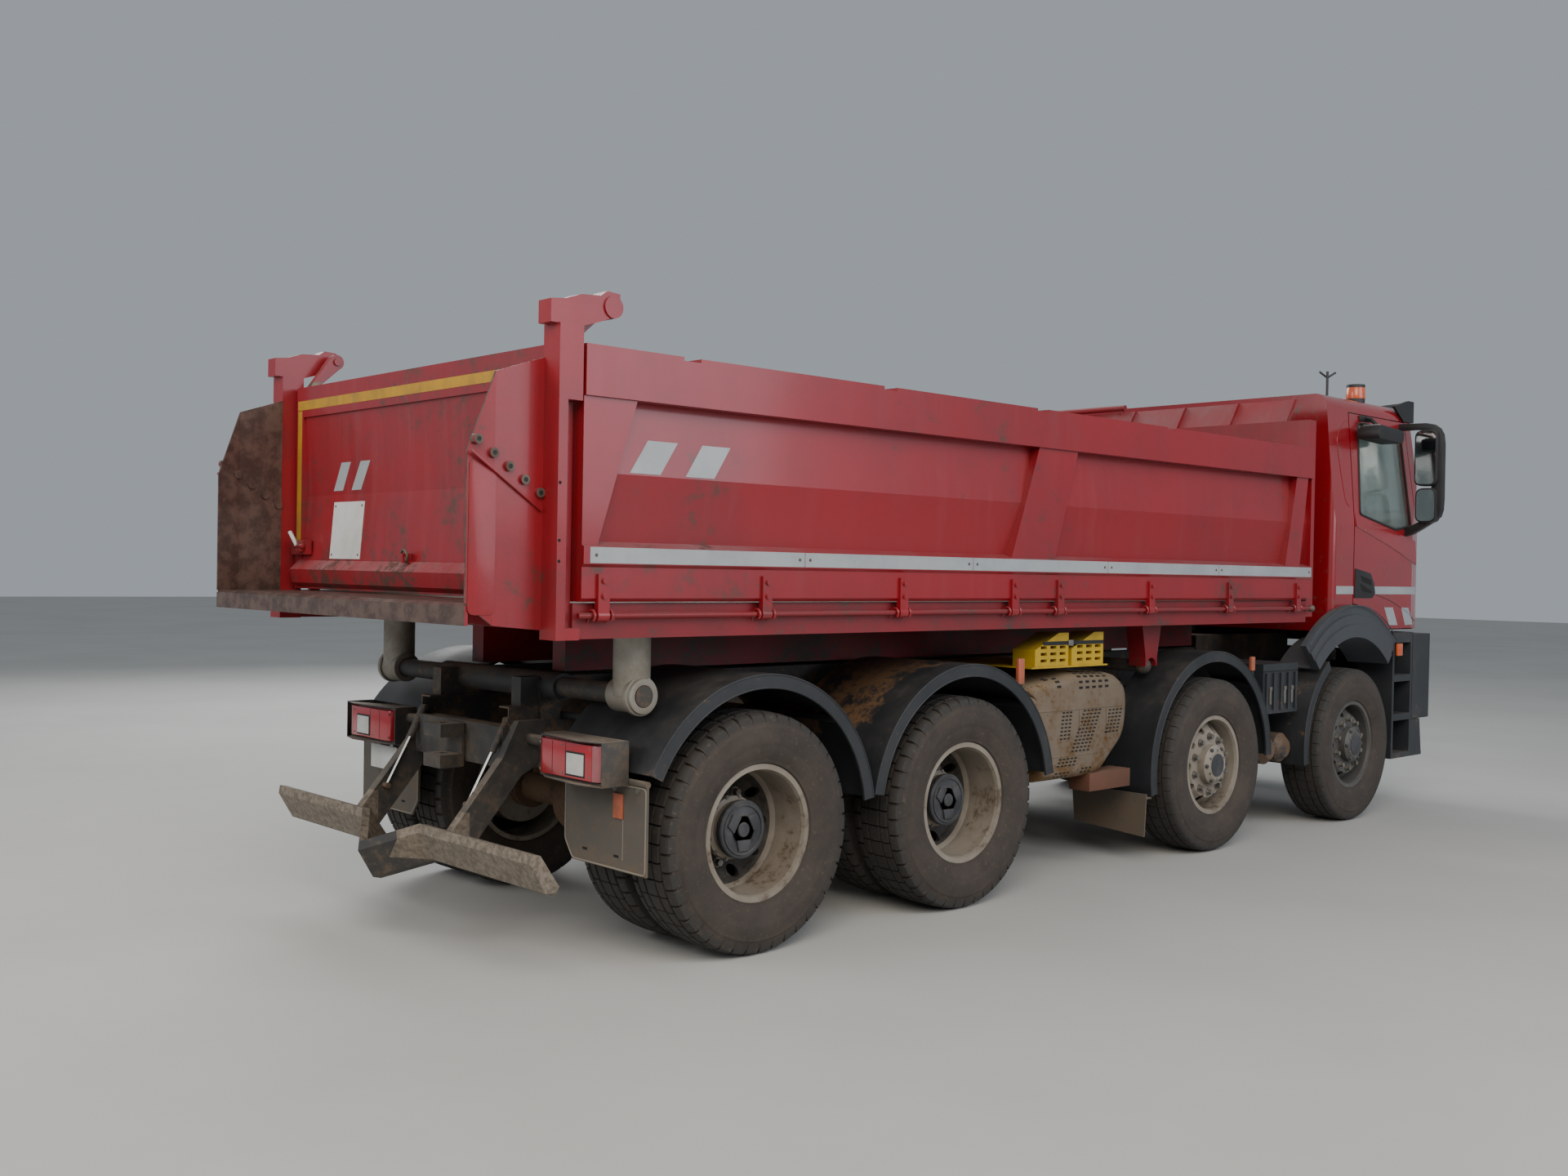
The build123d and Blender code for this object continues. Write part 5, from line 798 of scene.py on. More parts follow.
@dataclass
class TyreSet:
    """Road tyres with block or rib tread, ribbed flanks and a bead, in place of the plain ones."""

    radius: float = 0.535
    width: float = 0.315
    bead_radius: float = 0.291
    groove_depth: float = 0.014
    sipe_depth: float = 0.006
    pitches: int = 42
    slant: float = 0.1
    twin_offset: float = 0.172
    twin_plane_y: float = 0.917
    steer_y: float = 1.07

    def build(self) -> None:
        """Makes one object for each wheel."""
        for axle, axle_x in AXLES:
            for hand, side in SIDES:
                middles = [side * self.steer_y]
                if axle > 2:
                    middles = [side * (self.twin_plane_y + reach) for reach in (self.twin_offset, -self.twin_offset)]
                self._wheel(f"{axle}_{hand}", axle_x, middles, axle > 2)

    def _half_section(self, blocks: bool) -> list[tuple[float, float, int]]:
        """Half of the tyre's section, from the middle of the tread to the bead.

        Args:
            blocks: whether it is a drive tyre with deep shoulders.

        Returns:
            Distance from the middle, radius, and what is there: 0 is flank or groove, 1 is a middle block, 2 is a
            shoulder block.
        """
        half = self.width / 2
        crown = self.radius - 0.001
        floor = crown - self.groove_depth
        shoulder = crown - (0.038 if blocks else 0.026)
        tread = [(0.0, crown, 1), (0.03, crown, 1), (0.033, floor, 0), (0.041, floor, 0), (0.044, crown, 1),
                 (0.082, crown - 0.002, 1), (0.085, floor, 0), (0.094, floor, 0), (0.097, crown - 0.003, 2),
                 (0.126, crown - 0.006, 2), (0.138, crown - 0.014, 2), (0.1455, shoulder, 2)]
        # Distance inside the widest point, radius
        flank = [(0.011, 0.482), (0.0055, 0.468), (0.004, 0.466), (0.004, 0.462), (0.0015, 0.44), (0.0005, 0.415),
                 (0.0015, 0.392), (0.0035, 0.388), (0.0035, 0.38), (0.009, 0.355), (0.018, 0.328), (0.0255, 0.315),
                 (0.0255, 0.311), (0.034, 0.306), (0.0465, 0.297), (0.049, self.bead_radius)]
        return tread + [(half - inside, radius, 0) for inside, radius in flank]

    def _wheel(self, label: str, axle_x: float, middles: Sequence[float], blocks: bool) -> None:
        """Builds the tyre or twin tyres of one wheel.

        Args:
            label: axle number and side.
            axle_x: where the axle is.
            middles: middle planes of its tyres.
            blocks: whether it is a drive tyre with cut shoulders.
        """
        half = self._half_section(blocks)
        section = [(-y, radius, kind) for y, radius, kind in half[:0:-1]] + half
        # Share of a pitch, and which kind of block is cut away there
        if blocks:
            cuts = ((0.0, 0), (0.03, 2), (0.15, 2), (0.18, 0), (0.48, 0), (0.5, 1), (0.57, 1), (0.59, 0))
        else:
            cuts = ((0.0, 0), (0.02, 2), (0.05, 2), (0.07, 0), (0.5, 0), (0.52, 1), (0.55, 1), (0.57, 0))
        depth = self.groove_depth if blocks else self.sipe_depth
        points: list[Point] = []
        faces: list[tuple[int, ...]] = []
        running: list[float] = []
        rows = len(section)
        slots = self.pitches * len(cuts)
        for middle in middles:
            start = len(points)
            for step in range(slots):
                share, cut_kind = cuts[step % len(cuts)]
                for across, radius, kind in section:
                    cut = kind > 0 and kind == cut_kind
                    reach = radius - (depth if cut else 0.0)
                    lean = self.slant * across / self.width if kind else 0.0
                    turn = math.tau * (step // len(cuts) + share + lean) / self.pitches
                    points.append((axle_x + reach * math.sin(turn), middle + across, AXLE_Z + reach * math.cos(turn)))
                    running.append(1.0 if kind and not cut else 0.0)
            for step in range(slots):
                here, there = start + step * rows, start + (step + 1) % slots * rows
                faces += [(here + row, here + row + 1, there + row + 1, there + row) for row in range(rows - 1)]
                faces.append((here + rows - 1, here, there, there + rows - 1))
        mesh = bpy.data.meshes.new(f"road_tyre_{label}")
        mesh.from_pydata(points, [], faces)
        mesh.attributes.new("tread", "FLOAT", "POINT").data.foreach_set("value", running)
        work = bmesh.new()
        work.from_mesh(mesh)
        bmesh.ops.recalc_face_normals(work, faces=work.faces)
        made = hand_over(mesh, work, 32.0, TyreRubber(), f"wheel_{label}")
        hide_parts(f"tyre_{label}")


def set_on_points(name: str, tree: GeometryNodeTree, spots: Sequence[tuple[Point, ...]], values: dict,
                  body: str) -> Object:
    """Runs a tree over a cloud of points and turns the result into a plain mesh.

    Args:
        name: of the object.
        tree: what is set on every point.
        spots: each point's place, its "facing" direction and, where the tree takes one, its "along" direction.
        values: value of each named input.
        body: the moving body that carries the object.

    Returns:
        The object.
    """
    cloud = bpy.data.meshes.new(name)
    cloud.from_pydata([spot[0] for spot in spots], [], [])
    for place, label in enumerate(("facing", "along")[:len(spots[0]) - 1], 1):
        cloud.attributes.new(label, "FLOAT_VECTOR", "POINT")
        cloud.attributes[label].data.foreach_set("vector", [part for spot in spots for part in spot[place]])
    made = bpy.data.objects.new(name, cloud)
    bpy.context.scene.collection.objects.link(made)
    modifier = made.modifiers.new("set", "NODES")
    modifier.node_group = tree
    for socket in tree.interface.items_tree:
        if socket.in_out == "INPUT" and socket.name in values:
            modifier[socket.identifier] = values[socket.name]
    bpy.context.view_layer.update()
    solid = bpy.data.meshes.new_from_object(made.evaluated_get(bpy.context.evaluated_depsgraph_get()))
    made.modifiers.clear()
    made.data = solid
    bpy.data.meshes.remove(cloud)
    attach(made, body)
    LOG.info("piece %s: %d set on %s", name, len(spots), body)
    return made


def start_tree(name: str, inputs: Sequence[tuple[str, str]]) -> tuple[GeometryNodeTree, Node]:
    """Starts a Geometry Nodes tree that sets things on points.

    Args:
        name: of the tree.
        inputs: name and kind of each input between "Points" and "Finish".

    Returns:
        The tree, and the node that gives its inputs.
    """
    tree = bpy.data.node_groups.new(name, "GeometryNodeTree")
    for label, kind in (("Points", "Geometry"), *inputs, ("Finish", "Material")):
        tree.interface.new_socket(label, in_out="INPUT", socket_type=f"NodeSocket{kind}")
    tree.interface.new_socket("Set", in_out="OUTPUT", socket_type="NodeSocketGeometry")
    return tree, add_node(tree, "NodeGroupInput")


def end_tree(tree: GeometryNodeTree, given: Node, thing: NodeSocket, turn: NodeSocket) -> GeometryNodeTree:
    """Sets a thing on every point as plain faces with the finish.

    Args:
        tree: the tree.
        given: the node that gives its inputs.
        thing: what stands on a point.
        turn: its rotation there.

    Returns:
        The tree.
    """
    placed = add_node(tree, "GeometryNodeInstanceOnPoints", inputs={
        "Points": given.outputs["Points"], "Instance": thing, "Rotation": turn})
    real = add_node(tree, "GeometryNodeRealizeInstances", inputs={0: placed.outputs[0]})
    painted = add_node(tree, "GeometryNodeSetMaterial", inputs={
        "Geometry": real.outputs[0], "Material": given.outputs["Finish"]})
    add_node(tree, "NodeGroupOutput", inputs={0: painted.outputs[0]})
    return tree


def block_tree() -> GeometryNodeTree:
    """Geometry Nodes tree: a block at every point, its Z along "facing" and its X along "along".

    Returns:
        The tree, with its size and finish as named inputs.
    """
    name = "Blocks on points"
    known = bpy.data.node_groups.get(name)
    if known:
        return known
    tree, given = start_tree(name, [("Size", "Vector")])
    block = add_node(tree, "GeometryNodeMeshCube", inputs={"Size": given.outputs["Size"]})
    named = [add_node(tree, "GeometryNodeInputNamedAttribute", {"data_type": "FLOAT_VECTOR"},
                      {"Name": label}).outputs[0] for label in ("facing", "along")]
    turned = add_node(tree, "FunctionNodeAlignRotationToVector", {"axis": "Z"}, {"Vector": named[0]}).outputs[0]
    rolled = add_node(tree, "FunctionNodeAlignRotationToVector", {"axis": "X", "pivot_axis": "Z"},
                      {"Rotation": turned, "Vector": named[1]}).outputs[0]
    return end_tree(tree, given, block.outputs["Mesh"], rolled)


class HeadShape(Enum):
    """Number of sides of a fastener's head, or of a small round part."""

    HEXAGON = 6
    ROUND = 20


def stud_tree(shape: HeadShape) -> GeometryNodeTree:
    """Geometry Nodes tree: a head on a washer at every point, turned to the point's "facing" direction.

    Args:
        shape: of the head.

    Returns:
        The tree, with its sizes and finish as named inputs.
    """
    name = f"Studs with {shape.name.lower()} heads"
    known = bpy.data.node_groups.get(name)
    if known:
        return known
    tree, given = start_tree(name, [
        (f"{part} {size}", "Float") for part in ("Head", "Washer") for size in ("radius", "height")])
    joined = add_node(tree, "GeometryNodeJoinGeometry")
    for radius, height, sides in (("Head radius", "Head height", shape.value),
                                  ("Washer radius", "Washer height", HeadShape.ROUND.value)):
        block = add_node(tree, "GeometryNodeMeshCylinder", inputs={
            "Vertices": sides, "Radius": given.outputs[radius], "Depth": given.outputs[height]})
        half = add_node(tree, "ShaderNodeMath", {"operation": "MULTIPLY"}, {0: given.outputs[height], 1: 0.5})
        lift = add_node(tree, "ShaderNodeCombineXYZ", inputs={"Z": half.outputs[0]})
        raised = add_node(tree, "GeometryNodeTransform", inputs={
            "Geometry": block.outputs["Mesh"], "Translation": lift.outputs[0]})
        tree.links.new(raised.outputs[0], joined.inputs[0])
    facing = add_node(tree, "GeometryNodeInputNamedAttribute", {"data_type": "FLOAT_VECTOR"}, {"Name": "facing"})
    turned = add_node(tree, "FunctionNodeAlignRotationToVector", {"axis": "Z"}, {"Vector": facing.outputs[0]})
    return end_tree(tree, given, joined.outputs[0], turned.outputs[0])


@dataclass(frozen=True)
class StudSize:
    """Radius and height of a fastener's head, or of a small round part, and of the washer below it."""

    head_radius: float
    head_height: float
    washer_radius: float
    washer_height: float
    shape: HeadShape = HeadShape.HEXAGON


WHEEL_NUT = StudSize(0.0165, 0.03, 0.024, 0.006)
COVER_BOLT = StudSize(0.008, 0.007, 0.011, 0.002)
STRIP_RIVET = StudSize(0.005, 0.003, 0.007, 0.001, HeadShape.ROUND)
STRAP_BOLT = StudSize(0.011, 0.009, 0.015, 0.003, HeadShape.ROUND)
SIGN_RIVET = StudSize(0.005, 0.0025, 0.006, 0.0005, HeadShape.ROUND)
BOSS_RIM = StudSize(0.0135, 0.004, 0.019, 0.0025, HeadShape.ROUND)
BOSS_HOLE = StudSize(0.009, 0.005, 0.0092, 0.0049, HeadShape.ROUND)
POST_HOLE = StudSize(0.006, 0.0008, 0.0065, 0.0004, HeadShape.ROUND)
LENS_SCREW = StudSize(0.0038, 0.0016, 0.0055, 0.0006, HeadShape.ROUND)
FLAP_BOLT = StudSize(0.008, 0.006, 0.014, 0.002)
COLUMN_BOLT = StudSize(0.009, 0.008, 0.012, 0.002)
RAIL_BOLT = StudSize(0.012, 0.01, 0.017, 0.003)
TANK_BOLT = StudSize(0.011, 0.01, 0.017, 0.003)
CAP_LOCK = StudSize(0.014, 0.006, 0.03, 0.004, HeadShape.ROUND)


def set_studs(name: str, kind: StudSize, spots: Sequence[tuple[Point, Point]], finish: Finish, body: str) -> Object:
    """Sets like fasteners or small round parts on one body.

    Args:
        name: of the object.
        kind: their sizes and shape.
        spots: place and outward direction of each.
        finish: what they are made of.
        body: the moving body that carries them.

    Returns:
        The object.
    """
    values = {"Head radius": kind.head_radius, "Head height": kind.head_height, "Finish": finish.build(),
              "Washer radius": kind.washer_radius, "Washer height": kind.washer_height}
    return set_on_points(name, stud_tree(kind.shape), spots, values, body)


def set_blocks(name: str, size: Point, spots: Sequence[tuple[Point, Point, Point]], body: str) -> Object:
    """Sets dark blocks of painted shade for slots on one body: each has a place, an outward direction and a long
    direction.
    """
    return set_on_points(name, block_tree(), spots, {"Size": size, "Finish": RECESS_SHADE.build()}, body)


def surface(node: str, origin: Sequence[float], towards: Sequence[float]) -> Vector:
    """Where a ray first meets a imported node.

    Args:
        node: the node's name.
        origin: start of the ray.
        towards: its direction.

    Returns:
        The place.
    """
    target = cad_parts[node]
    back = target.matrix_world.inverted()
    hit, place, _, _ = target.ray_cast(back @ Vector(origin), back.to_3x3() @ Vector(towards))
    if not hit:
        raise ValueError(f"no surface of {node} from {tuple(origin)}")
    return target.matrix_world @ place


def soft_corners(outline: Sequence[Flat], reach: float, steps: int = 4) -> list[Flat]:
    """Rounds the corners of a closed outline with short curves.

    Args:
        outline: its corners.
        reach: how far from the corner a curve starts.
        steps: straight parts in each curve.

    Returns:
        Points of the rounded outline.
    """
    made = []
    count = len(outline)
    for place, point in enumerate(outline):
        corner, before, after = Vector(point), Vector(outline[place - 1]), Vector(outline[(place + 1) % count])
        cut = min(reach, (before - corner).length * 0.49, (after - corner).length * 0.49)
        start = corner + (before - corner).normalized() * cut
        end = corner + (after - corner).normalized() * cut
        for step in range(steps + 1):
            share = step / steps
            made.append(tuple(start * (1 - share) ** 2 + corner * (2 * share * (1 - share)) + end * share ** 2))
    return made


@dataclass(frozen=True)
class HubFit:
    """Where the bolts of one kind of wheel sit; Y is the distance from the truck's middle plane."""

    disc_y: float
    bolt_y: float
    bolt_circle: float
    bolt_count: int


@dataclass
class WheelHardware:
    """Wheel nuts, cover bolts and hub caps on the eight wheels; profiles are (distance outwards, radius) points."""

    nut_circle: float = 0.172
    nut_count: int = 10
    steered: HubFit = HubFit(1.16, 1.218, 0.088, 6)
    driven: HubFit = HubFit(0.93, 1.037, 0.14, 12)
    steer_face_y: float = 1.222
    drive_face_y: float = 1.1095
    grease_cap: Outline = ((0.0, 0.0), (0.0, 0.07), (0.004, 0.07), (0.005, 0.0))
    boss: Outline = ((0.0, 0.0), (0.0, 0.013), (0.01, 0.011), (0.012, 0.0))
    boss_circle: float = 0.108
    boss_count: int = 6
    boss_sunk: float = 0.01
    cover: Outline = ((-0.034, 0.0), (-0.034, 0.13), (-0.008, 0.132), (-0.001, 0.126), (0.0, 0.0))
    cover_rim: Outline = ((-0.002, 0.104), (-0.002, 0.116), (0.005, 0.114), (0.005, 0.106))
    cover_middle: Outline = ((0.0, 0.0), (0.0, 0.034), (0.007, 0.031), (0.008, 0.0))
    pad_circle: float = 0.07
    pad_count: int = 3
    pad_turn: float = 0.5
    pad_half: Flat = (0.024, 0.04)
    pad_height: float = 0.009
    drain_plug: Outline = ((0.0, 0.0), (0.0, 0.011), (0.012, 0.011), (0.012, 0.0))
    drain_shift: Point = (0.07, -0.0325, -0.085)

    def build(self) -> None:
        """Dresses each wheel."""
        for axle, x in AXLES:
            fit = self.steered if axle < 3 else self.driven
            for hand, side in SIDES:
                label = f"{axle}_{hand}"
                nuts = self._circle(x, side, fit.disc_y, self.nut_circle, self.nut_count)
                set_studs(f"wheel_nuts_{label}", WHEEL_NUT, nuts, ZINC, f"wheel_{label}")
                bolts = self._circle(x, side, fit.bolt_y, fit.bolt_circle, fit.bolt_count)
                set_studs(f"hub_bolts_{label}", COVER_BOLT, bolts, ZINC, f"wheel_{label}")
                if axle < 3:
                    self._steer_cap(label, x, side)
                else:
                    self._drive_cap(label, x, side)

    def _circle(self, x: float, side: int, y: float, radius: float, count: int) -> list[tuple[Point, Point]]:
        """Spots evenly round an axle, facing outwards."""
        turns = [math.tau * (step + 0.5) / count for step in range(count)]
        return [((x + radius * math.cos(turn), side * y, AXLE_Z + radius * math.sin(turn)), outwards(side))
                for turn in turns]

    def _steer_cap(self, label: str, x: float, side: int) -> None:
        """Pressed grease cap in the middle of a steered hub, with a ring of cast bosses."""
        cap = Mesher(f"hub_cap_{label}")
        cap.turned(self.grease_cap, (x, side * self.steer_face_y, AXLE_Z), outwards(side))
        for step in range(self.boss_count):
            turn = math.tau * step / self.boss_count
            middle = (x + self.boss_circle * math.cos(turn), side * (self.steer_face_y - self.boss_sunk),
                      AXLE_Z + self.boss_circle * math.sin(turn))
            cap.turned(self.boss, middle, outwards(side), 12)
        cap.build(HUB_IRON, f"wheel_{label}", "axle_iron", 0.001)

    def _drive_cap(self, label: str, x: float, side: int) -> None:
        """Reduction hub's cover: raised rim, middle boss, three pads and the drain plug."""
        cap = Mesher(f"hub_cap_{label}")
        face = Vector((x, side * self.drive_face_y, AXLE_Z))
        for profile, steps in ((self.cover, 48), (self.cover_rim, 48), (self.cover_middle, 24)):
            cap.turned(profile, face, outwards(side), steps)
        across, along = self.pad_half
        for step in range(self.pad_count):
            turn = math.tau * step / self.pad_count + self.pad_turn
            out = Vector((math.cos(turn), 0, math.sin(turn)))
            round_hub = Vector((-out.z, 0, out.x))
            corners = [face + (self.pad_circle + across * a) * out + along * b * round_hub
                       for a, b in ((-1, -1), (1, -0.7), (1, 0.7), (-1, 1))]
            cap.prism(corners, (0, side * self.pad_height, 0))
        shift_x, shift_y, shift_z = self.drain_shift
        cap.turned(self.drain_plug, face + Vector((shift_x, side * shift_y, shift_z)), outwards(side), 8)
        cap.build(HUB_IRON, f"wheel_{label}", "axle_iron", 0.0012)


@dataclass
class BoardTrim:
    """What is on the side boards: reflective strip with its rivets, slanted marks, hooks and strap bolts."""

    strap_stations: tuple[float, ...] = (-0.9, -0.03, 0.85, 1.7, 2.09, 2.96, 3.83, 4.68)
    ledge_y: float = 1.275
    strip_x: Flat = (-3.79, 2.02)
    strip_z: Flat = (1.704, 1.767)
    strip_pieces: int = 5
    strip_gap: float = 0.004
    rivet_inset: float = 0.03
    fold: Flat = (1.236, 2.06)
    top: Flat = (1.204, 2.355)
    mark_feet_x: Flat = (-3.575, -3.287)
    mark_z: Flat = (2.068, 2.205)
    mark_width: float = 0.155
    mark_lean: float = 0.1
    rod_y: float = 1.255
    rod_z: float = 1.497
    hook_radius: float = 0.021
    hook_bar: float = 0.0065
    hook_shift: float = 0.043
    hook_tail: Flat = (-0.034, -0.03)
    strap_face_y: float = 1.2745
    bolts_z: Flat = (1.575, 1.635)

    def build(self) -> None:
        """Dresses both boards."""
        for hand, side in SIDES:
            body = f"side_board_{hand}"
            self._strip(hand, side, body)
            self._marks(hand, side, body)
            self._hooks(hand, side)
            spots = [((REAR_AXLE_X + station, side * self.strap_face_y, z), outwards(side))
                     for station in self.strap_stations for z in self.bolts_z]
            set_studs(f"strap_bolts_{hand}", STRAP_BOLT, spots, BOARD_PAINT, body)

    def _strip(self, hand: str, side: int, body: str) -> None:
        """Long reflective strip in lengths that nearly meet, each riveted at its ends."""
        strip = Mesher(f"board_strip_{hand}")
        start, end = self.strip_x
        low, high = self.strip_z
        length = (end - start) / self.strip_pieces
        rivets = []
        for place in range(self.strip_pieces):
            x = start + place * length
            strip.side_plate(rectangle(x, low, x + length - self.strip_gap, high), side * self.ledge_y, side * TAPE)
            rivets += [x + self.rivet_inset, x + length - self.strip_gap - self.rivet_inset]
        strip.build(TAPE_GREY, body, "wheel_silver")
        spots = [((x, side * (self.ledge_y + TAPE), 0.5 * (low + high)), outwards(side)) for x in rivets]
        set_studs(f"strip_rivets_{hand}", STRIP_RIVET, spots, BARE_STEEL, body)

    def _marks(self, hand: str, side: int, body: str) -> None:
        """Two slanted marks near the rear, on the upper half of the folded panel."""
        marks = Mesher(f"board_marks_{hand}")
        low, high = self.mark_z
        (fold_y, fold_z), (top_y, top_z) = self.fold, self.top
        for foot in self.mark_feet_x:
            corners = [(foot, low), (foot + self.mark_width, low), (foot + self.mark_width + self.mark_lean, high),
                       (foot + self.mark_lean, high)]
            marks.prism([(x, side * (between(z, fold_z, top_z, fold_y, top_y) + 0.0002), z) for x, z in corners],
                        (0, side * TAPE, 0))
        marks.build(TAPE_GREY, body, "wheel_silver")

    def _hooks(self, hand: str, side: int) -> None:
        """Forged hooks on the bed that hold the hinge rod on both sides of each strap."""
        hooks = Mesher(f"rod_hooks_{hand}")
        bends = [math.radians(200 - 32 * step) for step in range(9)]
        section = [self.hook_tail] + [(self.hook_radius * math.cos(turn), self.hook_radius * math.sin(turn))
                                      for turn in bends]
        for station in self.strap_stations:
            for shift in (-self.hook_shift, self.hook_shift):
                x = REAR_AXLE_X + station + shift
                hooks.pipe([(x, side * (self.rod_y + y), self.rod_z + z) for y, z in section], self.hook_bar, 8)
        hooks.build(BED_PAINT, "bed", "bed_red")


@dataclass
class GateTrim:
    """What is on the tailgate: yellow contour strip, blank sign, slanted marks, ring shackle and latch levers."""

    frame_x: float = -3.88
    # Height of the folded panel's foot, fold and head, and how far each lies in front of the frame
    panel: tuple[Flat, ...] = ((1.703, 0.004), (2.016, 0.03), (2.41, 0.012))
    # Left, low, right and high edge of each length of the contour strip
    contour: tuple[Edges, ...] = ((-1.03, 2.446, 1.126, 2.492), (1.08, 1.77, 1.124, 2.442))
    sign_y: Flat = (0.455, 0.765)
    sign_z: Flat = (1.705, 1.98)
    sign_stand: float = 0.0025
    sign_sheet: float = 0.002
    rivet_inset: float = 0.02
    # Left edge of each mark at the foot and at the head
    marks: tuple[Flat, ...] = ((0.78, 0.69), (0.595, 0.495))
    mark_width: float = 0.095
    mark_z: Flat = (2.035, 2.17)
    shackle: Point = (-3.91, -0.032, 1.722)
    shackle_radius: float = 0.026
    shackle_bar: float = 0.006
    latch_y: float = 1.0
    latch_z: float = 1.765

    def build(self) -> None:
        """Builds the pieces."""
        strip = Mesher("gate_contour")
        for left, low, right, high in self.contour:
            strip.slab((self.frame_x - TAPE, left, low), (self.frame_x, right, high))
        strip.build(TAPE_YELLOW, "tailgate", "chock_yellow")
        self._sign()
        marks = Mesher("gate_marks")
        low, high = self.mark_z
        for foot, head in self.marks:
            corners = [(foot, low), (foot - self.mark_width, low), (head - self.mark_width, high), (head, high)]
            marks.prism([(self._panel_x(z) - 0.0014, y, z) for y, z in corners], (TAPE, 0, 0))
        marks.build(TAPE_GREY, "tailgate", "wheel_silver")
        self._eye()
        for hand, side in SIDES:
            self._lever(hand, side)

    def _panel_x(self, z: float) -> float:
        """Where the folded panel's face is at this height."""
        foot, fold, head = self.panel
        (low, low_in), (high, high_in) = (foot, fold) if z < fold[0] else (fold, head)
        return self.frame_x + between(z, low, high, low_in, high_in)

    def _sign(self) -> None:
        """Blank white sign on the lower half of the panel, held by four rivets."""
        (right, left), (low, high) = self.sign_y, self.sign_z
        sign = Mesher("gate_sign")
        sign.prism([(self._panel_x(z) - self.sign_stand, y, z) for y, z in rectangle(left, low, right, high)],
                   (self.sign_sheet, 0, 0))
        sign.build(PLATE_WHITE, "tailgate", "wheel_silver")
        spots = [((self._panel_x(z) - self.sign_stand, y, z), REARWARDS)
                 for y in (right + self.rivet_inset, left - self.rivet_inset)
                 for z in (low + self.rivet_inset, high - self.rivet_inset)]
        set_studs("sign_rivets", SIGN_RIVET, spots, ZINC, "tailgate")

    def _eye(self) -> None:
        """Ring shackle in the pull eye at the middle of the bottom beam, leaning a little to the rear."""
        eye = Mesher("gate_shackle")
        x, y, z = self.shackle
        turns = [math.tau * step / 20 for step in range(20)]
        eye.pipe([(x - 0.004 * math.sin(turn), y + self.shackle_radius * math.cos(turn),
                   z + self.shackle_radius * math.sin(turn)) for turn in turns], self.shackle_bar, 8, True)
        eye.build(BARE_STEEL, "tailgate", "ram_steel")

    def _lever(self, hand: str, side: int) -> None:
        """Over-centre latch beside a lower corner, with a pale grip."""
        latch = Mesher(f"gate_latch_{hand}")
        x, y, z = self.frame_x - 0.046, side * self.latch_y, self.latch_z
        latch.slab((x - 0.006, y - 0.03, z - 0.027), (x + 0.016, y + 0.03, z + 0.027))
        latch.pipe([(x, y - 0.045, z), (x, y + 0.045, z)], 0.011, 12)
        latch.build(GATE_PAINT, "tailgate", "bed_red", 0.002)
        grip = Mesher(f"gate_grip_{hand}")
        grip.pipe([(x, y + side * 0.02, z), (x - 0.014, y + side * 0.03, z + 0.035),
                   (x - 0.02, y + side * 0.06, z + 0.07)], 0.01, 10)
        grip.build(PLATE_WHITE, "tailgate", "wheel_silver")


@dataclass
class RearTrim:
    """What is on the rear frame: seam and hem on each wing, and holes in its ring bosses and in the posts, drawn as
    dark discs of painted shade.
    """

    wing_y: float = 1.172
    seam: Outline = ((-4.264, 2.106), (-3.955, 1.897), (-3.955, 1.909), (-4.264, 2.118))
    seam_height: float = 0.014
    hem: Outline = ((-4.262, 1.5), (-4.152, 1.5), (-4.152, 2.05), (-4.19, 2.058), (-4.262, 2.09))
    hem_sheet: float = 0.0035
    bend_x: float = -4.16
    bend_slope: float = 0.015 / 0.11
    boss_y: float = 1.184
    boss_start: Flat = (-4.238, 2.159)
    boss_pitch: Flat = (0.069, -0.047)
    boss_count: int = 5
    hole_x: float = -3.935
    holes_z: Point = (2.009, 1.788, 1.708)

    def build(self) -> None:
        """Builds the pieces on both sides."""
        (x0, z0), (step_x, step_z) = self.boss_start, self.boss_pitch
        for hand, side in SIDES:
            seam = Mesher(f"wing_seam_{hand}")
            seam.side_plate(self.seam, side * (self.wing_y - 0.001), side * self.seam_height)
            seam.build(REAR_PAINT, "bed", "bed_red", 0.002)
            hem = Mesher(f"wing_hem_{hand}")
            hem.prism([(x, side * (self.wing_y - 0.0005 + min(0.0, x - self.bend_x) * self.bend_slope), z)
                       for x, z in soft_corners(self.hem, 0.03)], (0, side * self.hem_sheet, 0))
            hem.build(REAR_PAINT, "bed", "bed_red", 0.001)
            bosses = [((x0 + step * step_x, side * self.boss_y, z0 + step * step_z), outwards(side))
                      for step in range(self.boss_count)]
            set_studs(f"boss_rims_{hand}", BOSS_RIM, bosses, BARE_STEEL, "bed")
            # The boss holes are dark discs in the seal rubber finish: painted shade inside the bosses' holes
            set_studs(f"boss_holes_{hand}", BOSS_HOLE, bosses, SEAL_RUBBER, "bed")
            # Dark discs of painted shade stand for the holes in the posts
            holes = [((self.hole_x, side * BODY_HALF, z), outwards(side)) for z in self.holes_z]
            set_studs(f"post_holes_{hand}", POST_HOLE, holes, RECESS_SHADE, "bed")


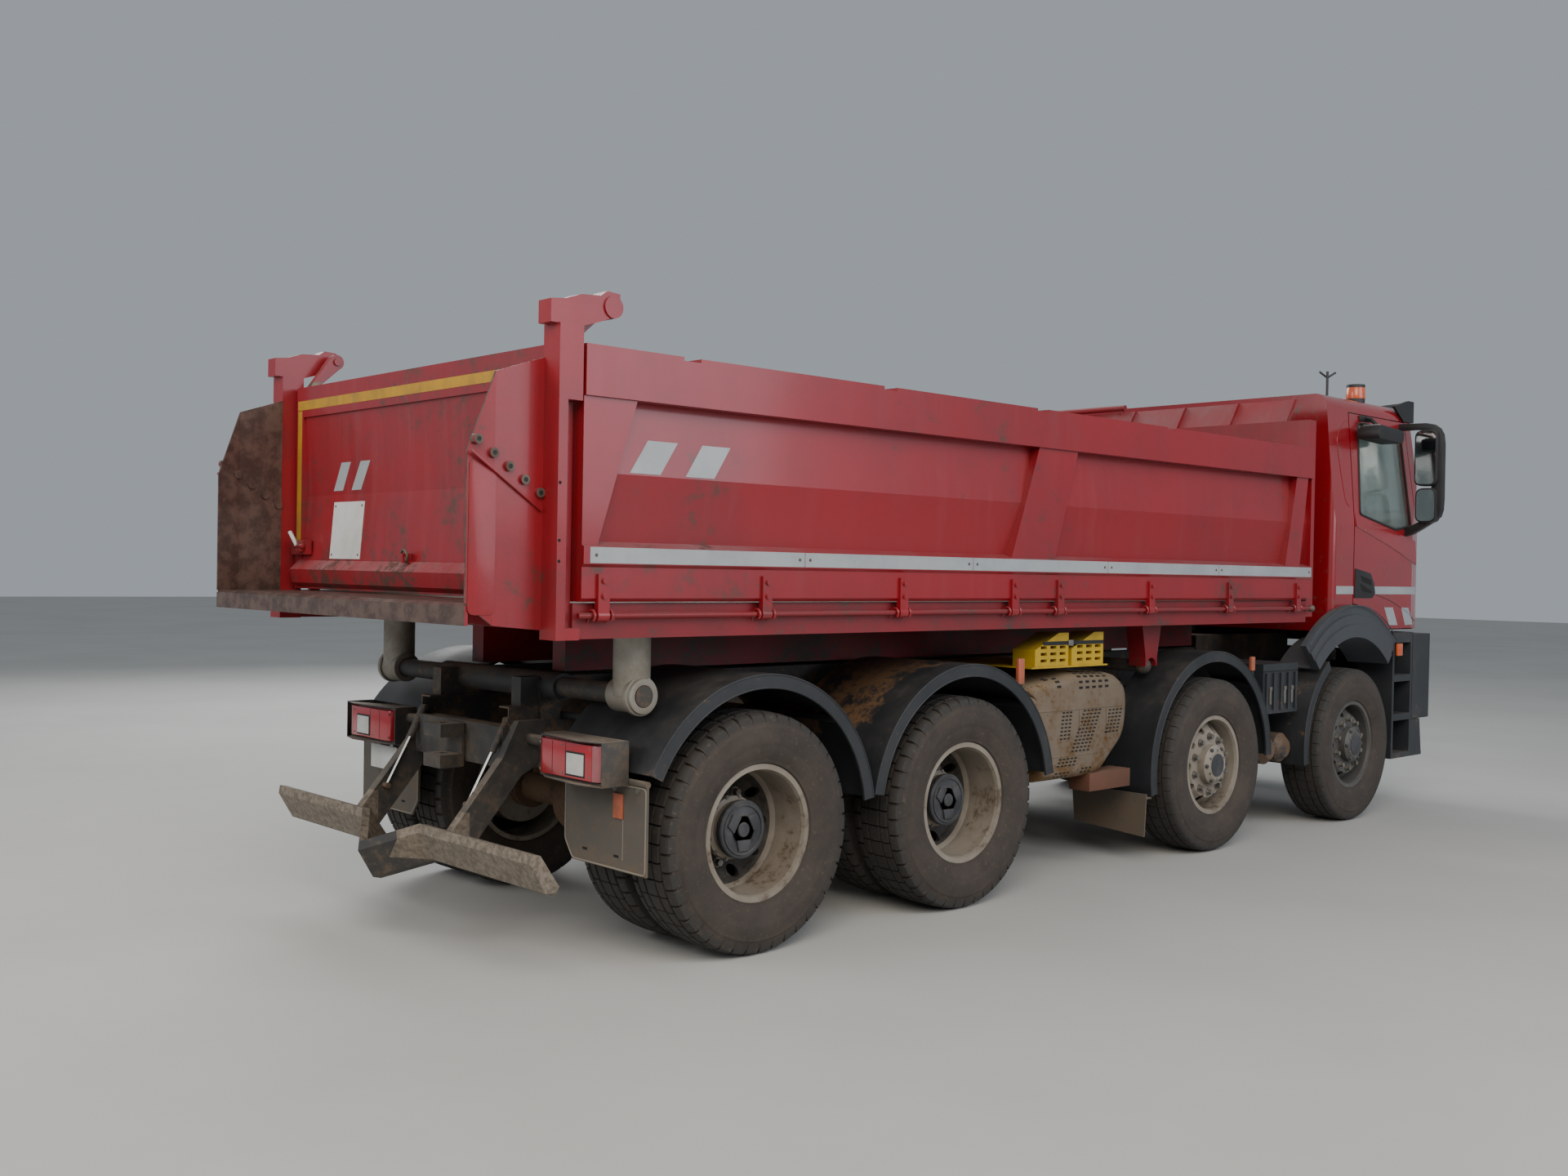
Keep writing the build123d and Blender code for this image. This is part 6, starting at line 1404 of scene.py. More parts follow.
@dataclass
class LampTrim:
    """What is on the lamps and flaps: hoods and lens covers, marker sticks, arch beads, flap beads, headlamp bezels.

    Outlines have (X, Y) or (Y, Z) points of the left side, and heights are Z.
    """

    hood: Outline = ((-3.566, 0.64), (-3.6, 0.7), (-3.632, 0.985), (-3.6, 1.1085), (-3.462, 1.1085),
                     (-3.462, 0.64))
    hood_sheets_z: Flat = (0.9685, 0.7875)
    sheet: float = 0.004
    lens_x: float = -3.602
    lens_z: Flat = (0.806, 0.954)
    lens: Outline = ((-3.569, 0.656), (-3.594, 0.664), (-3.602, 0.69), (-3.602, 1.045), (-3.569, 1.045))
    lens_end: Outline = ((-3.569, 1.0458), (-3.602, 1.0458), (-3.599, 1.064), (-3.59, 1.082), (-3.569, 1.096))
    lens_lines: tuple[Edges, ...] = ((0.76, 0.81, 0.763, 0.95), (0.856, 0.81, 0.859, 0.95),
                                     (0.862, 0.815, 0.998, 0.919))
    reflector: Edges = (0.87, 0.823, 0.99, 0.911)
    screws_y: Point = (0.672, 0.835, 1.03)
    screws_z: Flat = (0.822, 0.938)
    plate: Edges = (0.74, 0.64, 1.01, 0.76)
    plate_x: float = -3.516
    brackets_y: Flat = (0.79, 0.93)
    bracket_z: Flat = (0.69, 0.792)
    # Middle X, foot, head and half width of each marker stick
    sticks: tuple[Edges, ...] = ((-0.962, 1.11, 1.247, 0.026), (1.43, 1.1, 1.19, 0.022))
    stick_y: Flat = (1.18, 1.202)
    stalk_y: Flat = (1.184, 1.198)
    stalk_z: float = 1.04
    stalk_half: float = 0.012
    bead_radii: Flat = (0.757, 0.976)
    bead_turns: Flat = (47.5, 133.5)
    bead_y: float = 1.209
    arch_marker: Edges = (3.462, 1.14, 3.548, 1.23)
    arch_marker_y: Flat = (1.206, 1.222)
    flap_x: float = -3.448
    flap: Outline = ((0.645, 0.782), (1.214, 0.782), (1.214, 0.426), (0.703, 0.426), (0.645, 0.503))
    flap_line: Outline = ((1.06, 0.468), (1.06, 0.64))
    flap_reflector: Edges = (0.998, 0.64, 1.062, 0.745)
    slots: Outline = ((0.792, 0.479), (1.016, 0.479))
    slot_size: Point = (0.034, 0.011, 0.0016)
    flap_bolts_y: tuple[float, ...] = (0.68, 0.84, 1.0, 1.16)
    flap_bolts_z: float = 0.767
    headlamp: Edges = (0.802, 0.905, 1.038, 1.045)
    headlamp_z: float = 0.975
    bowls_y: Flat = (0.862, 0.952)
    bowl_ring: Outline = ((0.0, 0.036), (0.004, 0.036), (0.004, 0.042), (0.0, 0.042))
    bowl: Outline = ((-0.001, 0.0), (0.004, 0.0), (0.003, 0.02), (0.0, 0.036), (-0.001, 0.036))
    signal: Edges = (1.002, 0.915, 1.028, 1.035)

    def build(self) -> None:
        """Dresses both sides, and sets the blank number plate below the left lamp."""
        for hand, side in SIDES:
            self._hood(hand, side)
            self._lens(hand, side)
            self._markers(hand, side)
            self._arch(hand, side)
            self._flap(hand, side)
            self._headlamp(hand, side)
        plate = Mesher("rear_plate_blank")
        for y in self.brackets_y:
            plate.slab((self.plate_x + 0.004, y, self.bracket_z[0]),
                       (self.plate_x + 0.01, y + 0.03, self.bracket_z[1]))
        left, low, right, high = self.plate
        plate.slab((self.plate_x, left, low), (self.plate_x + 0.004, right, high))
        plate.build(PLATE_WHITE, "chassis", "wheel_silver", 0.001)

    def _hood(self, hand: str, side: int) -> None:
        """Sheet hood over, below and outside the rear lamp."""
        hood = Mesher(f"rear_lamp_hood_{hand}")
        for low in self.hood_sheets_z:
            hood.prism([(x, side * y, low) for x, y in self.hood], (0, 0, self.sheet))
        (front_x, cheek_y), (rear_x, _) = self.hood[4], self.hood[3]
        hood.slab((rear_x, side * cheek_y, self.hood_sheets_z[1]),
                  (front_x, side * (cheek_y + self.sheet), self.hood_sheets_z[0] + self.sheet))
        hood.build(BUMPER_STEEL, "chassis", "chassis_grey", 0.0008)

    def _lens(self, hand: str, side: int) -> None:
        """Red cover with a square reflector, dividers and screws, and a pale end wrapped round the corner."""
        low, high = self.lens_z
        for name, outline, finish in (("rear_lens", self.lens, LENS_RED), ("rear_lens_end", self.lens_end, LENS_PALE)):
            cover = Mesher(f"{name}_{hand}")
            cover.prism([(x, side * y, low) for x, y in outline], (0, 0, high - low))
            cover.build(finish, "chassis", "lamp_lens", 0.003)
        lines = Mesher(f"rear_lens_lines_{hand}")
        for edges in self.lens_lines:
            lines.cross_plate(mirrored(rectangle(*edges), side), self.lens_x + 0.001, -0.0016)
        lines.build(SEAL_RUBBER, "chassis", "trim_black")
        square = Mesher(f"rear_reflector_{hand}")
        square.cross_plate(mirrored(rectangle(*self.reflector), side), self.lens_x, -0.004)
        square.build(LENS_CLEAR, "chassis", "lamp_lens", 0.001)
        spots = [((self.lens_x, side * y, z), REARWARDS) for y in self.screws_y for z in self.screws_z]
        set_studs(f"lens_screws_{hand}", LENS_SCREW, spots, ZINC, "chassis")

    def _markers(self, hand: str, side: int) -> None:
        """Orange marker sticks on their stalks behind two fenders."""
        sticks, stalks = Mesher(f"marker_sticks_{hand}"), Mesher(f"marker_stalks_{hand}")
        (near, far), (stalk_near, stalk_far) = self.stick_y, self.stalk_y
        for x, low, high, half in self.sticks:
            sticks.slab((x - half, side * near, low), (x + half, side * far, high))
            stalks.slab((x - self.stalk_half, side * stalk_near, self.stalk_z),
                        (x + self.stalk_half, side * stalk_far, low))
        sticks.build(MARKER_AMBER, "chassis", "lamp_lens", 0.007)
        stalks.build(BLACK_PLASTIC, "chassis", "trim_black", 0.002)

    def _arch(self, hand: str, side: int) -> None:
        """Beads along the cab's arch and the marker lamp in front of it."""
        beads = Mesher(f"arch_beads_{hand}")
        for radius in self.bead_radii:
            beads.pipe(wheel_arc(FIRST_AXLE_X, radius, side * self.bead_y, *self.bead_turns, 40), 0.004, 8)
        beads.build(ARCH_PLASTIC, "cab", "arch_grey")
        arch = Mesher(f"arch_marker_{hand}")
        rear, low, front, high = self.arch_marker
        near, far = self.arch_marker_y
        arch.slab((rear, side * near, low), (front, side * far, high))
        arch.build(LENS_AMBER, "cab", "lamp_lens", 0.006)

    def _flap(self, hand: str, side: int) -> None:
        """Bead round the rear flap and its pressed line, paler with dust and a painted highlight, and its reflector,
        slots of painted shade and bolts.
        """
        bead = Mesher(f"flap_bead_{hand}")
        for outline, radius, closed in ((soft_corners(self.flap, 0.02), 0.004, True), (self.flap_line, 0.002, False)):
            bead.pipe([(self.flap_x, side * y, z) for y, z in outline], radius, 8, closed)
        bead.build(FLAP_EDGE_HIGHLIGHT, "chassis", "flap_rubber")
        mark = Mesher(f"flap_reflector_{hand}")
        mark.cross_plate(mirrored(rectangle(*self.flap_reflector), side), self.flap_x, -0.008)
        mark.build(MARKER_AMBER, "chassis", "lamp_lens", 0.002)
        slots = [((self.flap_x, side * y, z), REARWARDS, (0.0, 1.0, 0.0)) for y, z in self.slots]
        set_blocks(f"flap_slots_{hand}", self.slot_size, slots, "chassis")
        bolts = [((self.flap_x, side * y, self.flap_bolts_z), REARWARDS) for y in self.flap_bolts_y]
        set_studs(f"flap_bolts_{hand}", FLAP_BOLT, bolts, ZINC, "chassis")

    def _headlamp(self, hand: str, side: int) -> None:
        """Black bezel round the headlamp, two bright bowls and the turn signal beside them."""
        bezel, bowls = Mesher(f"headlamp_bezel_{hand}"), Mesher(f"headlamp_bowls_{hand}")
        faces = [surface("lamps", (5.0, side * y, z), REARWARDS)
                 for y, z in soft_corners(rectangle(*self.headlamp), 0.02)]
        bezel.pipe([face + Vector((0.001, 0, 0)) for face in faces], 0.007, 8, True)
        for y in self.bowls_y:
            face = surface("lamps", (5.0, side * y, self.headlamp_z), REARWARDS)
            bezel.turned(self.bowl_ring, face, (1, 0, 0), 32)
            bowls.turned(self.bowl, face, (1, 0, 0), 32)
        bezel.build(BLACK_PLASTIC, "chassis", "trim_black")
        bowls.build(LENS_CLEAR, "chassis", "lamp_lens")
        near, low, far, high = self.signal
        x = surface("lamps", (5.0, side * 0.5 * (near + far), self.headlamp_z), REARWARDS).x
        signal = Mesher(f"turn_signal_{hand}")
        signal.slab((x - 0.002, side * near, low), (x + 0.003, side * far, high))
        signal.build(LENS_AMBER, "chassis", "lamp_lens", 0.001)


@dataclass
class MirrorSet:
    """Mirrors in place of the plain ones: a curved casing from the upper to the lower arm round two glasses.

    Outlines have (Y, Z) points of the left side.
    """

    outer: Outline = ((1.078, 2.862), (1.29, 2.858), (1.345, 2.846), (1.385, 2.816), (1.408, 2.772), (1.417, 2.7),
                      (1.419, 2.3), (1.415, 2.215), (1.4, 2.165), (1.35, 2.125), (1.27, 2.075), (1.2, 2.035),
                      (1.14, 2.02))
    inner: Outline = ((1.14, 2.085), (1.19, 2.1), (1.25, 2.13), (1.31, 2.17), (1.335, 2.23), (1.34, 2.7),
                      (1.325, 2.765), (1.29, 2.8), (1.22, 2.812), (1.08, 2.812))
    arm_x: float = 3.69
    arm_depth: float = 0.06
    units: tuple[Edges, ...] = ((1.224, 2.392, 1.392, 2.802), (1.236, 2.122, 1.392, 2.376))
    unit_x: float = 3.655
    unit_depth: float = 0.086
    glass_x: float = 3.6535
    glass_sheet: float = 0.003
    glass_inset: float = 0.012
    # (X, Z) points of the kerb mirror over the right door, and where it starts and ends across
    kerb: Outline = ((2.93, 2.69), (3.33, 2.675), (3.34, 2.77), (2.945, 2.79))
    kerb_y: Flat = (-1.135, -1.29)
    kerb_arm: tuple[Point, ...] = ((3.13, -1.2, 2.78), (3.13, -1.14, 2.845), (3.13, -1.085, 2.855))
    kerb_foot: tuple[Point, Point] = ((3.04, -1.1, 2.832), (3.22, -1.083, 2.872))
    kerb_top: tuple[Point, ...] = ((2.965, -1.155, 2.787), (3.32, -1.155, 2.769), (3.32, -1.27, 2.769),
                                   (2.965, -1.27, 2.787))

    def build(self) -> None:
        """Makes the mirrors of both doors and the kerb mirror."""
        for hand, side in SIDES:
            body = f"door_{hand}"
            casing, glass = Mesher(f"mirror_casing_{hand}"), Mesher(f"mirror_glass_{hand}")
            casing.cross_plate(mirrored(self.outer + self.inner, side), self.arm_x, self.arm_depth)
            for near, low, far, high in self.units:
                unit = soft_corners(rectangle(near, low, far, high), 0.055, 6)
                casing.cross_plate(mirrored(unit, side), self.unit_x, self.unit_depth)
                inset = self.glass_inset
                pane = soft_corners(rectangle(near + inset, low + inset, far - inset, high - inset), 0.045, 6)
                glass.cross_plate(mirrored(pane, side), self.glass_x, self.glass_sheet)
            made = casing.build(BLACK_PLASTIC, body, "mirror_black", 0.01, 50.0)
            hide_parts(f"mirror_{hand}")
            glass.build(MIRROR_GLASS, body, "wheel_silver")
        kerb = Mesher("kerb_mirror")
        start, end = self.kerb_y
        kerb.prism([(x, start, z) for x, z in soft_corners(self.kerb, 0.04)], (0, end - start, 0))
        kerb.pipe(self.kerb_arm, 0.014)
        kerb.slab(*self.kerb_foot)
        kerb.build(BLACK_PLASTIC, "door_right", "mirror_black", 0.012)
        top = Mesher("kerb_mirror_top")
        top.prism(self.kerb_top, (0, 0, 0.005))
        top.build(TAPE_GREY, "door_right", "wheel_silver", 0.002)


@dataclass
class CabTrim:
    """What is on the cab: insert and strips on the doors, belt wedge, creases, seals, wipers and the beacon's lens.

    Outlines have (X, Z) points.
    """

    waist_z: float = 2.08
    roof_rise: float = 0.91
    rear_strip: Edges = (2.628, 1.59, 2.884, 1.646)
    door_stripes: tuple[Outline, ...] = (((3.226, 1.59), (3.89, 1.59), (3.89, 1.646), (3.212, 1.646)),
                                         ((3.378, 1.494), (3.52, 1.493), (3.605, 1.361), (3.466, 1.363)),
                                         ((3.66, 1.491), (3.783, 1.49), (3.861, 1.364), (3.732, 1.359)))
    insert: Outline = ((2.905, 1.773), (3.141, 1.74), (3.196, 1.673), (3.221, 1.595), (3.176, 1.562), (2.898, 1.562))
    insert_height: float = 0.006
    grips: tuple[Outline, ...] = (((2.976, 1.724), (3.145, 1.696), (3.161, 1.651), (3.01, 1.681)),
                                  ((2.973, 1.667), (3.163, 1.611), (3.162, 1.594), (3.014, 1.611)))
    # Station, crease and upper edge of the belt's wedge
    belt: tuple[Point, ...] = ((2.9, 2.072, 2.18), (3.16, 2.01, 2.134), (3.425, 1.947, 2.082),
                               (3.6, 1.9, 2.046), (3.885, 1.816, 1.99))
    belt_height: float = 0.009
    window: Outline = ((2.975, 2.16), (3.02, 2.815), (3.7, 2.815), (3.795, 2.1), (3.54, 2.065))
    shut_line: Outline = ((3.238, 1.589), (3.486, 1.54), (3.771, 1.454), (3.895, 1.39))
    crease: Outline = ((2.884, 2.821), (2.841, 2.819), (2.739, 2.756), (2.682, 2.677), (2.7, 2.553), (2.733, 2.378),
                       (2.774, 2.221), (2.884, 2.193))
    grille_z: Flat = (1.47, 2.01)
    grille_half: float = 0.668
    grille_columns: int = 16
    wipers_y: Point = (0.8, 0.15, -0.5)
    wiper_z: float = 2.225
    wiper_foot_z: float = 2.12
    beacon: Outline = ((0.0, 0.0), (0.0, 0.068), (0.08, 0.066), (0.096, 0.055), (0.104, 0.03), (0.1055, 0.0))
    beacon_foot: Point = (3.27, -0.95, 3.018)

    def build(self) -> None:
        """Dresses both sides, the front, the screen and the roof."""
        for hand, side in SIDES:
            self._strips(hand, side)
            self._insert(hand, side)
            self._belt(hand, side)
            self._lines(hand, side)
        self._wipers()
        self._grille_backing()
        beacon = Mesher("beacon_lens")
        beacon.turned(self.beacon, self.beacon_foot, (0, 0, 1))
        beacon.build(LENS_AMBER, "cab", "lamp_lens", 0.002)

    def _side_y(self, z: float) -> float:
        """Half width of the cab at this height."""
        return CAB_HALF - max(0.0, z - self.waist_z) * (CAB_HALF - CAB_ROOF_HALF) / self.roof_rise

    def _along_side(self, outline: Iterable[Flat], side: int, stand: float) -> list[Point]:
        """Points of an outline on the cab's side, this far out from its sheet."""
        return [(x, side * (self._side_y(z) + stand), z) for x, z in outline]

    def _strips(self, hand: str, side: int) -> None:
        """Reflective strip behind and on the door, and two slanted stripes at the door's foot."""
        rear = Mesher(f"cab_strip_{hand}")
        rear.side_plate(rectangle(*self.rear_strip), side * CAB_HALF, side * TAPE)
        rear.build(TAPE_GREY, "cab", "wheel_silver")
        door = Mesher(f"door_strip_{hand}")
        for outline in self.door_stripes:
            door.side_plate(outline, side * CAB_HALF, side * TAPE)
        door.build(TAPE_GREY, f"door_{hand}", "wheel_silver")

    def _insert(self, hand: str, side: int) -> None:
        """Black moulding at the door's rear edge, with two recessed grips drawn as dark plates of painted shade."""
        insert = Mesher(f"door_insert_{hand}")
        insert.side_plate(soft_corners(self.insert, 0.012), side * CAB_HALF, side * self.insert_height)
        insert.build(BLACK_PLASTIC, f"door_{hand}", "trim_black", 0.002)
        grips = Mesher(f"door_grips_{hand}")
        for outline in self.grips:
            grips.side_plate(soft_corners(outline, 0.008), side * (CAB_HALF + self.insert_height - 0.001),
                             side * 0.0016)
        grips.build(RECESS_SHADE, f"door_{hand}", "trim_black")

    def _belt(self, hand: str, side: int) -> None:
        """Wedge of the belt line: a crease that falls to the front, with a sloping band above it."""
        belt = Mesher(f"door_belt_{hand}")
        belt.loft([[(x, side * (CAB_HALF + self.belt_height), low), (x, side * (CAB_HALF - 0.002), low - 0.006),
                    (x, side * (self._side_y(high) - 0.001), high)] for x, low, high in self.belt])
        belt.build(CAB_PAINT, f"door_{hand}", "body_red")

    def _lines(self, hand: str, side: int) -> None:
        """Seal round the door glass, shut line at the door's foot, and the curved crease behind the door."""
        seal = Mesher(f"window_seal_{hand}")
        seal.pipe(self._along_side(soft_corners(self.window, 0.03), side, 0.001), 0.008, 8, True)
        seal.pipe(self._along_side(self.shut_line, side, -0.0005), 0.0025, 6)
        seal.build(SEAL_RUBBER, f"door_{hand}", "trim_black")
        crease = Mesher(f"cab_crease_{hand}")
        # The rounding at the two ends is cut off
        smooth = soft_corners(self.crease, 0.05, 5)[6:-6]
        crease.pipe(self._along_side(smooth, side, -0.0008), 0.0045, 10)
        crease.build(CAB_PAINT, "cab", "body_red")

    def _grille_backing(self) -> None:
        """Dark sheet of painted shade on the front panel behind the grille's slats, in upright columns that follow its
        curve.
        """
        backing = Mesher("grille_backing")
        low, high = self.grille_z
        edges = [self.grille_half * (2 * step / self.grille_columns - 1) for step in range(self.grille_columns + 1)]
        faces = [surface("cab_shell", (5.0, y, 0.5 * (low + high)), REARWARDS) for y in edges]
        for here, there in zip(faces, faces[1:]):
            backing.prism([(here.x, here.y, low), (there.x, there.y, low), (there.x, there.y, high),
                           (here.x, here.y, high)], (0.0015, 0, 0))
        backing.build(RECESS_SHADE, "cab", "trim_black")

    def _wipers(self) -> None:
        """Three parked wipers at the foot of the windscreen, each blade following the glass."""
        wipers = Mesher("wipers")
        for pivot_y in self.wipers_y:
            spots = [(5.0, pivot_y - 0.02 - 0.055 * step, self.wiper_z) for step in range(9)]
            blade = [surface("cab_glass", spot, REARWARDS) + Vector((0.014, 0, 0)) for spot in spots]
            wipers.pipe(blade, 0.007, 8)
            foot = surface("cab_shell", (5.0, pivot_y, self.wiper_foot_z), REARWARDS)
            wipers.pipe([foot - Vector((0.005, 0, 0)), foot + Vector((0.016, 0, 0.015)),
                         blade[4] + Vector((0.012, 0, 0))], 0.008, 8)
        wipers.build(BLACK_PLASTIC, "cab", "trim_black")


@dataclass
class ShieldSet:
    """The silencer's pierced shield in place of the plain one, with rounded edges, slots drawn as dark blocks of
    painted shade, seams and the outlet duct.

    Outlines have (X, Z) points, and the shield is on the right side, so its outer face has the lowest Y.
    """

    arch_radius: float = 0.718
    arch_turns: tuple[float, ...] = (1.6, 8, 15, 22, 29, 37.1)
    outline: Outline = ((-0.85, 1.08), (-0.43, 1.15), (0.01, 1.135), (0.12, 1.06), (0.12, 0.885),
                        (0.09, 0.765), (-0.15, 0.555))
    outline_end: Flat = (-0.2, 0.555)
    middle: Flat = (-0.38, 0.85)
    half_size: Flat = (0.5, 0.3)
    # Y of each section, and how far its outline is drawn in
    sections: Outline = ((-0.43, 0.012), (-0.445, 0.0), (-1.07, 0.0), (-1.105, 0.007), (-1.13, 0.02),
                         (-1.145, 0.038), (-1.15, 0.06))
    brackets: tuple[tuple[Point, Point], ...] = (((-0.49, -0.431, 0.81), (-0.43, -0.385, 1.0)),
                                                 ((-0.05, -0.431, 0.81), (0.01, -0.385, 1.0)))
    # Opposite corners of each raised seam
    seams: tuple[tuple[Point, Point], ...] = (((-0.78, -1.1535, 0.944), (0.045, -1.145, 0.956)),
                                              ((-0.372, -1.154, 0.79), (-0.36, -1.145, 0.944)),
                                              ((-0.112, -1.154, 0.76), (-0.098, -1.145, 0.944)),
                                              ((-0.64, -1.153, 0.69), (-0.09, -1.145, 0.7)))
    # Upper rear slot of each group, columns, rows, both pitches and the shift of each row to the rear
    slot_groups: tuple[tuple[float, float, int, int, float, float, float], ...] = (
        (-0.515, 0.932, 3, 8, 0.034, 0.0205, -0.003), (-0.318, 0.934, 5, 12, 0.036, 0.02, -0.01),
        (-0.075, 0.926, 4, 7, 0.036, 0.0205, -0.006), (-0.54, 0.676, 5, 3, 0.036, 0.0185, -0.01),
        (-0.57, 0.6, 4, 2, 0.036, 0.019, -0.006), (-0.33, 0.612, 3, 2, 0.036, 0.019, -0.006))
    slot: Point = (0.022, 0.0085, 0.0016)
    # Station of each row of slots over the dome, and their angles above level
    dome_rows: tuple[tuple[float, tuple[int, ...]], ...] = (
        *((-0.36 + 0.062 * step, (12, 30, 48, 66, 84)) for step in range(5)),
        (-0.56, (20, 38, 56)), (-0.62, (60, 75)), (0.06, (20, 38, 56)), (0.01, (66, 80)))
    dome_middle: Flat = (-1.06, 1.045)
    dome_slot: Point = (0.034, 0.0135, 0.0016)
    duct_y: Flat = (-1.15, -1.01)
    duct_z: Flat = (0.475, 0.577)
    duct_x: Point = (-0.26, 0.07, 0.14)
    duct_wall: float = 0.006

    def build(self) -> None:
        """Makes the shield, its slots and the duct."""
        arc = [(THIRD_AXLE_X + self.arch_radius * math.cos(turn), AXLE_Z + self.arch_radius * math.sin(turn))
               for turn in map(math.radians, self.arch_turns)]
        outline = arc + soft_corners(self.outline, 0.06)[:-3] + [self.outline_end]
        (middle_x, middle_z), (half_x, half_z) = self.middle, self.half_size
        shield = Mesher("heat_shield").loft([
            [(middle_x + (x - middle_x) * (1 - inset / half_x), y, middle_z + (z - middle_z) * (1 - inset / half_z))
             for x, z in outline] for y, inset in self.sections])
        for low, high in self.brackets + self.seams:
            shield.slab(low, high)
        made = shield.build(SHIELD_STEEL, "chassis", "exhaust_steel", 0.0015, 40.0)
        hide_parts("silencer")
        bpy.context.view_layer.update()
        self._side_slots(made)
        self._dome_slots(made)
        self._duct()

    def _side_slots(self, shield: Object) -> None:
        """Six groups of small slots on the shield's side; a slot that would miss the flat face is left out."""
        spots: list[tuple[Point, Point, Point]] = []
        for x0, z0, columns, rows, pitch_x, pitch_z, shift in self.slot_groups:
            for row in range(rows):
                for column in range(columns):
                    start = Vector((x0 + column * pitch_x + row * shift, -1.4, z0 - row * pitch_z))
                    hit, place, normal, _ = shield.ray_cast(start, Vector((0, 1, 0)))
                    if hit and place.y < -1.05:
                        spots.append((tuple(place), tuple(normal), (1.0, 0.0, 0.0)))
        set_blocks("shield_slots", self.slot, spots, "chassis")

    def _dome_slots(self, shield: Object) -> None:
        """Rows of larger slots over the shield's dome."""
        spots: list[tuple[Point, Point, Point]] = []
        for x, turns in self.dome_rows:
            for turn in turns:
                out = Vector((0, -math.cos(math.radians(turn)), math.sin(math.radians(turn))))
                hit, place, normal, _ = shield.ray_cast(Vector((x, *self.dome_middle)) + 0.5 * out, -out)
                if hit:
                    spots.append((tuple(place), tuple(normal), (1.0, 0.0, 0.0)))
        set_blocks("dome_slots", self.dome_slot, spots, "chassis")

    def _duct(self) -> None:
        """Square outlet duct below the shield, open at its front end."""
        (near, far), (low, high), (rear, sunk, front) = self.duct_y, self.duct_z, self.duct_x
        duct = Mesher("outlet_duct")
        sections = []
        for x, gap in ((rear, 0.0), (front, 0.0), (front, self.duct_wall), (sunk, self.duct_wall)):
            corners = rectangle(near + gap, low + gap, far - gap, high - gap)
            sections.append([(x, y, z) for y, z in corners])
        duct.loft(sections)
        duct.build(DUCT_STEEL, "chassis", "exhaust_steel", 0.002)


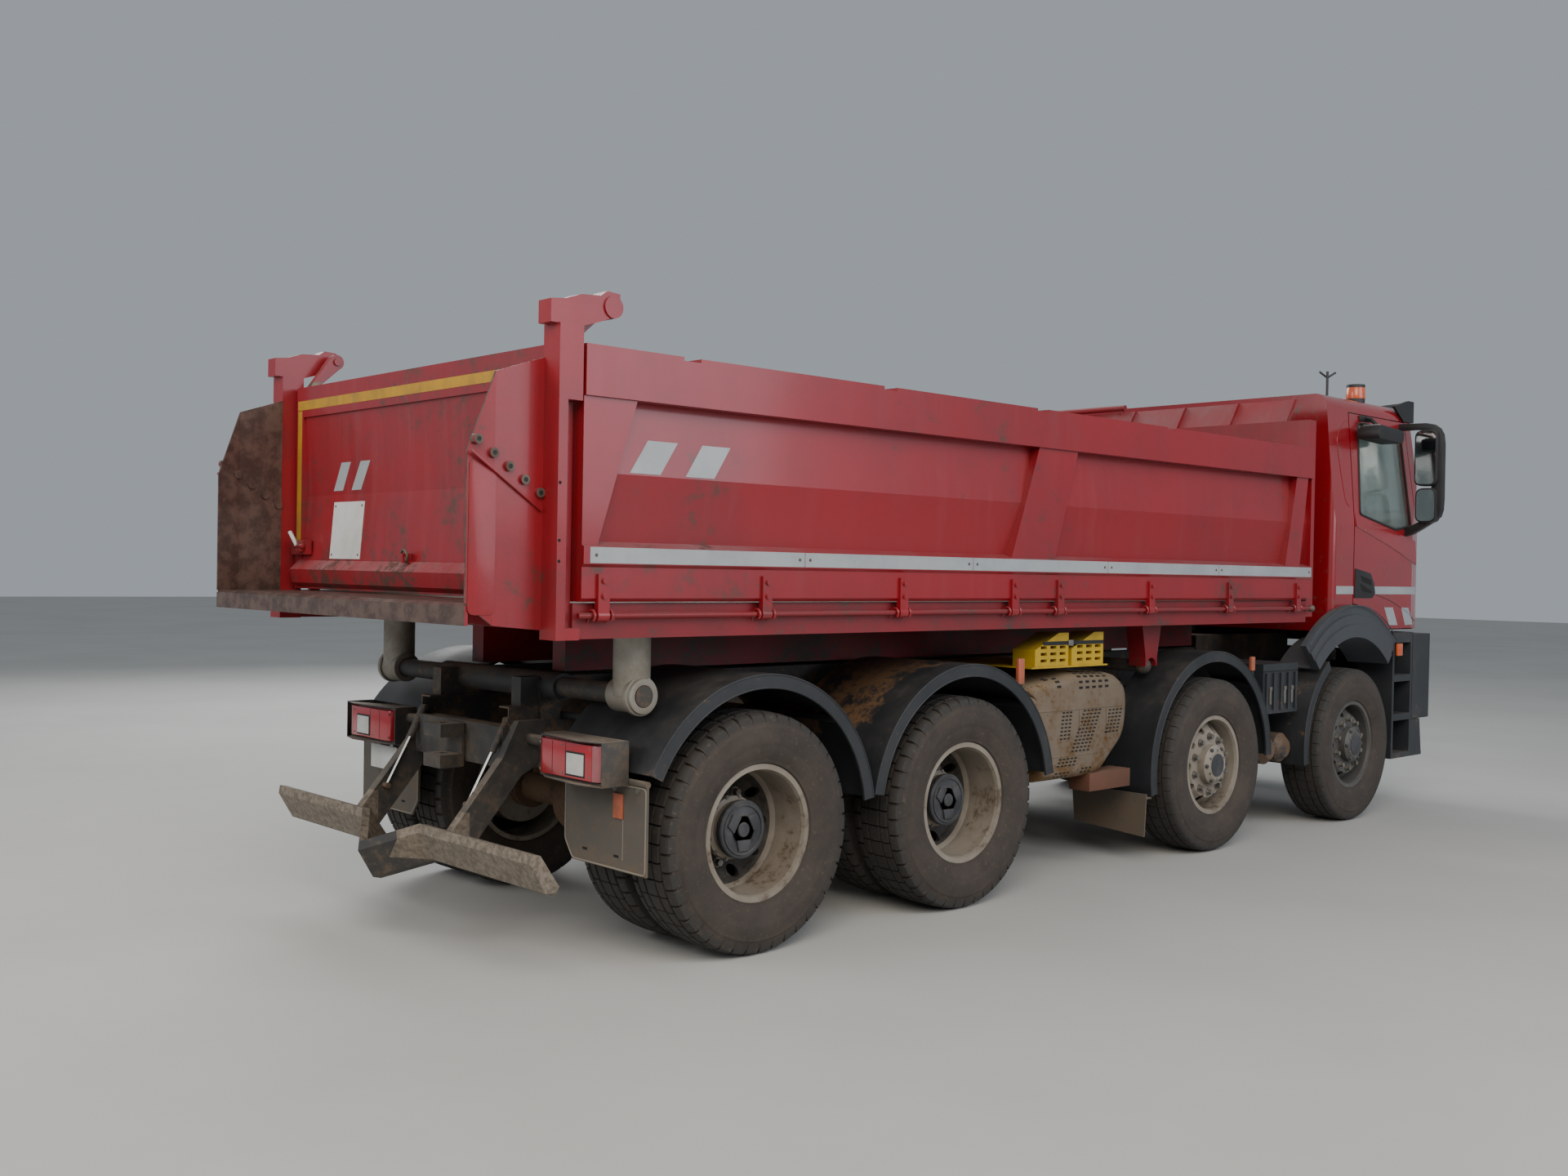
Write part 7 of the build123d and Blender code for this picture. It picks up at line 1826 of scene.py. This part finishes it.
@dataclass
class ChassisTrim:
    """Small parts on the chassis: column sleeves, springs, latches, fender beads, bolts, and the chocks' band."""

    column: Point = (-3.37, 1.0, 1.15)
    sleeve: Outline = ((0.0, 0.0785), (0.0, 0.08), (0.252, 0.08), (0.252, 0.106), (0.262, 0.106), (0.262, 0.0785))
    clamp: Outline = ((-0.087, 0.048), (-0.087, 0.074), (0.087, 0.074), (0.087, 0.048))
    clamp_ring: Outline = ((-0.012, 0.072), (-0.012, 0.084), (0.012, 0.084), (0.012, 0.072))
    column_bolt_circle: float = 0.094
    column_bolt_count: int = 6
    rod_end: Outline = ((-0.012, 0.0), (-0.012, 0.012), (0.0, 0.018), (0.01, 0.023), (0.024, 0.023), (0.036, 0.015),
                        (0.04, 0.0))
    rod_end_place: Point = (2.052, 1.255, 1.497)
    spring_y: float = 0.362
    # (X, Z) ends of the gas spring's rod and tube, and of its pins
    spring_rod: Outline = ((-3.64, 0.88), (-3.77, 0.64))
    spring_tube: Outline = ((-3.575, 1.0), (-3.65, 0.862))
    spring_pins: Outline = ((-3.575, 1.0), (-3.77, 0.64))
    spring_pin_y: Flat = (0.345, 0.388)
    box_y: float = 1.15
    box_line: Edges = (1.65, 1.078, 2.106, 1.084)
    latches_x: Point = (1.735, 1.925, 2.02)
    # Half width, low and high edge, and outer face of a latch's strap and of its head
    latch: tuple[Edges, ...] = ((0.012, 0.865, 0.965, 1.16), (0.016, 0.955, 0.98, 1.163))
    fender_radii: Flat = (0.64, 0.697)
    # Axle, start and end angle, and outer face of each wheel opening
    openings: tuple[Edges, ...] = ((REAR_AXLE_X, 8, 154, 1.248), (THIRD_AXLE_X, 8, 171, 1.248),
                                   (SECOND_AXLE_X, 1, 191, 1.198), (FIRST_AXLE_X, 122, 188, 1.198))
    rail_y: float = 0.385
    rail_bolts_z: Flat = (0.85, 0.99)
    rail_bolts_start: float = -3.4
    rail_bolts_pitch: float = 0.19
    rail_bolts_count: int = 38
    band: tuple[Point, Point] = ((-0.7, -1.1428, 1.306), (-0.142, -1.1395, 1.326))
    buckle: tuple[Point, Point] = ((-0.478, -1.1465, 1.3), (-0.432, -1.1425, 1.332))
    tank_y: float = 1.158
    tank_straps_x: Flat = (-0.5, -0.04)
    tank_bolts_z: Flat = (0.7, 1.03)
    tank_cap: Point = (-0.27, 0.95, 1.19)

    def build(self) -> None:
        """Dresses both sides, the chocks on the right and the tank on the left."""
        for hand, side in SIDES:
            self._columns(hand, side)
            self._springs(hand, side)
            self._boxes(hand, side)
            self._fenders(hand, side)
            stations = [self.rail_bolts_start + self.rail_bolts_pitch * step for step in range(self.rail_bolts_count)]
            rail = [((x, side * self.rail_y, z), outwards(side)) for x in stations for z in self.rail_bolts_z]
            set_studs(f"rail_bolts_{hand}", RAIL_BOLT, rail, FRAME_PAINT, "chassis")
        Mesher("chock_band").slab(*self.band).build(SEAL_RUBBER, "chassis", "trim_black")
        Mesher("chock_buckle").slab(*self.buckle).build(ZINC, "chassis", "chassis_grey", 0.001)
        straps = [((x, self.tank_y, z), outwards(1)) for x in self.tank_straps_x for z in self.tank_bolts_z]
        set_studs("tank_strap_bolts", TANK_BOLT, straps, ZINC, "chassis")
        set_studs("tank_cap_lock", CAP_LOCK, [(self.tank_cap, (0.0, 0.0, 1.0))], ZINC, "chassis")

    def _columns(self, hand: str, side: int) -> None:
        """Sleeve on the bed's rear bearing column, its bolted flange and clamp, and the hinge rod's front end."""
        x, half, z = self.column
        y = side * half
        sleeve = Mesher(f"column_sleeve_{hand}")
        sleeve.turned(self.sleeve, (x, y, z), (0, 0, 1))
        sleeve.turned(self.clamp, (x, y, z), (0, 1, 0))
        sleeve.turned(self.clamp_ring, (x, y + side * 0.06, z), (0, 1, 0))
        sleeve.build(COLUMN_STEEL, "bed", "ram_steel", 0.0012)
        turns = [math.tau * (step + 0.5) / self.column_bolt_count for step in range(self.column_bolt_count)]
        circle, flange_z = self.column_bolt_circle, z + self.sleeve[2][0]
        spots = [((x + circle * math.cos(turn), y + circle * math.sin(turn), flange_z), (0.0, 0.0, -1.0))
                 for turn in turns]
        set_studs(f"column_bolts_{hand}", COLUMN_BOLT, spots, ZINC, "bed")
        end_x, end_y, end_z = self.rod_end_place
        ball = Mesher(f"rod_end_{hand}")
        ball.turned(self.rod_end, (end_x, side * end_y, end_z), (1, 0, 0), 20)
        ball.build(BARE_STEEL, "bed", "ram_steel", 0.001)

    def _springs(self, hand: str, side: int) -> None:
        """Gas spring along the underrun arm, with its two pins."""
        rod = Mesher(f"underrun_spring_{hand}")
        rod.pipe([(x, side * self.spring_y, z) for x, z in self.spring_rod], 0.009)
        rod.build(RAM_STEEL, "chassis", "ram_steel")
        tube = Mesher(f"underrun_tube_{hand}")
        tube.pipe([(x, side * self.spring_y, z) for x, z in self.spring_tube], 0.017)
        for x, z in self.spring_pins:
            tube.pipe([(x, side * y, z) for y in self.spring_pin_y], 0.014)
        tube.build(FRAME_PAINT, "chassis", "chassis_grey", 0.001)

    def _boxes(self, hand: str, side: int) -> None:
        """Lid line, drawn as a dark strip of painted shade in its gap, and latches of the battery box."""
        line = Mesher(f"box_lines_{hand}")
        line.side_plate(rectangle(*self.box_line), side * self.box_y, side * 0.0012)
        line.build(RECESS_SHADE, "chassis", "trim_black")
        latches = Mesher(f"box_latches_{hand}")
        for x in self.latches_x:
            for half, low, high, face_y in self.latch:
                latches.slab((x - half, side * (self.box_y - 0.001), low), (x + half, side * face_y, high))
        latches.build(ZINC, "chassis", "chassis_grey", 0.002)

    def _fenders(self, hand: str, side: int) -> None:
        """Rolled edges round the wheel openings."""
        beads = Mesher(f"fender_beads_{hand}")
        for x, start, end, y in self.openings:
            for radius in self.fender_radii:
                beads.pipe(wheel_arc(x, radius, side * y, start, end, 48), 0.005, 8)
        beads.build(FENDER_PLASTIC, "chassis", "fender_plastic")


@dataclass(frozen=True)
class SoftLight:
    """A square soft light that faces a target; its power is in watts."""

    name: str
    place: Point
    target: Point
    size: float
    power: float
    colour: str

    def build(self) -> None:
        """Hangs the light."""
        lamp = bpy.data.lights.new(self.name, "AREA")
        lamp.shape = "SQUARE"
        lamp.size = self.size
        lamp.energy = self.power
        lamp.color = linear(self.colour)[:3]
        holder = bpy.data.objects.new(self.name, lamp)
        holder.location = self.place
        holder.rotation_euler = (Vector(self.target) - Vector(self.place)).to_track_quat("-Z", "Y").to_euler()
        bpy.context.scene.collection.objects.link(holder)


@dataclass
class Studio:
    """Plain pale floor, soft light and the camera at the photograph's viewpoint."""

    lights: tuple[SoftLight, ...] = (
        SoftLight("Key light", (-9.0, -9.0, 9.0), (-0.5, 0.0, 1.2), 9.0, 1500.0, "fff6ea"),
        SoftLight("Fill light", (3.0, -12.0, 6.0), (0.5, 0.0, 1.2), 8.0, 700.0, "eef4ff"),
        SoftLight("Back light", (3.0, 11.0, 9.0), (0.0, 0.0, 1.5), 8.0, 1100.0, "ffffff"),
        SoftLight("Rear light", (-13.0, 3.0, 6.0), (-3.0, 0.0, 1.3), 6.0, 500.0, "ffffff"))
    floor_finish: Weathered = Weathered(
        "Cast pale concrete floor", "b9b8b4", "b2b1ad", gloss=0.8, dust="b9b8b4", film=0.0, settled=0.0,
        blotch=2.5, grain=0.02, grain_depth=0.0003)
    floor_reach: float = 60.0
    sky: str = "ccd4dc"
    sky_strength: float = 0.55
    camera_place: Point = (-7.115, -5.928, 1.692)
    camera_yaw: float = 46.859
    camera_pitch: float = -0.726
    camera_roll: float = 1.027
    lens_mm: float = 33.48
    sensor_mm: float = 36.0
    view_reach: float = 300.0

    def build(self) -> None:
        """Sets up the floor, the sky, the lights and the camera."""
        floor = bpy.data.meshes.new("studio_floor")
        reach = self.floor_reach
        floor.from_pydata([(x, y, 0.0) for x, y in rectangle(-reach, -reach, reach, reach)], [], [(0, 1, 2, 3)])
        floor.materials.append(self.floor_finish.build())
        ground = bpy.data.objects.new("studio_floor", floor)
        bpy.context.scene.collection.objects.link(ground)
        world = bpy.data.worlds.new("Soft sky")
        bpy.context.scene.world = world
        world.use_nodes = True
        background = world.node_tree.nodes["Background"]
        background.inputs["Color"].default_value = linear(self.sky)
        background.inputs["Strength"].default_value = self.sky_strength
        for light in self.lights:
            light.build()
        self._camera()

    def _camera(self) -> None:
        """Places the camera from its yaw, pitch and roll."""
        yaw, pitch, roll = (math.radians(angle) for angle in (self.camera_yaw, self.camera_pitch, self.camera_roll))
        ahead = Vector((math.cos(pitch) * math.cos(yaw), math.cos(pitch) * math.sin(yaw), math.sin(pitch)))
        level = ahead.cross(Vector((0, 0, 1))).normalized()
        raised = level.cross(ahead)
        right = math.cos(roll) * level + math.sin(roll) * raised
        up = math.cos(roll) * raised - math.sin(roll) * level
        data = bpy.data.cameras.new("Photo camera")
        data.lens = self.lens_mm
        data.sensor_width = self.sensor_mm
        data.sensor_fit = "HORIZONTAL"
        data.clip_end = self.view_reach
        camera = bpy.data.objects.new("Photo camera", data)
        turn = Matrix((right, up, -ahead)).transposed()
        camera.matrix_world = Matrix.Translation(self.camera_place) @ turn.to_4x4()
        bpy.context.scene.collection.objects.link(camera)
        bpy.context.scene.camera = camera


def main() -> None:
    """Builds the pieces in order."""
    Studio().build()
    dress_nodes()
    for assembly in (TyreSet, WheelHardware, BoardTrim, GateTrim, RearTrim, LampTrim, MirrorSet, CabTrim, ShieldSet,
                     ChassisTrim):
        assembly().build()


if __name__ == "__main__":
    main()
